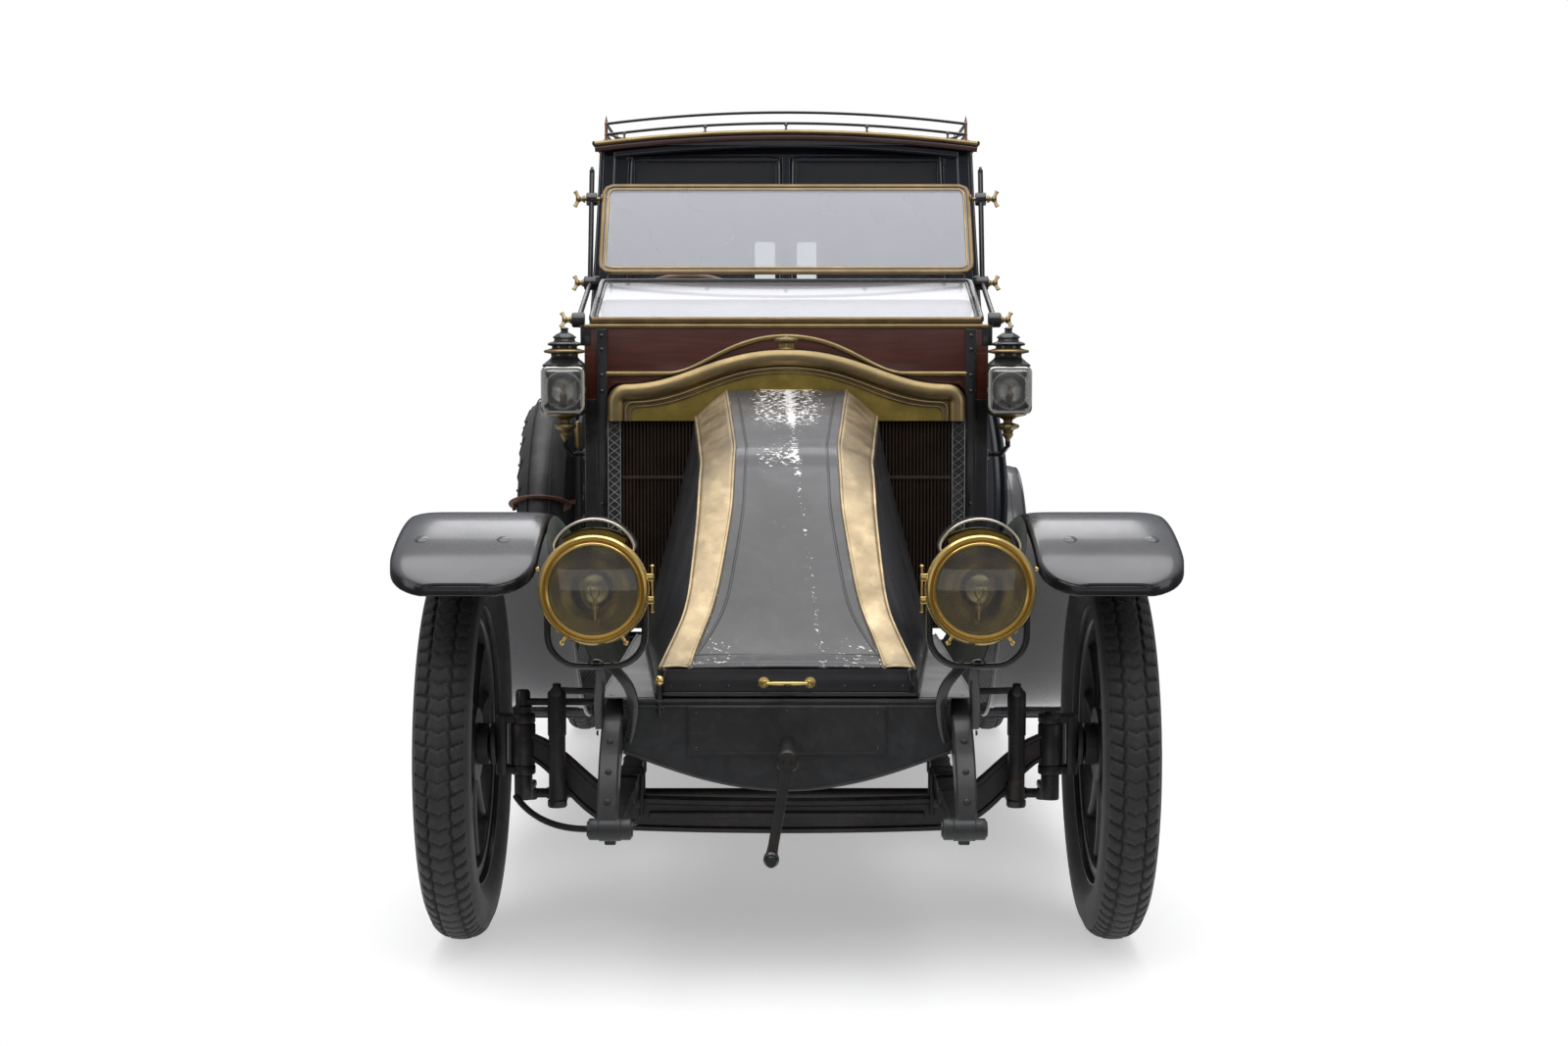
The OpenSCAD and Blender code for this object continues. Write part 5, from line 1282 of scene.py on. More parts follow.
@dataclass
class Dashboard:
    """Mahogany dashboard with brass capping, iron straps, and the instruments on its back."""

    shop: Workshop
    half: float = 510.0
    front: float = 844.0
    back: float = 869.0
    foot: float = 583.0
    top: float = 1345.0

    def build(self) -> None:
        """Places the board, its capping, its straps and its gauges."""
        s = Shape()
        s.block((-self.half, self.front, 1165), (self.half, self.back, self.top), 3)
        s.block((-self.half, self.front, self.foot), (self.half, self.back, 1165.5), 3, kind=1)
        for y in (self.front, self.back - 1):
            s.block((-440, y - 0.8, 1205), (440, y + 1.8, 1209), 0.5, Axis.X)
        self.shop.place(s, "dashboard_board", "chassis", [MAHOGANY, BLACK], ["dashboard"])
        s = Shape()
        for side in (-1, 1):
            s.block((side * 452, self.front - 5, self.foot), (side * 480, self.front + 0.4, self.top - 3),
                1.5, Axis.Z)
            s.beads(np.stack([np.full(6, side * 466.0), np.full(6, self.front - 5),
                np.array([1185, 1225, 1290, 1325, 900, 700])], 1), 6, Axis.Y, -1, lobes=6, n=12)
            for z in (640, 1060):
                s.block((side * 440, self.front - 14, z), (side * 456, self.front - 5, z + 28), 2)
            s.block((side * 326, self.front, 580.2), (side * 364, self.back + 40, 583.2), 1)
        self.shop.place(s, "dashboard_straps", "chassis", [BLACK])
        s = Shape()
        for x, z, r in ((150, 1260, 42), (40, 1260, 30), (-60, 1245, 26)):
            s.turn(arr((r, -1), (r, 12), (r - 5, 15), (r - 7, 12), (0.01, 12)), (x, self.back, z), Axis.Y, 36)
            s.turn(arr((r - 7, 12.2), (0.01, 12.6)), (x, self.back, z), Axis.Y, 30, kind=1)
        s.sweep(arr((-self.half, self.front + 12, self.top + 4), (self.half, self.front + 12, self.top + 4)),
            rounded(10, 32, 3), up=(0, 1, 0))
        self.shop.place(s, "dashboard_brass", "chassis", [OLD_BRASS, BLACK])


@dataclass
class Windscreen:
    """Two-piece windscreen: a low pane that slopes back from the dashboard and an upper pane hung between
    side rods."""

    shop: Workshop
    half: float = 502.0
    foot: tuple[float, float] = (849.0, 1361.0)
    slope: float = 17.5
    low_length: float = 396.0
    pivot: tuple[float, float] = (1287.0, 1703.0)
    lean: float = 35.0
    up_length: float = 309.0
    pivot_down: float = 52.0
    post_x: float = 526.0

    def ring(self, length: float, corner: float) -> Array:
        """Rounded rectangle in the frame's own plane, as (x, along)."""
        return rounded(2 * self.half - 18, length - 18, corner, 6) + [0, length / 2]

    def in_plane(self, flat: Array, origin: tuple[float, float], angle: float, off: float = 0.0) -> Array:
        """Puts (x, along) on the plane that rises at an angle from its origin line."""
        a = math.radians(angle)
        return np.stack([flat[:, 0], origin[0] + flat[:, 1] * math.cos(a) - off * math.sin(a),
            origin[1] + flat[:, 1] * math.sin(a) + off * math.cos(a)], -1)

    def pane(self, s: Shape, length: float, origin: tuple[float, float], angle: float,
            inset: float = 14.0) -> None:
        """Adds a thin glass plate inside the frame."""
        flat = rounded(2 * self.half - 2 * inset, length - 2 * inset, 8, 4) + [0, length / 2]
        a, b = (self.in_plane(flat, origin, angle, off) for off in (-2.4, 2.4))
        s.grid(np.stack([a, b]), wrap_v=True)
        s.add(a, np.arange(len(a))[None])
        s.add(b, np.arange(len(b))[None])

    def frame(self, s: Shape, length: float, origin: tuple[float, float], angle: float, corner: float,
            bar: float = 16.0) -> None:
        """Adds the channel: a fat outer bar and a thin inner lip."""
        n = math.radians(angle + 90)
        up = (0, math.cos(n), math.sin(n))
        path = self.in_plane(resample(np.vstack([self.ring(length, corner), self.ring(length, corner)[:1]]),
            140)[:-1], origin, angle)
        s.sweep(path, rounded(bar, bar, bar * 0.3), up=up, closed=True)
        flat = resample(np.vstack([q := rounded(2 * self.half - 42, length - 42, max(corner - 10, 4), 6) + [0,
            length / 2], q[:1]]), 140)[:-1]
        s.sweep(self.in_plane(flat, origin, angle), rounded(6, 10, 2), up=up, closed=True, kind=1)

    def nut(self, s: Shape, side: int, x: float, y: float, z: float, lean: float = 0.0) -> None:
        """Adds a brass wing nut with its washer and stem at the outside of a clamp."""
        s.turn(arr((10, 0), (10, 4), (7, 6), (6, 12), (9, 15), (9, 20), (5, 24), (0.01, 25)),
            (side * x, y, z), Axis.X, 18, kind=1, sign=side)
        c, d = math.cos(math.radians(lean)), math.sin(math.radians(lean))
        for k in (-1, 1):
            w = np.linspace(0, 1, 8)
            path = np.stack([side * (x + 20 + 7 * w**2), y + k * 20 * w * d, z + k * 22 * w * c], -1)
            s.sweep(path, disc(1, 10) * [3.2, 5.5], up=(side, 0, 0), kind=1, sizes=1 - 0.35 * w + 0.5 * w**4)

    def build(self) -> None:
        """Places both frames, both panes, the side rods and their clamps."""
        shop = self.shop
        s = Shape()
        self.frame(s, self.low_length, self.foot, self.slope, 12)
        s.sweep(self.in_plane(arr((10 - self.half, 8), (self.half - 10, 8)), self.foot, self.slope),
            rounded(18, 18, 6), kind=2)
        shop.place(s, "lower_screen_frame", "chassis", [BLACK, BLACK, BRONZE], ["lower_windscreen"])
        s = Shape()
        self.pane(s, self.low_length, self.foot, self.slope)
        shop.place(s, "lower_screen_glass", "chassis", [SLOPED])
        up_angle = 90 - self.lean
        a = math.radians(up_angle)
        low = self.up_length - self.pivot_down
        origin = (self.pivot[0] - low * math.cos(a), self.pivot[1] - low * math.sin(a))
        s = Shape()
        self.frame(s, self.up_length, origin, up_angle, 24, 12.0)
        for side in (-1, 1):
            s.turn(arr((0.01, 0), (5, 0), (5, 54), (0.01, 54)), (side * (self.half - 2), *self.pivot), Axis.X,
                16, sign=side, kind=1)
            s.turn(arr((13, 0), (13, 4), (9, 7), (0.01, 7)), (side * (self.half - 6), *self.pivot), Axis.X,
                20, sign=side)
            self.nut(s, side, self.post_x + 18, *self.pivot, lean=20.0)
        shop.place(s, "upper_screen_frame", "upper_windscreen", [BRONZE, OLD_BRASS], ["upper_windscreen"])
        s = Shape()
        self.pane(s, self.up_length, origin, up_angle)
        shop.place(s, "upper_screen_glass", "upper_windscreen", [SCREEN], ["upper_glass"])
        s = Shape()
        x = self.post_x
        base, knuckle, head = (self.foot[0] + 8, self.foot[1] + 4), (1222.0, 1474.0), (1301.0, 1782.0)
        for side in (-1, 1):
            s.tube(arr((side * x, *base), (side * x, *knuckle)), 7, 12)
            s.tube(arr((side * x, *knuckle), (side * x, *head)), 7, 12)
            ring = arc((head[0] + 1, head[1] - 2), 8.5, 0, 360, 25)[:-1]
            s.sweep(np.stack([np.full(24, side * x), ring[:, 0], ring[:, 1]], -1), disc(3.6, 8), up=(1, 0, 0),
                closed=True)
            for y, z, inner in ((*base, self.half + 8.5), (*knuckle, self.half + 0.3)):
                s.turn(arr((0.01, 0), (18, 0), (19, 3), (19, x + 16 - inner - 3), (16, x + 16 - inner),
                    (0.01, x + 16 - inner)), (side * inner, y, z), Axis.X, 28, sign=side)
                self.nut(s, side, x + 16, y, z, lean=35.0)
            s.turn(arr((5.06, -14), (17, -14), (18, -11), (18, 11), (17, 14), (5.06, 14)),
                (side * x, *self.pivot), Axis.X, 28)
            s.block((side * 494, self.front_y() - 2, 1300), (side * 520, self.front_y() + 3, 1352), 2)
        shop.place(s, "screen_side_rods", "chassis", [BLACK, OLD_BRASS], ["windscreen_posts"])

    def front_y(self) -> float:
        """Front face of the dashboard."""
        return self.foot[0] - 5


@dataclass
class Lamps:
    """Gas headlamps on their forks, square coach lamps beside the dashboard, and the tail lamp."""

    shop: Workshop
    head: tuple[float, float, float] = (372.0, -530.0, 808.0)
    coach: tuple[float, float, float] = (551.0, 748.0, 1188.0)
    tail: tuple[float, float, float] = (-430.0, 3450.0, 760.0)

    def ring(self, r: float, a: float, b: float, y: float, n: int = 30) -> Array:
        """Arc about the headlamp's middle; angles in degrees from straight up, towards +x."""
        t = np.radians(np.linspace(a, b, n))
        x, _, z = self.head
        return np.stack([x + r * np.sin(t), np.full(n, y), z + r * np.cos(t)], -1)

    def headlamps(self) -> None:
        """Drum, two rolled rims, reflector, burner, vent hood, hinge, screws, lens, fork and its two
        curved straps."""
        x, y, z = c = self.head
        s = Shape()
        s.turn(arr((94, 36), (101, 39), (106, 44), (107.5, 51), (106.5, 58), (102.5, 63), (98.5, 63.5),
            (96, 61), (95, 58.5), (93.5, 61.5), (90.5, 64.5), (87, 63.5), (85, 60), (84.5, 52)), c, Axis.Y,
            80, sign=-1)
        s.turn(arr((0.01, -110), (30, -108), (56, -96), (74, -74), (81, -46), (82, -30), (85, -28), (85, 30),
            (89, 34), (95, 37)), c, Axis.Y, 64, sign=-1, kind=1)
        s.turn(arr((85, 52), (80, 44), (70, 28), (56, 12), (40, 0), (24, -8), (10, -12), (0.01, -13)), c,
            Axis.Y, 64, sign=-1, kind=2)
        s.turn(arr((5, -84), (5, -44), (8, -42), (8, -34), (4, -32), (4, -22), (0.01, -21)), (x, y - 14, z),
            Axis.Z, 16, kind=0)
        for k in (-1, 1):
            s.tube(arr((x, y - 14, z - 24), (x + k * 8, y - 14, z - 12), (x + k * 9, y - 14, z + 4),
                (x + k * 5, y - 14, z + 12)), 1.8, 8)
        s.sweep(self.ring(99, -33, 33, y + 6), rounded(34, 46, 4), up=(0, 1, 0), kind=3)
        hood = self.ring(1, -46, 46, 0, 41) - [x, 0, z]
        hood *= (106 + 29 * np.cos(np.linspace(-np.pi / 2, np.pi / 2, 41)) ** 0.6)[:, None]
        s.sweep(hood + [x, y + 2, z], rounded(2.4, 78, 1), up=(0, 1, 0), kind=1)
        s.sweep(hood + [x, y - 37, z], disc(2.8, 10), up=(0, 1, 0), kind=4)
        for a in (149, 211):
            p = np.stack([self.ring(r, a, a, y - 46, 2)[0] for r in (100, 112, 116, 118, 122, 125)])
            s.sweep(p, disc(1, 10), up=(0, 1, 0), sizes=np.array([3.2, 3.2, 3.0, 5.5, 5.5, 2.0]))
        hx = x - 113
        s.tube(arr((hx, y - 48, z + 46), (hx, y - 48, z - 42)), 2.6, 10)
        s.beads(arr((hx, y - 48, z + 46)), 4.4, Axis.Z, 1)
        s.beads(arr((hx, y - 48, z - 42)), 4.4, Axis.Z, -1)
        for k in (24, -20):
            s.block((hx - 3, y - 53, z + k - 7), (x - 100, y - 43, z + k + 7), 2)
        s.beads(arr((x + 106, y - 48, z + 40)), 5, Axis.X, 1, flat=1.2)
        yf = y + 6
        half = np.vstack([[x - 95, z + 4], [x - 95, z - 60], arc((x - 33, z - 92), 62, 184, 262, 10),
            [x - 10, z - 154.5]])
        u = np.vstack([half, (half * [-1, 1] + [2 * x, 0])[::-1]])
        u = resample(u, 70)
        s.sweep(np.stack([u[:, 0], np.full(70, yf), u[:, 1]], -1), disc(1, 12) * [6.5, 7.5], up=(0, 1, 0),
            kind=1)
        for k in (-1, 1):
            s.turn(arr((9, -14), (10, -12), (10, 6), (7, 9), (0.01, 9)), (x + k * 95, yf, z), Axis.X, 18,
                kind=1, sign=k)
        s.beads(arr((x, yf, z - 148)), 16, Axis.Z, 1, kind=1, flat=0.5, n=18)
        outer = bezier(arr((x - 6, yf, z - 152), (x - 14, yf + 6, 620), (376, -490, 600), (371, -440, 520)),
            18)
        inner = bezier(arr((x - 26, yf, z - 150), (x - 64, yf - 6, 620), (284, -520, 600), (318, -450, 492)),
            18)
        for line in (outer, inner):
            s.sweep(line, rounded(21, 8, 3), up=(0, 1, 0.2), kind=1)
        s.beads(arr((376, -446, 535), (376, -440, 510)), 6, Axis.X, 1, kind=1)
        self.shop.place(s.mirror(), "headlamp_shells", "chassis",
            [LAMP_BRASS, BLACK, SILVER, PANEL_BRASS, NICKEL], ["headlamps"], sharp=40)
        s = Shape()
        s.turn(arr((84.5, 53), (84.5, 55), (60, 59), (30, 61.5), (0.01, 62.5)), c, Axis.Y, 64, sign=-1)
        s.turn(arr((0.01, 60.5), (30, 59.5), (60, 57), (84.5, 53)), c, Axis.Y, 64, sign=-1)
        self.shop.place(s.mirror(), "headlamp_lenses", "chassis", [LENS])

    def coach_lamps(self) -> None:
        """Square body, plated bezel with bevelled glass, reflector, tiered chimney, turned finial and
        bracket."""
        x, y, z = c = self.coach
        s = Shape()
        s.block((x - 49, y - 30, z - 54), (x + 49, y + 50, z + 54), 6)
        frame = resample(np.vstack([q := rounded(96, 104, 10, 4), q[:1]]), 60)[:-1]
        for yy, prof, kind in ((y - 36, rounded(5, 20, 1.5), 0), (y - 47, rounded(10, 7, 3), 1)):
            flat = frame if kind == 0 else frame * 0.94
            s.sweep(np.stack([x + flat[:, 0], np.full(59, yy), z + flat[:, 1]], -1), prof, up=(0, 1, 0),
                closed=True, kind=kind)
        s.turn(arr((41, 46), (34, 40), (20, 35), (0.01, 33)), c, Axis.Y, 36, sign=-1, kind=2)
        s.turn(arr((44, 31), (44, 46), (41, 46.5)), c, Axis.Y, 36, sign=-1, kind=1)
        s.turn(arr((7, -30), (7, -6), (4, -4), (3, 8), (0.01, 12)), (x, y - 41, z), Axis.Z, 14, kind=3)
        roof = arr((51, 54), (51, 58), (46, 62), (34, 72), (31, 76), (31, 84))
        s.turn(roof, c, Axis.Z, 40)
        s.turn(arr((30, 83), (46, 86), (48, 89), (46, 92), (34, 95), (30, 96)), c, Axis.Z, 40, kind=3)
        s.turn(arr((29, 95), (29, 101), (38, 103), (39, 106), (36, 109), (25, 112), (23, 118), (27, 120),
            (26, 123), (16, 130), (9, 133), (8, 138), (10, 142), (0.01, 146)), c, Axis.Z, 40)
        s.turn(arr((46, -53), (40, -58), (22, -62), (11, -68), (10, -74), (25, -79), (27, -83), (24, -87),
            (13, -92), (11, -99), (13, -102), (8, -110), (0.01, -120)), c, Axis.Z, 36, kind=3)
        s.beads(np.stack([np.full(4, x + 49.0), np.full(4, y + 10.0), z + np.array([-30, -10, 10, 30])], 1),
            3, Axis.X, 1)
        s.block((x - 51, y - 46, z - 6), (x - 46, y - 24, z + 6), 1, kind=1)
        s.tube(arr((x - 20, y + 48, z - 20), (x - 28, y + 84, z - 20), (514, y + 100, z - 20)), 7, 10)
        s.tube(arr((x - 20, y + 48, z + 24), (x - 28, y + 84, z + 24), (514, y + 100, z + 24)), 7, 10)
        s.block((510.4, 846, z - 40), (516, 868, z + 44), 2)
        s.tube(arr((516, 856, z - 150), (545, 838, z - 150), (556, 800, z - 130), (553, 790, z - 60)), 6, 8)
        s.beads(arr((513, 856, z - 150)), 14, Axis.X, 1)
        grow = np.diag([1.08] * 3)
        back = tuple(-0.08 * np.array(c))
        s = s.moved(grow, back)
        self.shop.place(s.mirror(), "coach_lamp_bodies", "chassis", [BLACK, NICKEL, NICKEL, OLD_BRASS],
            ["side_lamps"], sharp=40)
        s = Shape()
        rows = [(0.9, -49), (0.86, -52), (0.62, -57), (0.0, -57.5)]
        s.grid(np.stack([np.stack([x + frame[:, 0] * k, np.full(59, y + d), z + frame[:, 1] * k], -1) for k,
            d in rows]), wrap_v=True)
        s = s.moved(grow, back)
        self.shop.place(s.mirror(), "coach_lamp_glasses", "chassis", [LENS], sharp=25, solid=1.5)

    def tail_lamp(self) -> None:
        """Small turned lamp with a red glass, on a bracket."""
        c = self.tail
        s = Shape()
        s.turn(arr((0.01, -0.5), (28, 0), (33, 5), (33, 38), (38, 43), (39, 50), (37, 56), (32, 58),
            (30, 52)), c, Axis.Y, 40)
        s.turn(arr((15, 30), (13, 40), (13, 44), (20, 46), (20, 49), (11, 55), (6, 60), (0.01, 62)),
            (c[0], c[1] + 26, c[2]), Axis.Z, 24)
        s.turn(arr((9, -48), (7, -40), (10, -32)), (c[0], c[1] + 26, c[2]), Axis.Z, 16)
        s.turn(arr((30.5, 51), (20, 56), (8, 58), (0.01, 58.5)), c, Axis.Y, 30, kind=1)
        self.shop.place(s, "tail_lamp_body", "chassis", [LAMP_BRASS, RUBY], ["tail_lamp"])

    def build(self) -> None:
        """Places every lamp."""
        self.headlamps()
        self.coach_lamps()
        self.tail_lamp()




@dataclass
class Chassis:
    """Frame, springs, axles, steering joints, apron, crank, and the engine under the bonnet."""

    shop: Workshop
    rail_in: float = 325.0
    rail_out: float = 365.0
    low: float = 480.0
    top: float = 580.0
    tip: tuple[float, float] = (-612.0, 350.0)
    king: float = 575.0
    wheelbase: float = 3050.0

    def frame(self) -> None:
        """Side rails with their curved front horns, spring eyes, rivets and hangers."""
        s = Shape()
        line = bezier(arr((-300, 530), (-440, 530), (-560, 500), self.tip), 30)
        t = unit(np.gradient(line, axis=0))
        n = np.stack([-t[:, 1], t[:, 0]], 1) * np.linspace(50, 17, 30)[:, None]
        s.plate(np.vstack([line + n, (line - n)[::-1]]), self.rail_in, self.rail_out, Axis.X, 4)
        s.plate(arr((-302, self.low), (3420, self.low), (3420, self.top), (-302, self.top)), self.rail_in + 1,
            self.rail_out, Axis.X, 3)
        outer = line - n if (line - n)[15, 0] < line[15, 0] else line + n
        for k in (17, 22, 26):
            s.beads(arr((345, *outer[k])), 7, Axis.Y, -1, flat=0.7)
        s.turn(arr((15, -42), (19, -41), (21, -38), (21, -22), (23, -20), (23, 20), (21, 22), (21, 38),
            (19, 41), (15, 42), (15, 44), (0.01, 45)), (340, *self.tip), Axis.X, 30, kind=1)
        s.turn(arr((15, -42), (15, -44), (0.01, -45)), (340, *self.tip), Axis.X, 30, kind=1)
        s.block((330, -600, 316), (352, -585, 336), 3, kind=1)
        s.plate(arr((470, 481), (560, 481), (530, 440), (500, 440)), 327, 363, Axis.X, 2)
        ys = np.concatenate([np.arange(-280, 3400, 115)])
        for z in (496, 564):
            s.beads(np.stack([np.full(len(ys), self.rail_out), ys, np.full(len(ys), z)], 1), 5, Axis.X, 1,
                n=8)
        self.shop.place(s.mirror(), "frame_side_rails", "chassis", [IRONS, IRONS_DARK], ["frame_rails"],
            sharp=40)
        s = Shape()
        for y in (700, 1660, 2350, 3339):
            for z in (492, 562):
                s.block((-359, y, z), (359, y + 50, z + 6), 1, Axis.X)
            s.block((-359, y + 22, 492), (359, y + 28, 568), 1, Axis.X)
        s.block((-35, 3388, 510), (35, 3452, 528), 3)
        s.turn(arr((14, -9), (34, -9), (35, -7), (35, 7), (34, 9), (14, 9), (14, -9)), (0, 3468, 519), Axis.Z,
            40)
        self.shop.place(s, "frame_cross_members", "chassis", [CHASSIS], ["crossmembers"])

    def spring(self, s: Shape, x: float, front: Point, seat: Point, rear: Point, leaves: int, t: float,
            width: float = 44.0) -> None:
        """Adds a pack of leaves, each shorter than the one above, with bolts and rebound clips."""
        for i in range(leaves):
            f = 1 - i / (leaves + 0.6)
            halves = []
            for end in (front, rear):
                ay = seat[0] + (end[0] - seat[0]) * f
                dz = end[1] - seat[1]
                low = seat[1] - i * t
                halves.append(bezier(arr((ay, seat[1] + dz * f * f - i * t),
                    ((ay + seat[0]) / 2, seat[1] + dz * f * f * 0.25 - i * t),
                    (seat[0] + 0.2 * (ay - seat[0]), low), (seat[0], low)), 14))
            q = np.vstack([halves[0], halves[1][::-1][1:]])
            s.sweep(np.stack([np.full(len(q), x), q[:, 0], q[:, 1]], -1), rounded(width, t - 0.6, 1.5),
                up=(0, 0, 1))
        low = seat[1] - (leaves - 1) * t
        for y in (seat[0] - 34, seat[0] + 34):
            s.tube(arr((x - 28, y, low - 42), (x - 28, y, seat[1] + 6), (x - 26, y, seat[1] + 10),
                (x + 26, y, seat[1] + 10), (x + 28, y, seat[1] + 6), (x + 28, y, low - 42)), 5, 8, kind=0)
        s.block((x - 25, seat[0] - 45, seat[1] + 4), (x + 25, seat[0] + 45, seat[1] + 12), 2)
        for y in (seat[0] - 190, seat[0] + 190):
            s.block((x - 26, y - 12, seat[1] - 26), (x + 26, y + 12, seat[1] + 9), 3)

    def springs(self) -> None:
        """Semi-elliptic front springs and three-quarter elliptic rear springs with their shackles."""
        s = Shape()
        self.spring(s, 343.5, (-590, 350), (0, 351), (515, 400), 6, 8)
        for x in (329, 357):
            s.block((x - 3, 500, 392), (x + 3, 530, 446), 2)
        self.shop.place(s.mirror(), "front_leaf_springs", "chassis", [CHASSIS], ["front_springs"])
        s = Shape()
        w = self.wheelbase
        x = 427.5
        self.spring(s, x, (w - 560, 530), (w, 508), (w + 440, 520), 7, 7)
        q = bezier(arr((w + 60, 546), (w + 240, 564), (w + 360, 562), (w + 442, 544)), 24)
        for k, f in enumerate((1.0, 0.8, 0.6)):
            p = q[: int(24 * f)]
            s.sweep(np.stack([np.full(len(p), x), p[:, 0], p[:, 1] + 6 - 7 * k], -1), rounded(44, 6.4, 1.5))
        for xx in (x - 14, x + 14):
            s.block((xx - 3, w + 424, 510), (xx + 3, w + 448, 552), 2)
        s.block((365, w + 60, 530), (406, w + 200, 572), 4)
        s.block((365, w - 590, 515), (450, w - 545, 572), 4)
        s.block((x - 22, w - 45, 458), (x + 22, w + 45, 468), 2)
        self.shop.place(s.mirror(), "rear_leaf_springs", "chassis", [CHASSIS], ["rear_springs"])

    def front_axle(self) -> None:
        """Dropped I-section beam with kingpin bosses, spring seats and the two telescopic dampers."""
        s = Shape()
        half = chain(np.stack([np.linspace(0, 330, 12), np.full(12, 268.0)], 1),
            bezier(arr((330, 268), (440, 268), (480, 400), (self.king, 420)), 16))
        line = np.vstack([half[::-1] * [-1, 1], half[1:]])
        line[:, 1] -= 6 * np.maximum(0, 1 - (line[:, 0] / 330) ** 2)
        w, h = 24, 35
        eye = arr((-h, -w), (-h + 9, -w), (-h + 13, -17), (h - 13, -17), (h - 9, -w), (h, -w), (h, w),
            (h - 9, w), (h - 13, 17), (-h + 13, 17), (-h + 9, w), (-h, w))
        s.sweep(np.stack([line[:, 0], np.zeros(len(line)), line[:, 1]], -1), eye, up=(0, 1, 0),
            sizes=1 - 0.28 * smoothstep(330, self.king, np.abs(line[:, 0])))
        for k in (-1, 1):
            x = k * self.king
            s.turn(arr((12, -45), (25, -45), (27, -42), (27, 42), (25, 45), (12, 45)), (x, 0, 420), Axis.Z,
                32)
            s.block((k * 317, -40, 285), (k * 370, 40, 306), 3)
            xd = k * 493
            s.turn(arr((0.01, -4), (19, -4), (21, 0), (21, 10), (18, 13), (18, 150), (20, 152), (20, 240),
                (18, 246), (9, 250), (9, 262), (0.01, 264)), (xd, -82, 300), Axis.Z, 28)
            s.block((k * 475, -90, 300), (k * 511, 24, 338), 5)
            s.sweep(arr((k * 365, -82, 540), (k * 400, -82, 545), (xd, -82, 548)), rounded(14, 12, 4),
                up=(0, 1, 0))
            s.turn(arr((12, 0), (12, 8), (7, 10), (0.01, 10)), (xd, -96, 548), Axis.Y, 16, sign=-1)
        s.block((-300, -26, 262), (300, 26, 274), 3, Axis.X)
        self.shop.place(s, "front_axle_beam", "chassis", [CHASSIS], ["front_axle"], sharp=40)

    def steering(self) -> None:
        """Knuckles with kingpins and arms, tie rod, drag link, drop arm and the steering box."""
        kx = self.king
        s = Shape()
        s.turn(arr((0.01, -70), (11, -70), (12, -68), (12, 68), (11, 70), (0.01, 70)), (kx, 0, 420), Axis.Z,
            24)
        for z in (46, -66):
            s.turn(arr((11, 0), (25, 0), (27, 3), (27, 17), (25, 20), (11, 20)), (kx, 0, 420 + z), Axis.Z, 28)
            s.block((kx, -19, 420 + z + 1), (kx + 50, 19, 420 + z + 19), 5)
        s.block((kx + 34, -21, 354), (kx + 58, 21, 486), 6)
        s.turn(arr((44, 0), (46, 4), (46, 10), (40, 14), (17, 16), (16, 30), (16, 163), (13, 166),
            (0.01, 166)), (kx + 56, 0, 420), Axis.X, 32)
        s.block((kx - 12, 0, 298), (kx + 12, 164, 314), 5)
        s.turn(arr((19, 0), (20, 3), (20, 54), (0.01, 56)), (kx, 0, 298), Axis.Z, 24)
        right = Shape().merged(s).moved(np.diag([-1.0, 1, 1]))
        left = s
        x = -410
        right.turn(arr((16, 0), (20, 2), (20, 18), (16, 22), (16, 48), (13, 54), (0.01, 55)), (-kx, 0, 484),
            Axis.Z, 24)
        right.block((-kx, -12, 505), (x + 12, 12, 519), 5)
        self.shop.place(left, "left_steering_knuckle", "left_knuckle", [CHASSIS], ["left_knuckle"])
        self.shop.place(right, "right_steering_knuckle", "right_knuckle", [CHASSIS], ["right_knuckle"])
        s = Shape()
        s.tube(arr((-kx + 12, 150, 285), (kx - 12, 150, 285)), 11, 16)
        for k in (-1, 1):
            s.turn(arr((0.01, -15), (13, -14), (16, -8), (16, 8), (12, 11), (11, 12.5)), (k * kx, 150, 285),
                Axis.Z, 24)
            s.turn(arr((14, -14), (14, 14)), (k * (kx - 50), 150, 285), Axis.X, 6)
        self.shop.place(s, "steering_tie_rod", "tie_rod", [CHASSIS], ["tie_rod"])
        s = Shape()
        s.tube(arr((x, 10, 491), (x, 818, 373)), 10, 16)
        s.turn(arr((0.01, -14), (13, -13), (16, -8), (16, 8), (13, 12)), (x, 0, 492), Axis.Z, 24)
        s.turn(arr((0.01, -8), (16, -8), (18, -6), (18, 6), (16, 8), (0.01, 8)), (x, 830, 372), Axis.X, 24)
        self.shop.place(s, "steering_drag_link", "drag_link", [CHASSIS], ["drag_link"])
        s = Shape()
        s.turn(arr((0.01, 16), (10, 16), (10, -0.5), (22, -1), (24, -4), (24, -17), (20, -20), (0.01, -20)),
            (-377, 830, 522), Axis.X, 28)
        s.plate(np.vstack([arc((830, 522), 18, 0, 180, 9), arc((830, 372), 14, 180, 360, 9)]), -393, -381,
            Axis.X, 3)
        self.shop.place(s, "steering_drop_arm", "drop_arm", [CHASSIS], ["drop_arm"])
        s = Shape()
        s.block((-359, 820, 494), (-234, 960, 572), 14)
        s.beads(np.stack([np.array([-340, -340, -254, -254, -297]), np.array([836, 944, 836, 944, 944]),
            np.full(5, 572.0)], 1), 7, Axis.Z, 1, lobes=6, n=12)
        m = rotation(Axis.X, -36)
        col = Shape()
        col.turn(arr((20, -1010), (20, -60), (24, -58), (24, -44), (20, -38), (10, -34)), (0, 0, 0), Axis.Z,
            24, kind=1)
        col.turn(arr((26, -420), (28, -416), (28, -404), (26, -400)), (0, 0, 0), Axis.Z, 24, kind=1)
        s.merged(col.moved(m, (-268, 1500, 1388)))
        s.block((-300, 862, 640), (-236, 872, 720), 4)
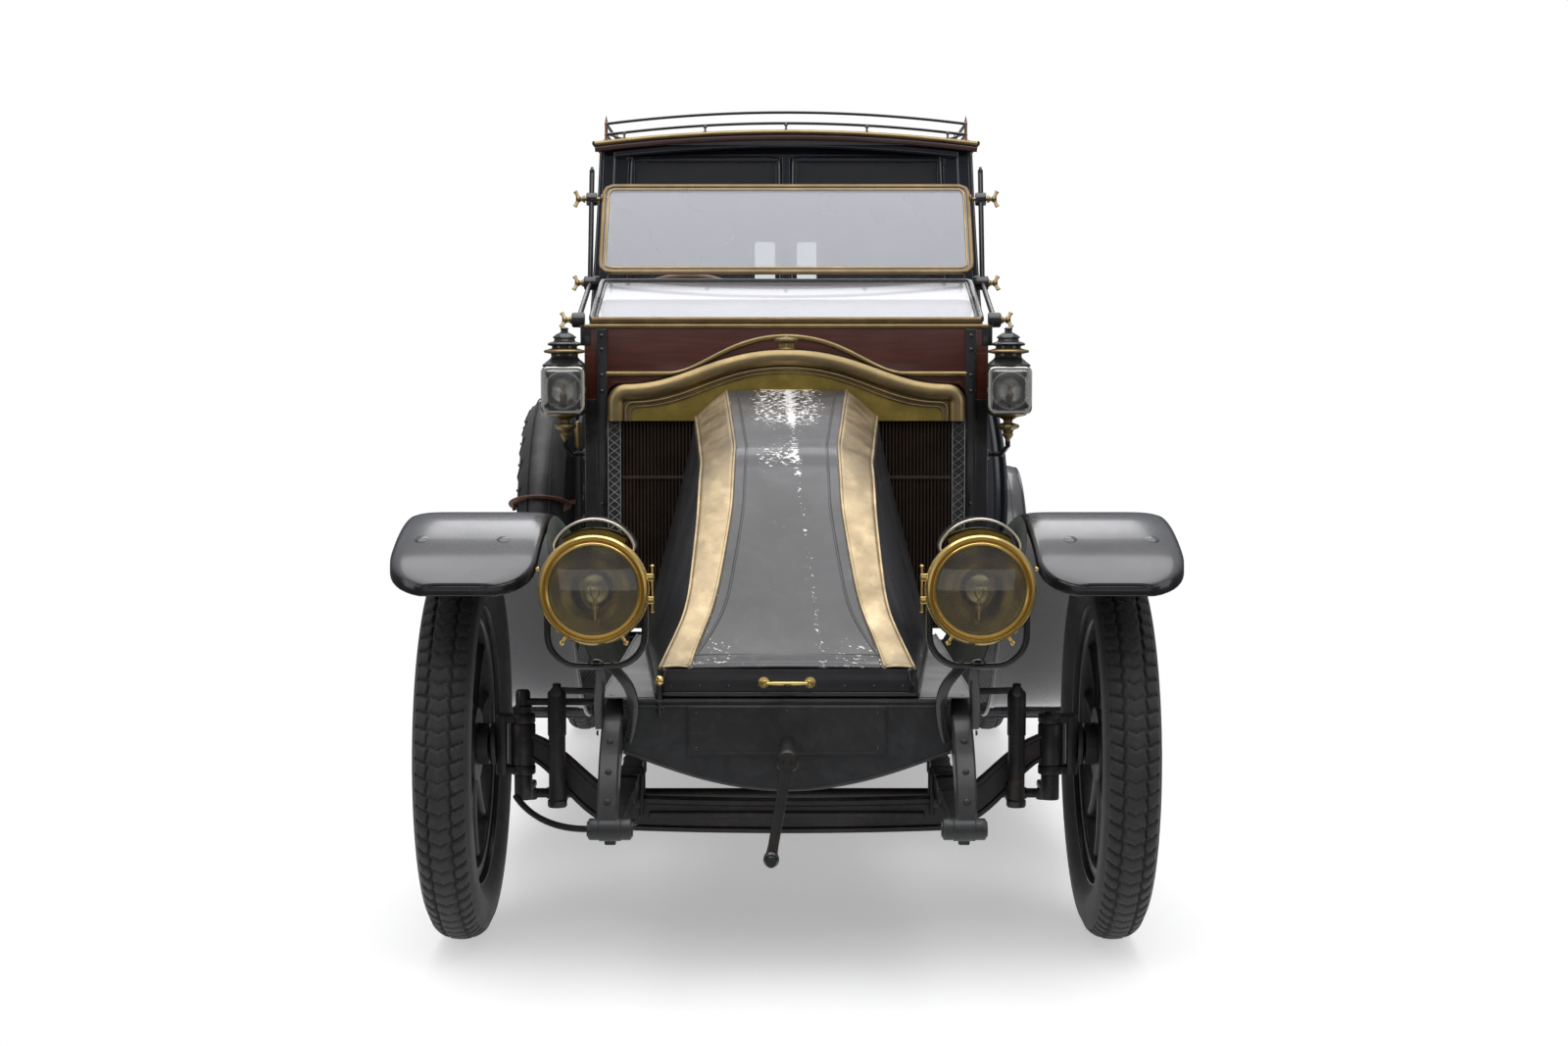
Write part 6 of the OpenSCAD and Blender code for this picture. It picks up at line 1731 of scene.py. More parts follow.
        self.shop.place(s, "steering_column_tube", "chassis", [CHASSIS, BLACK], ["steering_column"])
        w = Shape()
        t = np.linspace(0, 2 * np.pi, 96, endpoint=False)
        w.sweep(np.stack([182 * np.cos(t), 182 * np.sin(t), 0 * t], -1), disc(13, 14), closed=True)
        w.turn(arr((9, -95), (9, -32), (20, -30), (26, -24), (27, 6), (22, 11), (12, 14), (0.01, 15)),
            (0, 0, 0), Axis.Z, 32, kind=1)
        for a in (45, 135, 225, 315):
            spoke = Shape().sweep(arr((18, 0, -6), (60, 0, -8), (120, 0, -6), (172, 0, 0)),
                disc(1, 10) * [6, 4], kind=1, sizes=np.array([1.5, 1.15, 1.0, 1.3]))
            w.merged(spoke.moved(rotation(Axis.Z, a)))
        w.tube(arr((20, 4, 16), (70, 30, 18)), 3, 8, kind=1)
        w.beads(arr((70, 30, 16)), 7, Axis.Z, 1, kind=1)
        self.shop.place(w.moved(m, (-268, 1500, 1388)), "steering_hand_wheel", "steering_wheel",
            [RIM_WOOD, OLD_BRASS], ["steering_wheel"])

    def front_end(self) -> None:
        """Apron with beads and belly pan, blank plate, starting crank, ball lever and the splash plates."""
        s = Shape()
        y = -455
        half = 324.7
        belly = chain(bezier(arr((half, 472), (half - 60, 455), (150, 397), (0, 397)), 20),
            bezier(arr((0, 397), (-150, 397), (-half + 60, 455), (-half, 472)), 20))
        s.plate(np.vstack([arr((-half, 578), (half, 578)), belly]), y, y + 5, Axis.Y, 1)
        depth = np.array([y + 4, -300, -100, 100])
        s.grid(np.stack([np.stack([belly[:, 0], np.full(len(belly), d), belly[:, 1] + 2],
            -1) for d in depth]))
        s.grid(np.stack([np.stack([belly[:, 0], np.full(len(belly), d), belly[:, 1] + 5],
            -1) for d in depth]))
        s.sweep(np.stack([belly[:, 0], np.full(len(belly), y + 1), belly[:, 1] + 2], -1), disc(3.5, 8),
            up=(0, 1, 0))
        for z, r in ((577, 4.5), (566, 3)):
            s.sweep(np.stack([np.linspace(-half, half, 12), np.full(12, y), np.full(12, z)], -1), disc(r, 8))
        s.block((-half, y + 4, 575), (half, -300, 580), 1)
        s.turn(arr((9, 0), (9, 4), (6, 6)), (-252, y, 560), Axis.Y, 18, sign=-1)
        s.tube(arr((-252, y - 6, 545), (-252, y - 12, 570), (-252, y - 12, 612)), 4, 10)
        s.turn(arr((8, 0), (8, 3), (5, 5), (4, 30), (5, 34)), (-252, y - 12, 575), Axis.Z, 14)
        a = np.linspace(0, np.pi, 17)
        s.turn(np.stack([10.5 * np.sin(a) + 0.01, -10.5 * np.cos(a)], 1), (-252, y - 12, 618), Axis.Z, 24,
            kind=1)
        self.shop.place(s, "gravel_apron", "chassis", [IRONS_DARK, LAMP_BRASS], ["front_apron"], sharp=40)
        s = Shape()
        s.plate(rounded(396, 98, 4) + [0, 517], y - 5, y - 0.2, Axis.Y, 1)
        s.sweep(np.stack([(q := resample(np.vstack([r := rounded(388, 90, 3), r[:1]]), 60)[:-1])[:, 0],
            np.full(59, y - 5), q[:, 1] + 517], -1), disc(1.4, 6), up=(0, 1, 0), closed=True)
        s.beads(arr((-180, y - 5, 552), (180, y - 5, 552), (-180, y - 5, 482), (180, y - 5, 482),
            (0, y - 5, 556)), 3.5, Axis.Y, -1)
        self.shop.place(s, "blank_plate", "chassis", [PLATE], ["number_plate"])
        s = Shape()
        s.turn(arr((15, 0), (15, 195), (20, 198), (21, 203), (21, 226), (19, 230), (8, 232), (7, 238),
            (0.01, 239)), (0, y - 0.5, 500), Axis.Y, 28, sign=-1)
        s.sweep(arr((0, -676, 500), (-6, -684, 462), (-26, -695, 344), (-30, -696, 322)), rounded(22, 13, 5),
            up=(0, 1, 0), sizes=np.array([1.45, 1.0, 0.9, 1.05]))
        s.turn(arr((13, 10), (15, 6), (15, -8), (12, -12), (12, -26), (10, -30), (0.01, -30)),
            (-30, -696, 318), Axis.Y, 22, kind=1)
        s.turn(arr((10, 0), (10, 7), (0.01, 8)), (14, -676, 496), Axis.X, 6)
        self.shop.place(s.moved(shift=(0, 0, -9)), "starting_handle", "chassis", [CRANK, BLACK],
            ["starting_crank"])
        s = Shape()
        q = arr((262, -452), (372, -452), (372, 700), (352, 700))
        s.plate(q, 581, 583.4, Axis.Z, 0.5)
        s.sweep(arr((370, -452, 583), (370, 700, 583)), disc(3, 8))
        s.beads(np.stack([np.full(6, 350.0), np.linspace(-430, 620, 6), np.full(6, 583.4)], 1), 4, Axis.Z, 1,
            n=8)
        self.shop.place(s.mirror(), "splash_plates", "chassis", [SPLASH])
        s = Shape()
        s.tube(bezier(arr((-585, -60, 315), (-540, -120, 268), (-440, -300, 268), (-300, -430, 330)), 24), 7,
            10)
        self.shop.place(s, "brake_rod", "chassis", [CHASSIS])

    def engine(self) -> None:
        """Four cylinders cast in pairs on a crankcase, with manifolds, valve caps, plugs, magneto, and the
        flywheel fan."""
        s = Shape()
        s.block((-150, 110, 440), (150, 640, 640), 18, Axis.Y)
        s.block((-130, 130, 560), (130, 620, 700), 16, Axis.Y)
        for y in (250, 490):
            s.block((-100, y - 105, 690), (100, y + 105, 900), 46, Axis.Z)
            s.block((-70, y - 80, 890), (70, y + 80, 938), 30, Axis.Z)
            for k in (-50, 50):
                s.turn(arr((26, 0), (26, 12), (22, 16), (14, 17), (14, 26), (0.01, 28)), (-70, y + k, 880),
                    Axis.Z, 6, kind=1)
                s.turn(arr((8, 0), (8, 18), (5, 20), (5, 34), (0.01, 35)), (70, y + k, 880), Axis.Z, 10,
                    kind=1)
                s.tube(arr((-90, y + k, 790), (-135, y + k, 800), (-150, y + k, 780)), 17, 12, kind=2)
        s.tube(arr((-152, 170, 780), (-152, 590, 780)), 24, 14, kind=2)
        s.tube(arr((-152, 560, 780), (-150, 600, 700), (170, 640, 560)), 14, 10, kind=2)
        s.tube(arr((98, 300, 760), (135, 330, 750), (135, 430, 750), (98, 460, 760)), 14, 12, kind=1)
        s.turn(arr((0.01, -45), (26, -45), (30, -38), (30, 10), (20, 14), (20, 40), (0.01, 42)),
            (135, 380, 700), Axis.Z, 24, kind=1)
        s.block((105, 180, 640), (145, 270, 720), 12, kind=2)
        for x in (-122, 122):
            s.beads(np.stack([np.full(8, x), np.linspace(140, 610, 8), np.full(8, 640.0)], 1), 8, Axis.Z, 1,
                lobes=6, n=12)
        for k in (-1, 1):
            s.block((k * 150, 262, 502), (k * 359, 318, 558), 8, Axis.X)
        self.shop.place(s, "engine_castings", "chassis", [IRON, OLD_BRASS, RUSTY], ["engine_block"])
        s = Shape()
        s.block((-128, 1182, 402), (128, 1598, 568), 22, Axis.Y)
        s.turn(arr((60, 642), (60, 660), (200, 662), (200, 690), (60, 692), (58, 760), (40, 780), (40, 1180)),
            (0, 0, 500), Axis.Y, 48)
        s.beads(np.stack([np.tile([-100.0, 100.0], 6), np.repeat(np.linspace(1210, 1570, 6), 2),
            np.full(12, 568.0)], 1), 8, Axis.Z, 1, lobes=6, n=12)
        for k in (-1, 1):
            s.block((k * 126, 1302, 502), (k * 359, 1358, 558), 8, Axis.X)
        self.shop.place(s, "gearbox_case", "chassis", [IRON], ["gearbox"])
        s = Shape()
        w = self.wheelbase
        s.turn(arr((0.01, -790), (15, -790), (16, -638), (37, -637), (38, -190), (60, -165), (74, -110),
            (118, -80), (134, -40), (137, 0), (134, 40), (118, 80), (74, 110), (60, 165), (38, 190),
            (37, 637), (16, 638), (15, 790), (0.01, 790)), (0, w, 420), Axis.X, 56)
        s.tube(arr((0, 1604, 469), (0, w - 60, 423)), 33, 24)
        a = np.radians(np.arange(0, 360, 30))
        s.beads(np.stack([np.zeros(12), w + 128 * np.cos(a), 420 + 128 * np.sin(a)], 1) + [14, 0, 0], 8,
            Axis.X, 1, lobes=6, n=12)
        self.shop.place(s, "rear_axle_casing", "chassis", [CHASSIS], ["rear_axle"])
        s = Shape()
        s.tube(arr((150, 560, 500), (198, 562, 500), (225, 742, 430), (225, w - 1149, 430)), 21, 16)
        s.turn(arr((0.01, 1), (60, 2), (70, 12), (70, 548), (60, 558), (0.01, 559)), (225, w - 1150, 415),
            Axis.Y, 40)
        s.tube(arr((225, w - 600, 360), (225, 3200, 356)), 16, 14)
        s.turn(arr((72, 96), (73, 98), (73, 122), (72, 124)), (225, w - 1150, 415), Axis.Y, 40)
        s.turn(arr((72, 436), (73, 438), (73, 462), (72, 464)), (225, w - 1150, 415), Axis.Y, 40)
        s.block((220, w - 695, 470), (230, w - 665, 492), 1)
        self.shop.place(s, "exhaust_silencer", "chassis", [RUSTY], ["silencer"])
        s = Shape()
        s.tube(arr((-365, 1240, 520), (-560, 1240, 520)), 13, 16)
        for x, top in ((-542, (1330, 1120)), (-558, (1200, 1060))):
            s.sweep(arr((x, 1240, 516), (x, 1240 + (top[0] - 1240) * 0.5, 520 + (top[1] - 520) * 0.5),
                (x, top[0], top[1])), rounded(9, 22, 3), up=(1, 0, 0), sizes=np.array([1.3, 1.0, 0.75]))
            s.turn(arr((8, -8), (10, 0), (10, 20), (13, 40), (9, 62), (0.01, 66)), (x, top[0], top[1] - 20),
                Axis.Z, 16, kind=1)
        q = arc((1240, 520), 330, 60, 108, 16)
        s.sweep(np.stack([np.full(16, -551.0), q[:, 0], q[:, 1]], -1), rounded(5, 24, 1), up=(1, 0, 0))
        self.shop.place(s, "hand_levers", "chassis", [BLACK, OLD_BRASS], ["control_levers"])

    def build(self) -> None:
        """Places the whole chassis."""
        self.frame()
        self.springs()
        self.front_axle()
        self.steering()
        self.front_end()
        self.engine()




@dataclass
class Cab:
    """Closed rear body: skins over its swelling sides, doors, division, roof with its rail, and the
    driver's bench box."""

    shop: Workshop
    front: float = 2000.0
    rear: float = 3450.0
    sill: float = 602.0
    edge: float = 1916.0
    wheelbase: float = 3050.0
    corner: float = 140.0
    arch: float = 511.0

    def __post_init__(self) -> None:
        """Works out the half width against height."""
        self.side = chain(bezier(arr((632, 602), (676, 692), (682, 860), (664, 1000)), 20),
            bezier(arr((664, 1000), (646, 1140), (612, 1220), (600, 1330)), 20),
            bezier(arr((600, 1330), (588, 1440), (568, 1700), (560, 1916)), 20))

    def w(self, z: Array) -> Array:
        """Half width of the cab at height z."""
        return np.interp(z, self.side[:, 1], self.side[:, 0])

    def skin(self, s: Shape, ys: Array, zs: Array, hole: Optional[tuple[float, float, float, float]] = None,
            lift: float = 0.0) -> None:
        """Adds a side skin over y and z, without the quads inside a window (y0, y1, z0, z1)."""
        y, z = np.meshgrid(ys, zs, indexing="ij")
        gap = self.arch**2 - (y - self.wheelbase) ** 2
        z = np.maximum(z, np.where(gap > 0, 420 + np.sqrt(np.maximum(gap, 0)), 0))
        p = np.stack([self.w(z) + lift, y, z], -1)
        n, m = y.shape
        idx = np.arange(n * m).reshape(n, m)
        quads = np.stack([idx[:-1, :-1], idx[1:, :-1], idx[1:, 1:], idx[:-1, 1:]], -1).reshape(-1, 4)
        mid = p.reshape(-1, 3)[quads].mean(1)
        if hole:
            inside = (mid[:, 1] > hole[0]) & (mid[:, 1] < hole[1]) & (mid[:, 2] > hole[2]) & (mid[:,
                2] < hole[3])
            quads = quads[~inside]
        s.add(p.reshape(-1, 3), quads)

    def rim(self, s: Shape, y0: float, y1: float, z0: float, z1: float, r: float, width: float,
            off: float = 0.0, kind: int = 0) -> None:
        """Adds a moulding round a rectangle on the side, following the swell."""
        flat = resample(np.vstack([q := rounded(y1 - y0, z1 - z0, r, 5) + [(y0 + y1) / 2, (z0 + z1) / 2],
            q[:1]]), 120)[:-1]
        path = np.stack([self.w(flat[:, 1]) + off, flat[:, 0], flat[:, 1]], -1)
        s.sweep(path, disc(1, 10) * [width / 2, width / 3], up=(1, 0, 0), closed=True, kind=kind)

    def shell(self) -> None:
        """Side skins round the doors, the rear quarters with their corners, and the back with its window."""
        lev = np.unique(np.concatenate([np.linspace(self.sill, self.edge, 56), [664, 1854]]))
        s = Shape()
        self.skin(s, np.linspace(self.front + 33, 2058, 4), lev)
        self.skin(s, np.linspace(2058, 2540, 10), lev[lev <= 664])
        self.skin(s, np.linspace(2058, 2540, 10), lev[lev >= 1854])
        self.skin(s, np.linspace(2540, 3310, 60), lev)
        self.shop.place(s.mirror(), "cab_side_skins", "chassis", [BODY], ["cab_sides"], sharp=40, solid=-1)
        s = Shape()
        lev = np.unique(np.concatenate([np.linspace(self.sill, self.edge, 48), [1560, 1720]]))
        a = np.radians(np.linspace(0, 90, 14))[:, None]
        r = self.corner
        c = self.w(lev)[None] - r
        bend = np.stack([c + r * np.cos(a), 3310 + r * np.sin(a) + 0 * c, lev[None] + 0 * a + 0 * c], -1)
        f = np.linspace(1, 0, 9)[1:, None]
        flat = np.stack([112 + (c - 112) * f, np.full((8, len(lev)), self.rear), lev[None] + 0 * f], -1)
        s.grid(np.concatenate([bend, flat]))
        s.mirror()
        for low, high in ((self.sill, 1560), (1720, self.edge)):
            z = lev[(lev >= low) & (lev <= high)]
            x = np.linspace(112, -112, 5)[:, None]
            s.grid(np.stack([x + 0 * z[None], np.full((5, len(z)), self.rear), z[None] + 0 * x], -1))
        self.shop.place(s, "cab_back_skin", "chassis", [BODY], ["cab_back"], sharp=40, solid=-1)
        s = Shape()
        for z, width in ((1235, 16), (1252, 7), (700, 7)):
            y = np.linspace(self.front + 8, 3310, 40)
            if z < 1000:
                y = y[y < 2545]
            t = np.radians(np.linspace(0, 90, 14))
            cx = self.w(np.array([z]))[0] - r
            path = np.stack([np.full(len(y), cx + r), y, np.full(len(y), float(z))], -1)
            if z > 1000:
                path = np.vstack([path, np.stack([cx + r * np.cos(t), 3310 + r * np.sin(t),
                    np.full(14, float(z))], -1)[1:], [[0, self.rear, z]]])
            keep = (path[:, 1] < 2056) | (path[:, 1] > 2544)
            cut = np.where(np.diff(keep.astype(int)) != 0)[0] + 1
            for part, ok in zip(np.split(path, cut), np.split(keep, cut)):
                if ok[0] and len(part) > 2:
                    s.sweep(part, disc(1, 10) * [width / 2, 3.5], up=(0, 0, 1))
        for y in (3215,):
            zz = np.linspace(940, 1910, 30)
            s.sweep(np.stack([self.w(zz), np.full(30, y), zz], -1), disc(1, 8) * [3, 5], up=(0, 1, 0))
        s.mirror()
        flat = resample(np.vstack([q := rounded(240, 176, 12, 4) + [0, 1640], q[:1]]), 80)[:-1]
        s.sweep(np.stack([flat[:, 0], np.full(79, self.rear), flat[:, 1]], -1), disc(1, 10) * [7, 4],
            up=(0, 1, 0), closed=True, kind=0)
        self.shop.place(s, "cab_mouldings", "chassis", [BODY])
        s = Shape()
        for z in (794, 1120):
            x = 686
            for k in (-1, 1):
                s.turn(arr((0.01, 60.6), (8, 60.6), (8, 76), (5, 79), (0.01, 80)), (k * x, 2540, z), Axis.Z,
                    14)
            for k in (-1, 1):
                s.block((k * (x - (30 if z < 1000 else 62)), 2541, z + 61), (k * (x + 2), 2562, z + 76), 2)
        self.shop.place(s, "cab_hinge_plates", "chassis", [OLD_BRASS])

    def doors(self) -> None:
        """Both doors: skin with its window, mouldings, hinges, handle and glass."""
        y0, y1, z0, z1 = 2064.0, 2534.0, 670.0, 1848.0
        hole = (2120.0, 2478.0, 1265.0, 1816.0)
        ys = np.unique(np.concatenate([np.linspace(y0, y1, 20), hole[:2]]))
        zs = np.unique(np.concatenate([np.linspace(z0, z1, 50), hole[2:]]))
        for side in Side:
            name = side.name.lower()
            body = f"{name}_door"
            flip = np.diag([side.value, 1.0, 1.0])
            s = Shape()
            self.skin(s, ys, zs, hole)
            self.shop.place(s.moved(flip), f"{name}_door_skin", body, [BODY], [body], sharp=40, solid=-1)
            s = Shape()
            self.rim(s, *(hole[0] - 5, hole[1] + 5, hole[2] - 5, hole[3] + 5), 16, 13)
            self.rim(s, y0 + 36, y1 - 36, z0 + 40, 1190, 22, 6)
            for z in (1235, 1252):
                s.sweep(np.stack([np.full(10, self.w(np.array([z]))[0]), np.linspace(y0 + 4, y1 - 4, 10),
                    np.full(10, float(z))], -1), disc(1, 10) * [8 if z == 1235 else 3.5, 3.5], up=(0, 0, 1))
            self.shop.place(s.moved(flip), f"{name}_door_mouldings", body, [BODY])
            s = Shape()
            for z in (794, 1120):
                s.turn(arr((0.01, 0), (8, 0), (8, 60), (0.01, 60)), (686, 2540, z), Axis.Z, 14)
                s.block((655 if z < 1000 else 620, 2506, z + 10), (686, 2533, z + 50), 3)
            s.sweep(bezier(arr((655, 2106, 1140), (700, 2106, 1140), (702, 2110, 1142), (700, 2196, 1136)),
                16), disc(1, 12) * [8, 6], up=(0, 0, 1), sizes=np.linspace(0.9, 1.1, 16))
            s.turn(arr((18, -6), (18, 2), (12, 6), (0.01, 7)), (self.w(np.array([1140.0]))[0], 2106, 1140),
                Axis.X, 24)
            self.shop.place(s.moved(flip), f"{name}_door_fittings", body, [OLD_BRASS])
            s = Shape()
            y, z = np.meshgrid(np.linspace(hole[0] - 1, hole[1] + 1, 6),
                np.linspace(hole[2] - 1, hole[3] + 1, 14), indexing="ij")
            s.grid(np.stack([self.w(z) - 17.5, y, z], -1))
            self.shop.place(s.moved(flip), f"{name}_door_pane", body, [CLEAR], [f"{name}_door_glass"],
                solid=4)

    def division(self) -> None:
        """Front wall with two windows, its frames, centre post and fillets, and every fixed pane of the
        cab."""
        s = Shape()
        zs = np.unique(np.concatenate([np.linspace(self.sill, self.edge, 46), [1295, 1880]]))
        x_of = []
        for z in zs:
            w = self.w(z)
            win = np.interp(z, [1295, 1880], [480, 460])
            x_of.append(np.concatenate([np.linspace(w, win, 5), np.linspace(win, 24, 9)[1:]]))
        x = np.stack(x_of)
        right = np.hstack([x, -x[:, ::-1]])
        p = np.stack([right, np.full(right.shape, self.front), np.repeat(zs[:, None], right.shape[1], 1)], -1)
        n, m = right.shape
        idx = np.arange(n * m).reshape(n, m)
        quads = np.stack([idx[:-1, :-1], idx[1:, :-1], idx[1:, 1:], idx[:-1, 1:]], -1).reshape(-1, 4)
        mid = p.reshape(-1, 3)[quads].mean(1)
        win = np.interp(mid[:, 2], [1295, 1880], [480, 460])
        inside = (np.abs(mid[:, 0]) < win) & (np.abs(mid[:, 0]) > 24) & (mid[:, 2] > 1295) & (mid[:,
            2] < 1880)
        s.add(p.reshape(-1, 3), quads[~inside])
        self.shop.place(s, "division_wall", "chassis", [BODY], ["division"], sharp=40, solid=-1)
        s = Shape()
        for k in (-1, 1):
            ring = arr((24, 1295), (480, 1295), (460, 1880), (24, 1880), (24, 1295)) * [k, 1]
            for off, prof in ((-4, rounded(12, 8, 3)), (-9, disc(3, 8))):
                q = resample(ring, 100)[:-1]
                c = q.mean(0)
                q = q + unit(q - c) * (-3 if off == -4 else 6)
                s.sweep(np.stack([q[:, 0], np.full(99, self.front + off + 4), q[:, 1]], -1), prof,
                    up=(0, 1, 0), closed=True)
            zz = np.linspace(640, 1900, 40)
            s.sweep(np.stack([k * (self.w(zz) - 8), np.full(40, self.front - 2), zz], -1),
                disc(1, 10) * [8, 6], up=(0, 1, 0))
            s.sweep(np.stack([k * (self.w(zz[20:]) - 46), np.full(20, self.front - 1), zz[20:]], -1),
                disc(3.4, 8), up=(0, 1, 0))
        s.sweep(arr((0, self.front - 3, 1290), (0, self.front - 3, 1884)), rounded(26, 10, 4), up=(0, 1, 0))
        s.sweep(arr((-596, self.front - 3, 1262), (596, self.front - 3, 1262)), rounded(18, 12, 4),
            up=(0, 1, 0))
        self.shop.place(s, "division_frames", "chassis", [BODY])
        s = Shape()
        for k in (-1, 1):
            flat = arr((24, 1294), (481, 1294), (461, 1881), (24, 1881)) * [k, 1]
            s.plate(flat, 2015, 2020, Axis.Y, 0.5)
        s.plate(arr((-113, 1559), (113, 1559), (113, 1721), (-113, 1721)), 3430, 3435, Axis.Y, 0.5)
        self.shop.place(s, "fixed_panes", "chassis", [CLEAR], ["fixed_glass"])

    def roof(self) -> None:
        """Crowned roof slab, drip mouldings, the front's two coloured bands with their studs, and the
        luggage rail."""
        half, rise = 574.0, 36.0
        big = (half * half + rise * rise) / (2 * rise)
        s = Shape()
        plan = resample(np.vstack([[half, 1950], [half, 3324], arc((half - 140, 3324), 140, 4, 90, 12),
            [-half + 140, 3464], arc((-half + 140, 3324), 140, 94, 180, 12), [-half, 1950], [-half, 1944],
            [-half + 6, 1940], [half - 6, 1940], [half, 1944], [half, 1950]]), 160)[:-1]
        c = np.array([0, 2700])
        rows = []
        for k in (1.0, 0.985, 0.9, 0.75, 0.5, 0.25, 0.0):
            q = c + (plan - c) * k
            z = 1960 - big + np.sqrt(big * big - q[:, 0] ** 2) - (4 if k == 1.0 else 0)
            rows.append(np.stack([q[:, 0], q[:, 1], z], -1))
        under = [np.stack([plan[:, 0], plan[:, 1], np.full(len(plan), 1917.0)], -1),
            np.stack([(c + (plan - c) * 0.6)[:, 0], (c + (plan - c) * 0.6)[:, 1], np.full(len(plan), 1917.0)],
                -1)]
        s.grid(np.stack([under[1], under[0]] + rows), wrap_v=True)
        s.add(under[1], np.arange(len(plan))[None])
        self.shop.place(s, "roof_deck", "chassis", [ROOF], ["roof"], sharp=45)
        s = Shape()
        x = np.linspace(-half + 4, half - 4, 40)
        crown = 1960 - big + np.sqrt(big * big - x**2)
        s.sweep(np.stack([x, np.full(40, 1938.0), crown - 6], -1), disc(1, 12) * [7, 7], up=(0, 1, 0), kind=1)
        s.sweep(np.stack([x, np.full(40, 1941.0), crown - 22], -1), rounded(16, 10, 4), up=(0, 1, 0), kind=0)
        s.sweep(np.stack([x[2:-2], np.full(36, 1970.0), crown[2:-2] - 40], -1), rounded(22, 26, 5),
            up=(0, 1, 0), kind=2)
        for k in np.linspace(-0.84, 0.84, 5):
            xx = k * half
            s.turn(arr((7, 0), (7, 4), (3, 7), (3, 14), (6, 17), (6, 22), (0.01, 24)),
                (xx, 1942, 1957 - big + math.sqrt(big * big - xx * xx)), Axis.Z, 14, kind=3)
        side = np.vstack([[half, 1945], [half, 3324], arc((half - 140, 3324), 140, 6, 90, 14), [0, 3464]])
        s2 = Shape()
        s2.sweep(np.stack([side[:, 0], side[:, 1], np.full(len(side), 1921.0)], -1), disc(1, 10) * [5, 7],
            kind=0)
        s.merged(s2.mirror())
        self.shop.place(s, "roof_mouldings", "chassis", [MAROON, OLD_BRASS, BODY, STEEL])
        s = Shape()
        rail = half - 36
        foot = 1960 - big + math.sqrt(big * big - rail * rail) + 1
        y0, y1 = 1970.0, 3330.0
        posts = np.linspace(y0, y1, 4)
        for k in (-1, 1):
            for y in posts:
                s.turn(arr((11, -0.5), (11, 3), (6, 6), (4.6, 12), (4.6, 18), (6.5, 20), (4.6, 22), (4.6, 50),
                    (6.5, 52), (4.6, 54), (3.4, 62), (0.01, 78)), (k * rail, y, foot), Axis.Z, 14, kind=1)
            for h in (20, 52):
                s.tube(arr((k * rail, y0, foot + h), (k * rail, y1, foot + h)), 4.4, 10)
        arc_r = (rail * rail + 34 * 34) / 68
        xs = np.linspace(-rail, rail, 41)
        for y in (y0, y1):
            for h in (20, 52):
                s.sweep(np.stack([xs, np.full(41, y), foot + h + 34 - arc_r + np.sqrt(arc_r**2 - xs**2)], -1),
                    disc(4.4, 10), up=(0, 1, 0))
            for k in (-1, 1):
                s.tube(arr((k * (rail - 62), y, foot + 2 + 2), (k * rail, y, foot + 22)), 3, 8)
        self.shop.place(s, "luggage_rail", "chassis", [BLACK, POST_WOOD], ["roof_rail"])

    def bench(self) -> None:
        """Driver's bench box with its armchair sides, plinth moulding and floor boards."""
        s = Shape()
        side = np.vstack([[1994, 602], [1994, 1290],
            bezier(arr((1934, 1290), (1794, 1250), (1794, 1120), (1614, 1100)), 16),
            bezier(arr((1560, 1090), (1480, 1060), (1480, 980), (1500, 602)), 14)])
        s.plate(side, 508, 530, Axis.X, 5)
        top = np.vstack([[1992, 1290], side[2:-1], [1500, 640]])
        s.sweep(np.stack([np.full(len(top), 519.0), top[:, 0], top[:, 1]], -1), disc(1, 10) * [14, 9],
            up=(1, 0, 0), kind=1)
        s.plate(np.array([[1940, 660], [1940, 1180], [1860, 1090], [1700, 1040], [1545, 1020], [1545, 660]]),
            529, 533, Axis.X, 2)
        s.mirror()
        s.block((-508, 1510, 603), (508, 1994, 905), 5)
        s.block((-470, 1506, 660), (470, 1511, 860), 2)
        self.shop.place(s, "bench_box", "chassis", [BODY, HIDE], ["seat_box"])
        s = Shape()
        foot = 869.0
        for k in range(7):
            y = foot + 42 + k * (2000 - foot - 42) / 7
            s.block((-519, y + 1, 580.5), (519, y + (2000 - foot - 42) / 7 - 1, 602), 2)
        for k in range(4):
            y = 2001 + k * 136.5
            s.block((-629, y + 1, 580.5), (629, y + 135, 602), 2)
        for k in range(6):
            y = 2547 + k * 140
            s.block((-559, y + 1, 580.5), (559, y + 138, 602), 2)
        s.block((-468, 3390, 580.5), (468, 3446, 602), 2)
        q = arr((foot + 1, 780), (foot + 1, 762), (foot + 180, 603), (foot + 202, 603))
        s.plate(q, -499, 499, Axis.X, 1)
        for x in (-190, -100):
            s.tube(arr((x, 980, 640), (x, 960, 700), (x, 975, 730)), 6, 8, kind=1)
            s.block((x - 22, 962, 722), (x + 22, 978, 770), 4, kind=1)
        self.shop.place(s, "floor_planks", "chassis", [BOARDS, CHASSIS], ["floor"])

    def build(self) -> None:
        """Places the body."""
        self.shell()
        self.doors()
        self.division()
        self.roof()
        self.bench()


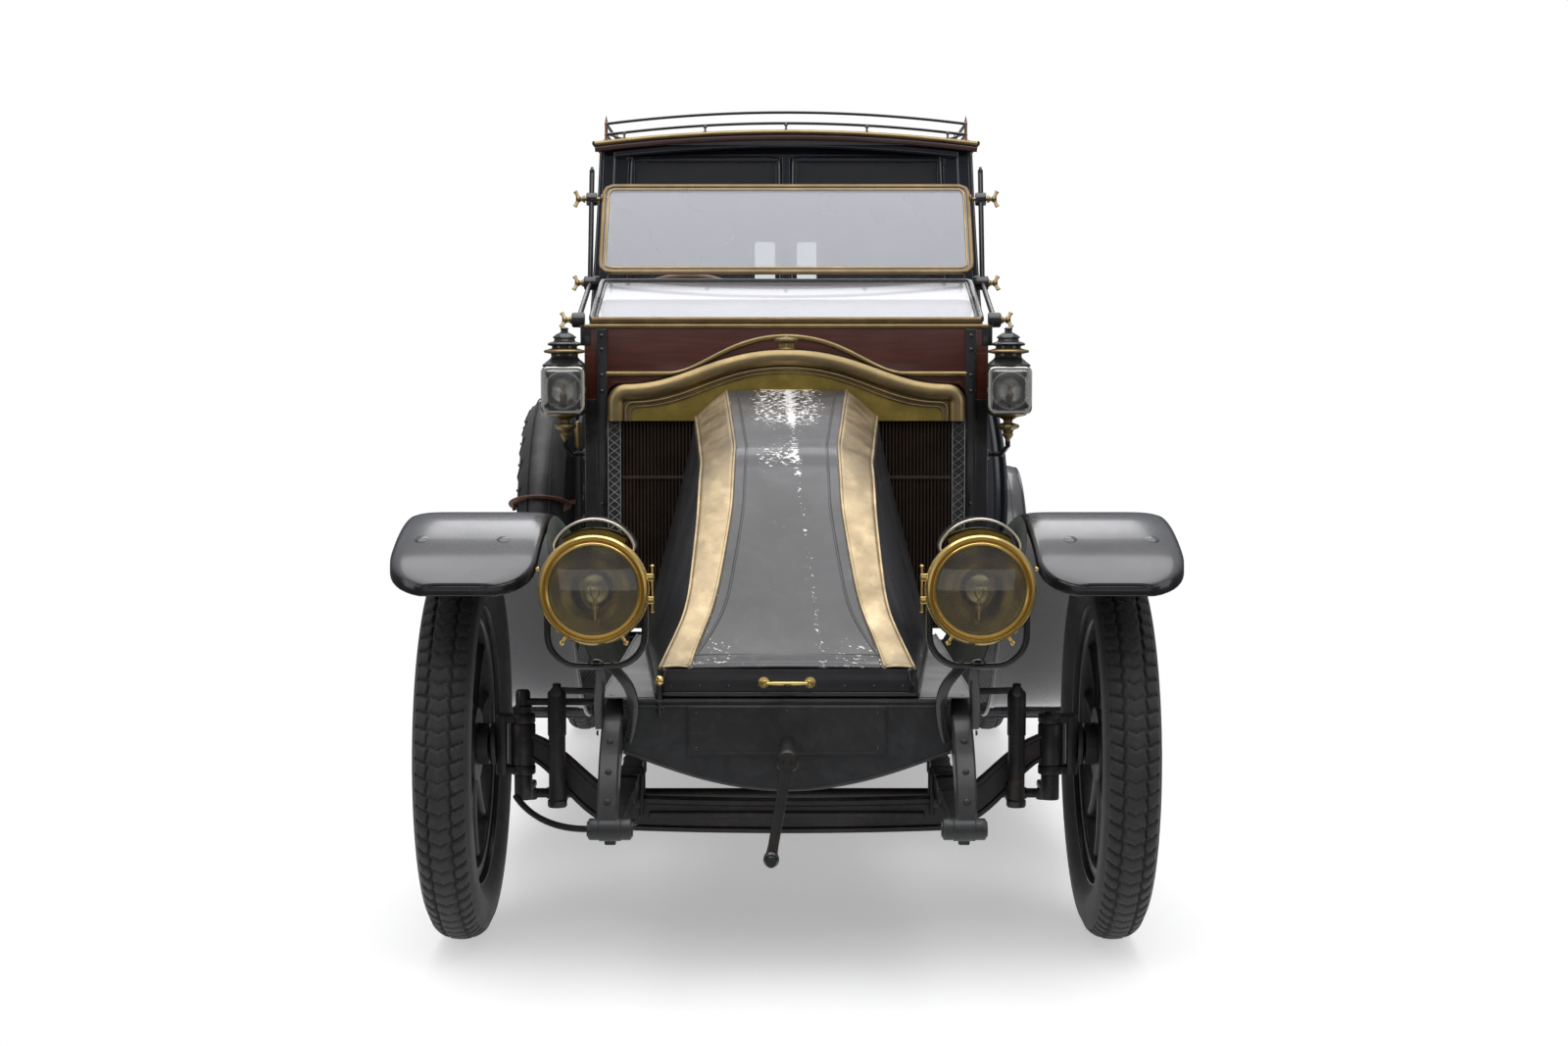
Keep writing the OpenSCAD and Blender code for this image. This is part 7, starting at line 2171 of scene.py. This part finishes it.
@dataclass
class Upholstery:
    """Padded pieces: buttoned seats and the covered spare tyre, swollen by a short cloth run."""

    shop: Workshop

    def swell(self, shape: Shape, name: str, finish: Finish, replaces: Sequence[str], cap: float, fill: float,
            voxel: float = 6.0) -> None:
        """Places a closed form and lets cloth pressure round it, no point moving more than the cap.

        Args:
            shape: closed surfaces, a little smaller than the finished pad.
            name: name of the piece.
            finish: its leather or fabric.
            replaces: CAD nodes it stands for.
            cap: largest move, in millimetres.
            fill: how full the pad is, from 0 to 1; not used.
            voxel: remesh size, in millimetres.
        """
        pad = self.shop.place(shape, name, "chassis", [finish], replaces, sharp=60)
        view = bpy.context.view_layer
        view.objects.active = pad
        for o in bpy.context.selected_objects:
            o.select_set(False)
        pad.select_set(True)
        m = pad.modifiers.new("grain", "REMESH")
        m.mode, m.voxel_size, m.use_smooth_shade = "VOXEL", voxel * 0.001, True
        bpy.ops.object.modifier_apply(modifier=m.name)
        count = len(pad.data.vertices)
        rest = np.empty(count * 3, np.float32)
        pad.data.vertices.foreach_get("co", rest)
        rest = rest.reshape(-1, 3)
        m = pad.modifiers.new("air", "CLOTH")
        m.settings.use_pressure = True
        m.settings.uniform_pressure_force = 4.0
        m.settings.effector_weights.gravity = 0.0
        m.settings.quality = 4
        m.point_cache.frame_start, m.point_cache.frame_end = 1, 20
        for f in range(1, 21):
            bpy.context.scene.frame_set(f)
        done = pad.evaluated_get(bpy.context.evaluated_depsgraph_get()).to_mesh()
        after = np.empty(count * 3, np.float32)
        done.vertices.foreach_get("co", after)
        pad.evaluated_get(bpy.context.evaluated_depsgraph_get()).to_mesh_clear()
        pad.modifiers.remove(m)
        bpy.context.scene.frame_set(1)
        step = after.reshape(-1, 3) - rest
        far = np.linalg.norm(step, axis=1, keepdims=True)
        step *= np.minimum(1, cap * 0.001 / np.maximum(far, 1e-9))
        pad.data.vertices.foreach_set("co", (rest + step).ravel())
        pad.data.update()
        LOG.info("%s: %d points, largest move %.1f mm", name, count,
            1000 * float(np.linalg.norm(step, axis=1).max()))
        m = pad.modifiers.new("fine", "SUBSURF")
        m.levels = m.render_levels = 1

    def pad(self, lo: Point, hi: Point, across: int, along: int, axis: Axis, depth: float = 14.0,
            sign: float = 1.0) -> Shape:
        """Closed cushion whose face is quilted into tufts: the face sinks along seams and deeper at their
        crossings."""
        lo, hi = np.array(lo, float), np.array(hi, float)
        rest = [i for i in range(3) if i != axis.value]
        n, m = across * 10 + 1, along * 10 + 1
        u, v = np.meshgrid(np.linspace(0, 1, n), np.linspace(0, 1, m), indexing="ij")
        swell = (np.abs(np.sin(np.pi * u * across)) * np.abs(np.sin(np.pi * v * along))) ** 0.45
        edge = np.minimum(1, np.minimum(np.minimum(u, 1 - u) * across * 1.6,
            np.minimum(v, 1 - v) * along * 1.6)) ** 0.5
        p = np.empty((n, m, 3))
        p[..., rest[0]] = lo[rest[0]] + (hi - lo)[rest[0]] * u
        p[..., rest[1]] = lo[rest[1]] + (hi - lo)[rest[1]] * v
        face, back = (hi, lo) if sign > 0 else (lo, hi)
        p[...,
            axis.value] = face[axis.value] - sign * depth * (1 - swell * 0.75) - sign * depth * 1.4 * (1 - edge)
        ring = np.vstack([p[:, 0], p[-1, 1:], p[-2::-1, -1], p[0, -2:0:-1]])
        foot = ring.copy()
        foot[:, axis.value] = back[axis.value]
        s = Shape()
        s.grid(p)
        s.grid(np.stack([ring, ring * 0.5 + foot * 0.5, foot]), wrap_v=True)
        s.add(foot, np.arange(len(foot))[None])
        return s

    def build(self) -> None:
        """Places the bench, the rear seat, and the spare tyre in its laced cover."""
        s = self.pad((-500, 1506, 906), (500, 1872, 1020), 6, 2, Axis.Z)
        back = self.pad((-500, 1884, 0), (500, 1984, 500), 6, 3, Axis.Y, sign=-1)
        back.points = [p + np.stack([0 * p[:, 2], (p[:, 2] - 120) * 0.115 * (p[:, 1] < 1960),
            p[:, 2] * 0 + 906 + 0 * p[:, 2]], 1) for p in back.points]
        self.swell(s.merged(back), "driver_bench_pads", HIDE, ["driver_seat"], 7, 0.8)
        s = Shape()
        s.block((-545, 2896, 603), (545, 3386, 898), 8)
        self.shop.place(s, "rear_seat_base", "chassis", [CORD])
        s = self.pad((-545, 2888, 903), (545, 3262, 1034), 5, 2, Axis.Z)
        back = self.pad((-458, 3276, 903), (458, 3404, 1424), 5, 3, Axis.Y, sign=-1)
        self.swell(s.merged(back), "rear_seat_pads", CORD, ["rear_seat"], 7, 0.85)
        s = Shape()
        t = np.linspace(0, 2 * np.pi, 120, endpoint=False)
        a = np.linspace(0, 2 * np.pi, 28, endpoint=False)
        wave = 1 + 0.012 * np.cos(24 * t)[:, None] * np.cos(a)[None] ** 2
        r = 334 + 61 * wave * np.cos(a)[None]
        x = -655 + 62 * wave * np.sin(a)[None]
        z0 = 769.0
        s.grid(np.stack([x + 0 * t[:, None], 1452 + r * np.cos(t)[:, None], z0 + r * np.sin(t)[:, None]], -1),
            wrap_u=True, wrap_v=True)
        self.swell(s, "spare_tyre_cover", COVER, ["spare_tyre"], 5, 0.9)
        s = Shape()
        for off, rr in ((-30, 392.5), (30, 392.5)):
            ring = np.stack([np.full(120, -655.0 + off), 1452 + rr * np.cos(t), z0 + rr * np.sin(t)], -1)
            s.sweep(ring, disc(1, 8) * [2.6, 2.0], up=(1, 0, 0), closed=True)
        k = np.linspace(0, 2 * np.pi, 56, endpoint=False)
        for q in k:
            c, d = math.cos(q), math.sin(q)
            base = np.array([-716.0, 1452 + 350 * c, z0 + 350 * d])
            s.beads(base, 4, Axis.X, -1, n=8)
        for i in range(56):
            q0, q1 = k[i], k[(i + 1) % 56]
            r0, r1 = (350, 372) if i % 2 else (372, 350)
            x0, x1 = (-717 + 11 * (r > 360) for r in (r0, r1))
            s.tube(arr((x0, 1452 + r0 * math.cos(q0), z0 + r0 * math.sin(q0)),
                (x1, 1452 + r1 * math.cos(q1), z0 + r1 * math.sin(q1))), 1.8, 6)
        for ang in (-118, 20, 160):
            q = math.radians(ang)
            c, d = math.cos(q), math.sin(q)
            loop = arc((0, 0), 1, 0, 360, 41)[:-1]
            rad = 334 + 68.5 * loop[:, 0]
            s.sweep(np.stack([-655 + 69 * loop[:, 1], 1452 + rad * c, z0 + rad * d], -1), rounded(30, 4, 1.2),
                up=(0, -d, c), closed=True, kind=1)
            s.block((-728, 1452 + 334 * c - 16, z0 + 334 * d - 16),
                (-722, 1452 + 334 * c + 16, z0 + 334 * d + 16), 2, Axis.X, kind=2)
        self.shop.place(s, "spare_tyre_lacing", "chassis", [COVER, STRAP, OLD_BRASS])


@dataclass
class Studio:
    """White floor, soft lights and the camera."""

    def light(self, name: str, place: Point, aim: Point, size: tuple[float, float], power: float) -> None:
        """Adds a soft rectangular light that faces a point."""
        data = bpy.data.lights.new(name, "AREA")
        data.shape, data.size, data.size_y, data.energy = "RECTANGLE", size[0], size[1], power
        lamp = bpy.data.objects.new(name, data)
        lamp.location = place
        lamp.rotation_euler = (Vector(aim) - Vector(place)).to_track_quat("-Z", "Y").to_euler()
        bpy.context.scene.collection.objects.link(lamp)

    def floor(self) -> None:
        """Adds the pale plain floor, faintly uneven in tone, which fades out towards its edge."""
        mesh = bpy.data.meshes.new("floor")
        r = 30.0
        mesh.from_pydata([(-r, -r, 0), (r, -r, 0), (r, r, 0), (-r, r, 0)], [], [(0, 1, 2, 3)])
        tree = Tree("floor_white")
        material = tree.shade(tree.ramp(tree.noise(0.6), (0.0, (0.86, 0.86, 0.86)), (1.0, (0.9, 0.9, 0.9))),
            0.5, Emission_Color=(1.0, 1.0, 1.0), Emission_Strength=0.36)
        far = tree.put("ShaderNodeVectorMath", {0: tree.placed((1 / 2.6, 1 / 4.6, 1))},
            operation="LENGTH").outputs["Value"]
        clear = tree.put("ShaderNodeBsdfTransparent", {})
        fade = tree.put("ShaderNodeMixShader",
            {0: tree.ramp(far, (0.3, 0.0), (0.85, 1.0)), 1: tree.shader.outputs[0], 2: clear.outputs[0]})
        tree.links.new(fade.outputs[0], tree.out.inputs[0])
        mesh.materials.append(material)
        floor = bpy.data.objects.new("floor", mesh)
        bpy.context.scene.collection.objects.link(floor)
        floor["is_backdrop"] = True

    def sky(self) -> None:
        """White behind everything; what the surfaces mirror is grey at the horizon and white overhead."""
        world = bpy.data.worlds.new("studio_white")
        world.use_nodes = True
        nodes, links = world.node_tree.nodes, world.node_tree.links
        ground = nodes["Background"]
        split, ramp, path, mix = (nodes.new(k) for k in ("ShaderNodeSeparateXYZ", "ShaderNodeValToRGB",
            "ShaderNodeLightPath", "ShaderNodeMix"))
        links.new(nodes.new("ShaderNodeTexCoord").outputs["Generated"], split.inputs[0])
        links.new(split.outputs[2], ramp.inputs[0])
        for element, (place, tone) in zip([*ramp.color_ramp.elements, ramp.color_ramp.elements.new(0.5)],
            ((0.0, 0.1), (0.9, 1.0), (0.35, 0.3))):
            element.position, element.color = place, (tone * 0.97, tone * 0.98, tone * 1.05, 1)
        mix.data_type = "RGBA"
        links.new(path.outputs["Is Camera Ray"], mix.inputs[0])
        links.new(ramp.outputs[0], mix.inputs[6])
        mix.inputs[7].default_value = (1, 1, 1, 1)
        links.new(mix.outputs[2], ground.inputs["Color"])
        bpy.context.scene.world = world

    def build(self) -> None:
        """Adds floor, world, lights and camera."""
        self.floor()
        self.sky()
        scene = bpy.context.scene
        scene.view_settings.view_transform = "Standard"
        self.light("overhead", (0.0, -1.5, 4.6), (0, -0.6, 0.6), (4.5, 5.5), 150)
        self.light("left_wall", (5.0, -4.5, 2.2), (0, -0.6, 0.8), (2.5, 3.0), 34)
        self.light("right_wall", (-5.0, -4.5, 2.2), (0, -0.6, 0.8), (2.5, 3.0), 34)
        self.light("rear_top", (0.0, 5.0, 5.0), (0, 1.5, 0.8), (4.0, 3.0), 60)
        self.light("low_front", (0.0, -7.5, 0.8), (0, -1.6, 0.6), (5.0, 1.0), 8)
        lens = bpy.data.cameras.new("camera")
        lens.lens, lens.sensor_width = 53.0, 36.0
        eye = bpy.data.objects.new("camera", lens)
        eye.location = (-0.006, -6.4165, 1.20)
        eye.rotation_euler = (math.radians(86.59), 0, 0)
        scene.collection.objects.link(eye)
        scene.camera = eye


def main() -> None:
    """Builds the whole car round its frame, then the studio, and measures the car's bounds."""
    logging.basicConfig(level=logging.INFO, format="%(name)s: %(message)s")
    shop = Workshop(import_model())
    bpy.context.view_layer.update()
    for end, y in (("front", 0.0), ("rear", 3050.0)):
        for side in Side:
            RoadWheel(shop, f"{end}_{side.name.lower()}", side, y, end == "rear").build()
    for part in (Fenders, Bonnet, Radiator, Dashboard, Windscreen, Lamps, Chassis, Cab, Upholstery):
        part(shop).build()
    Studio().build()
    end = [list(p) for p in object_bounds()]


if __name__ == "__main__":
    main()
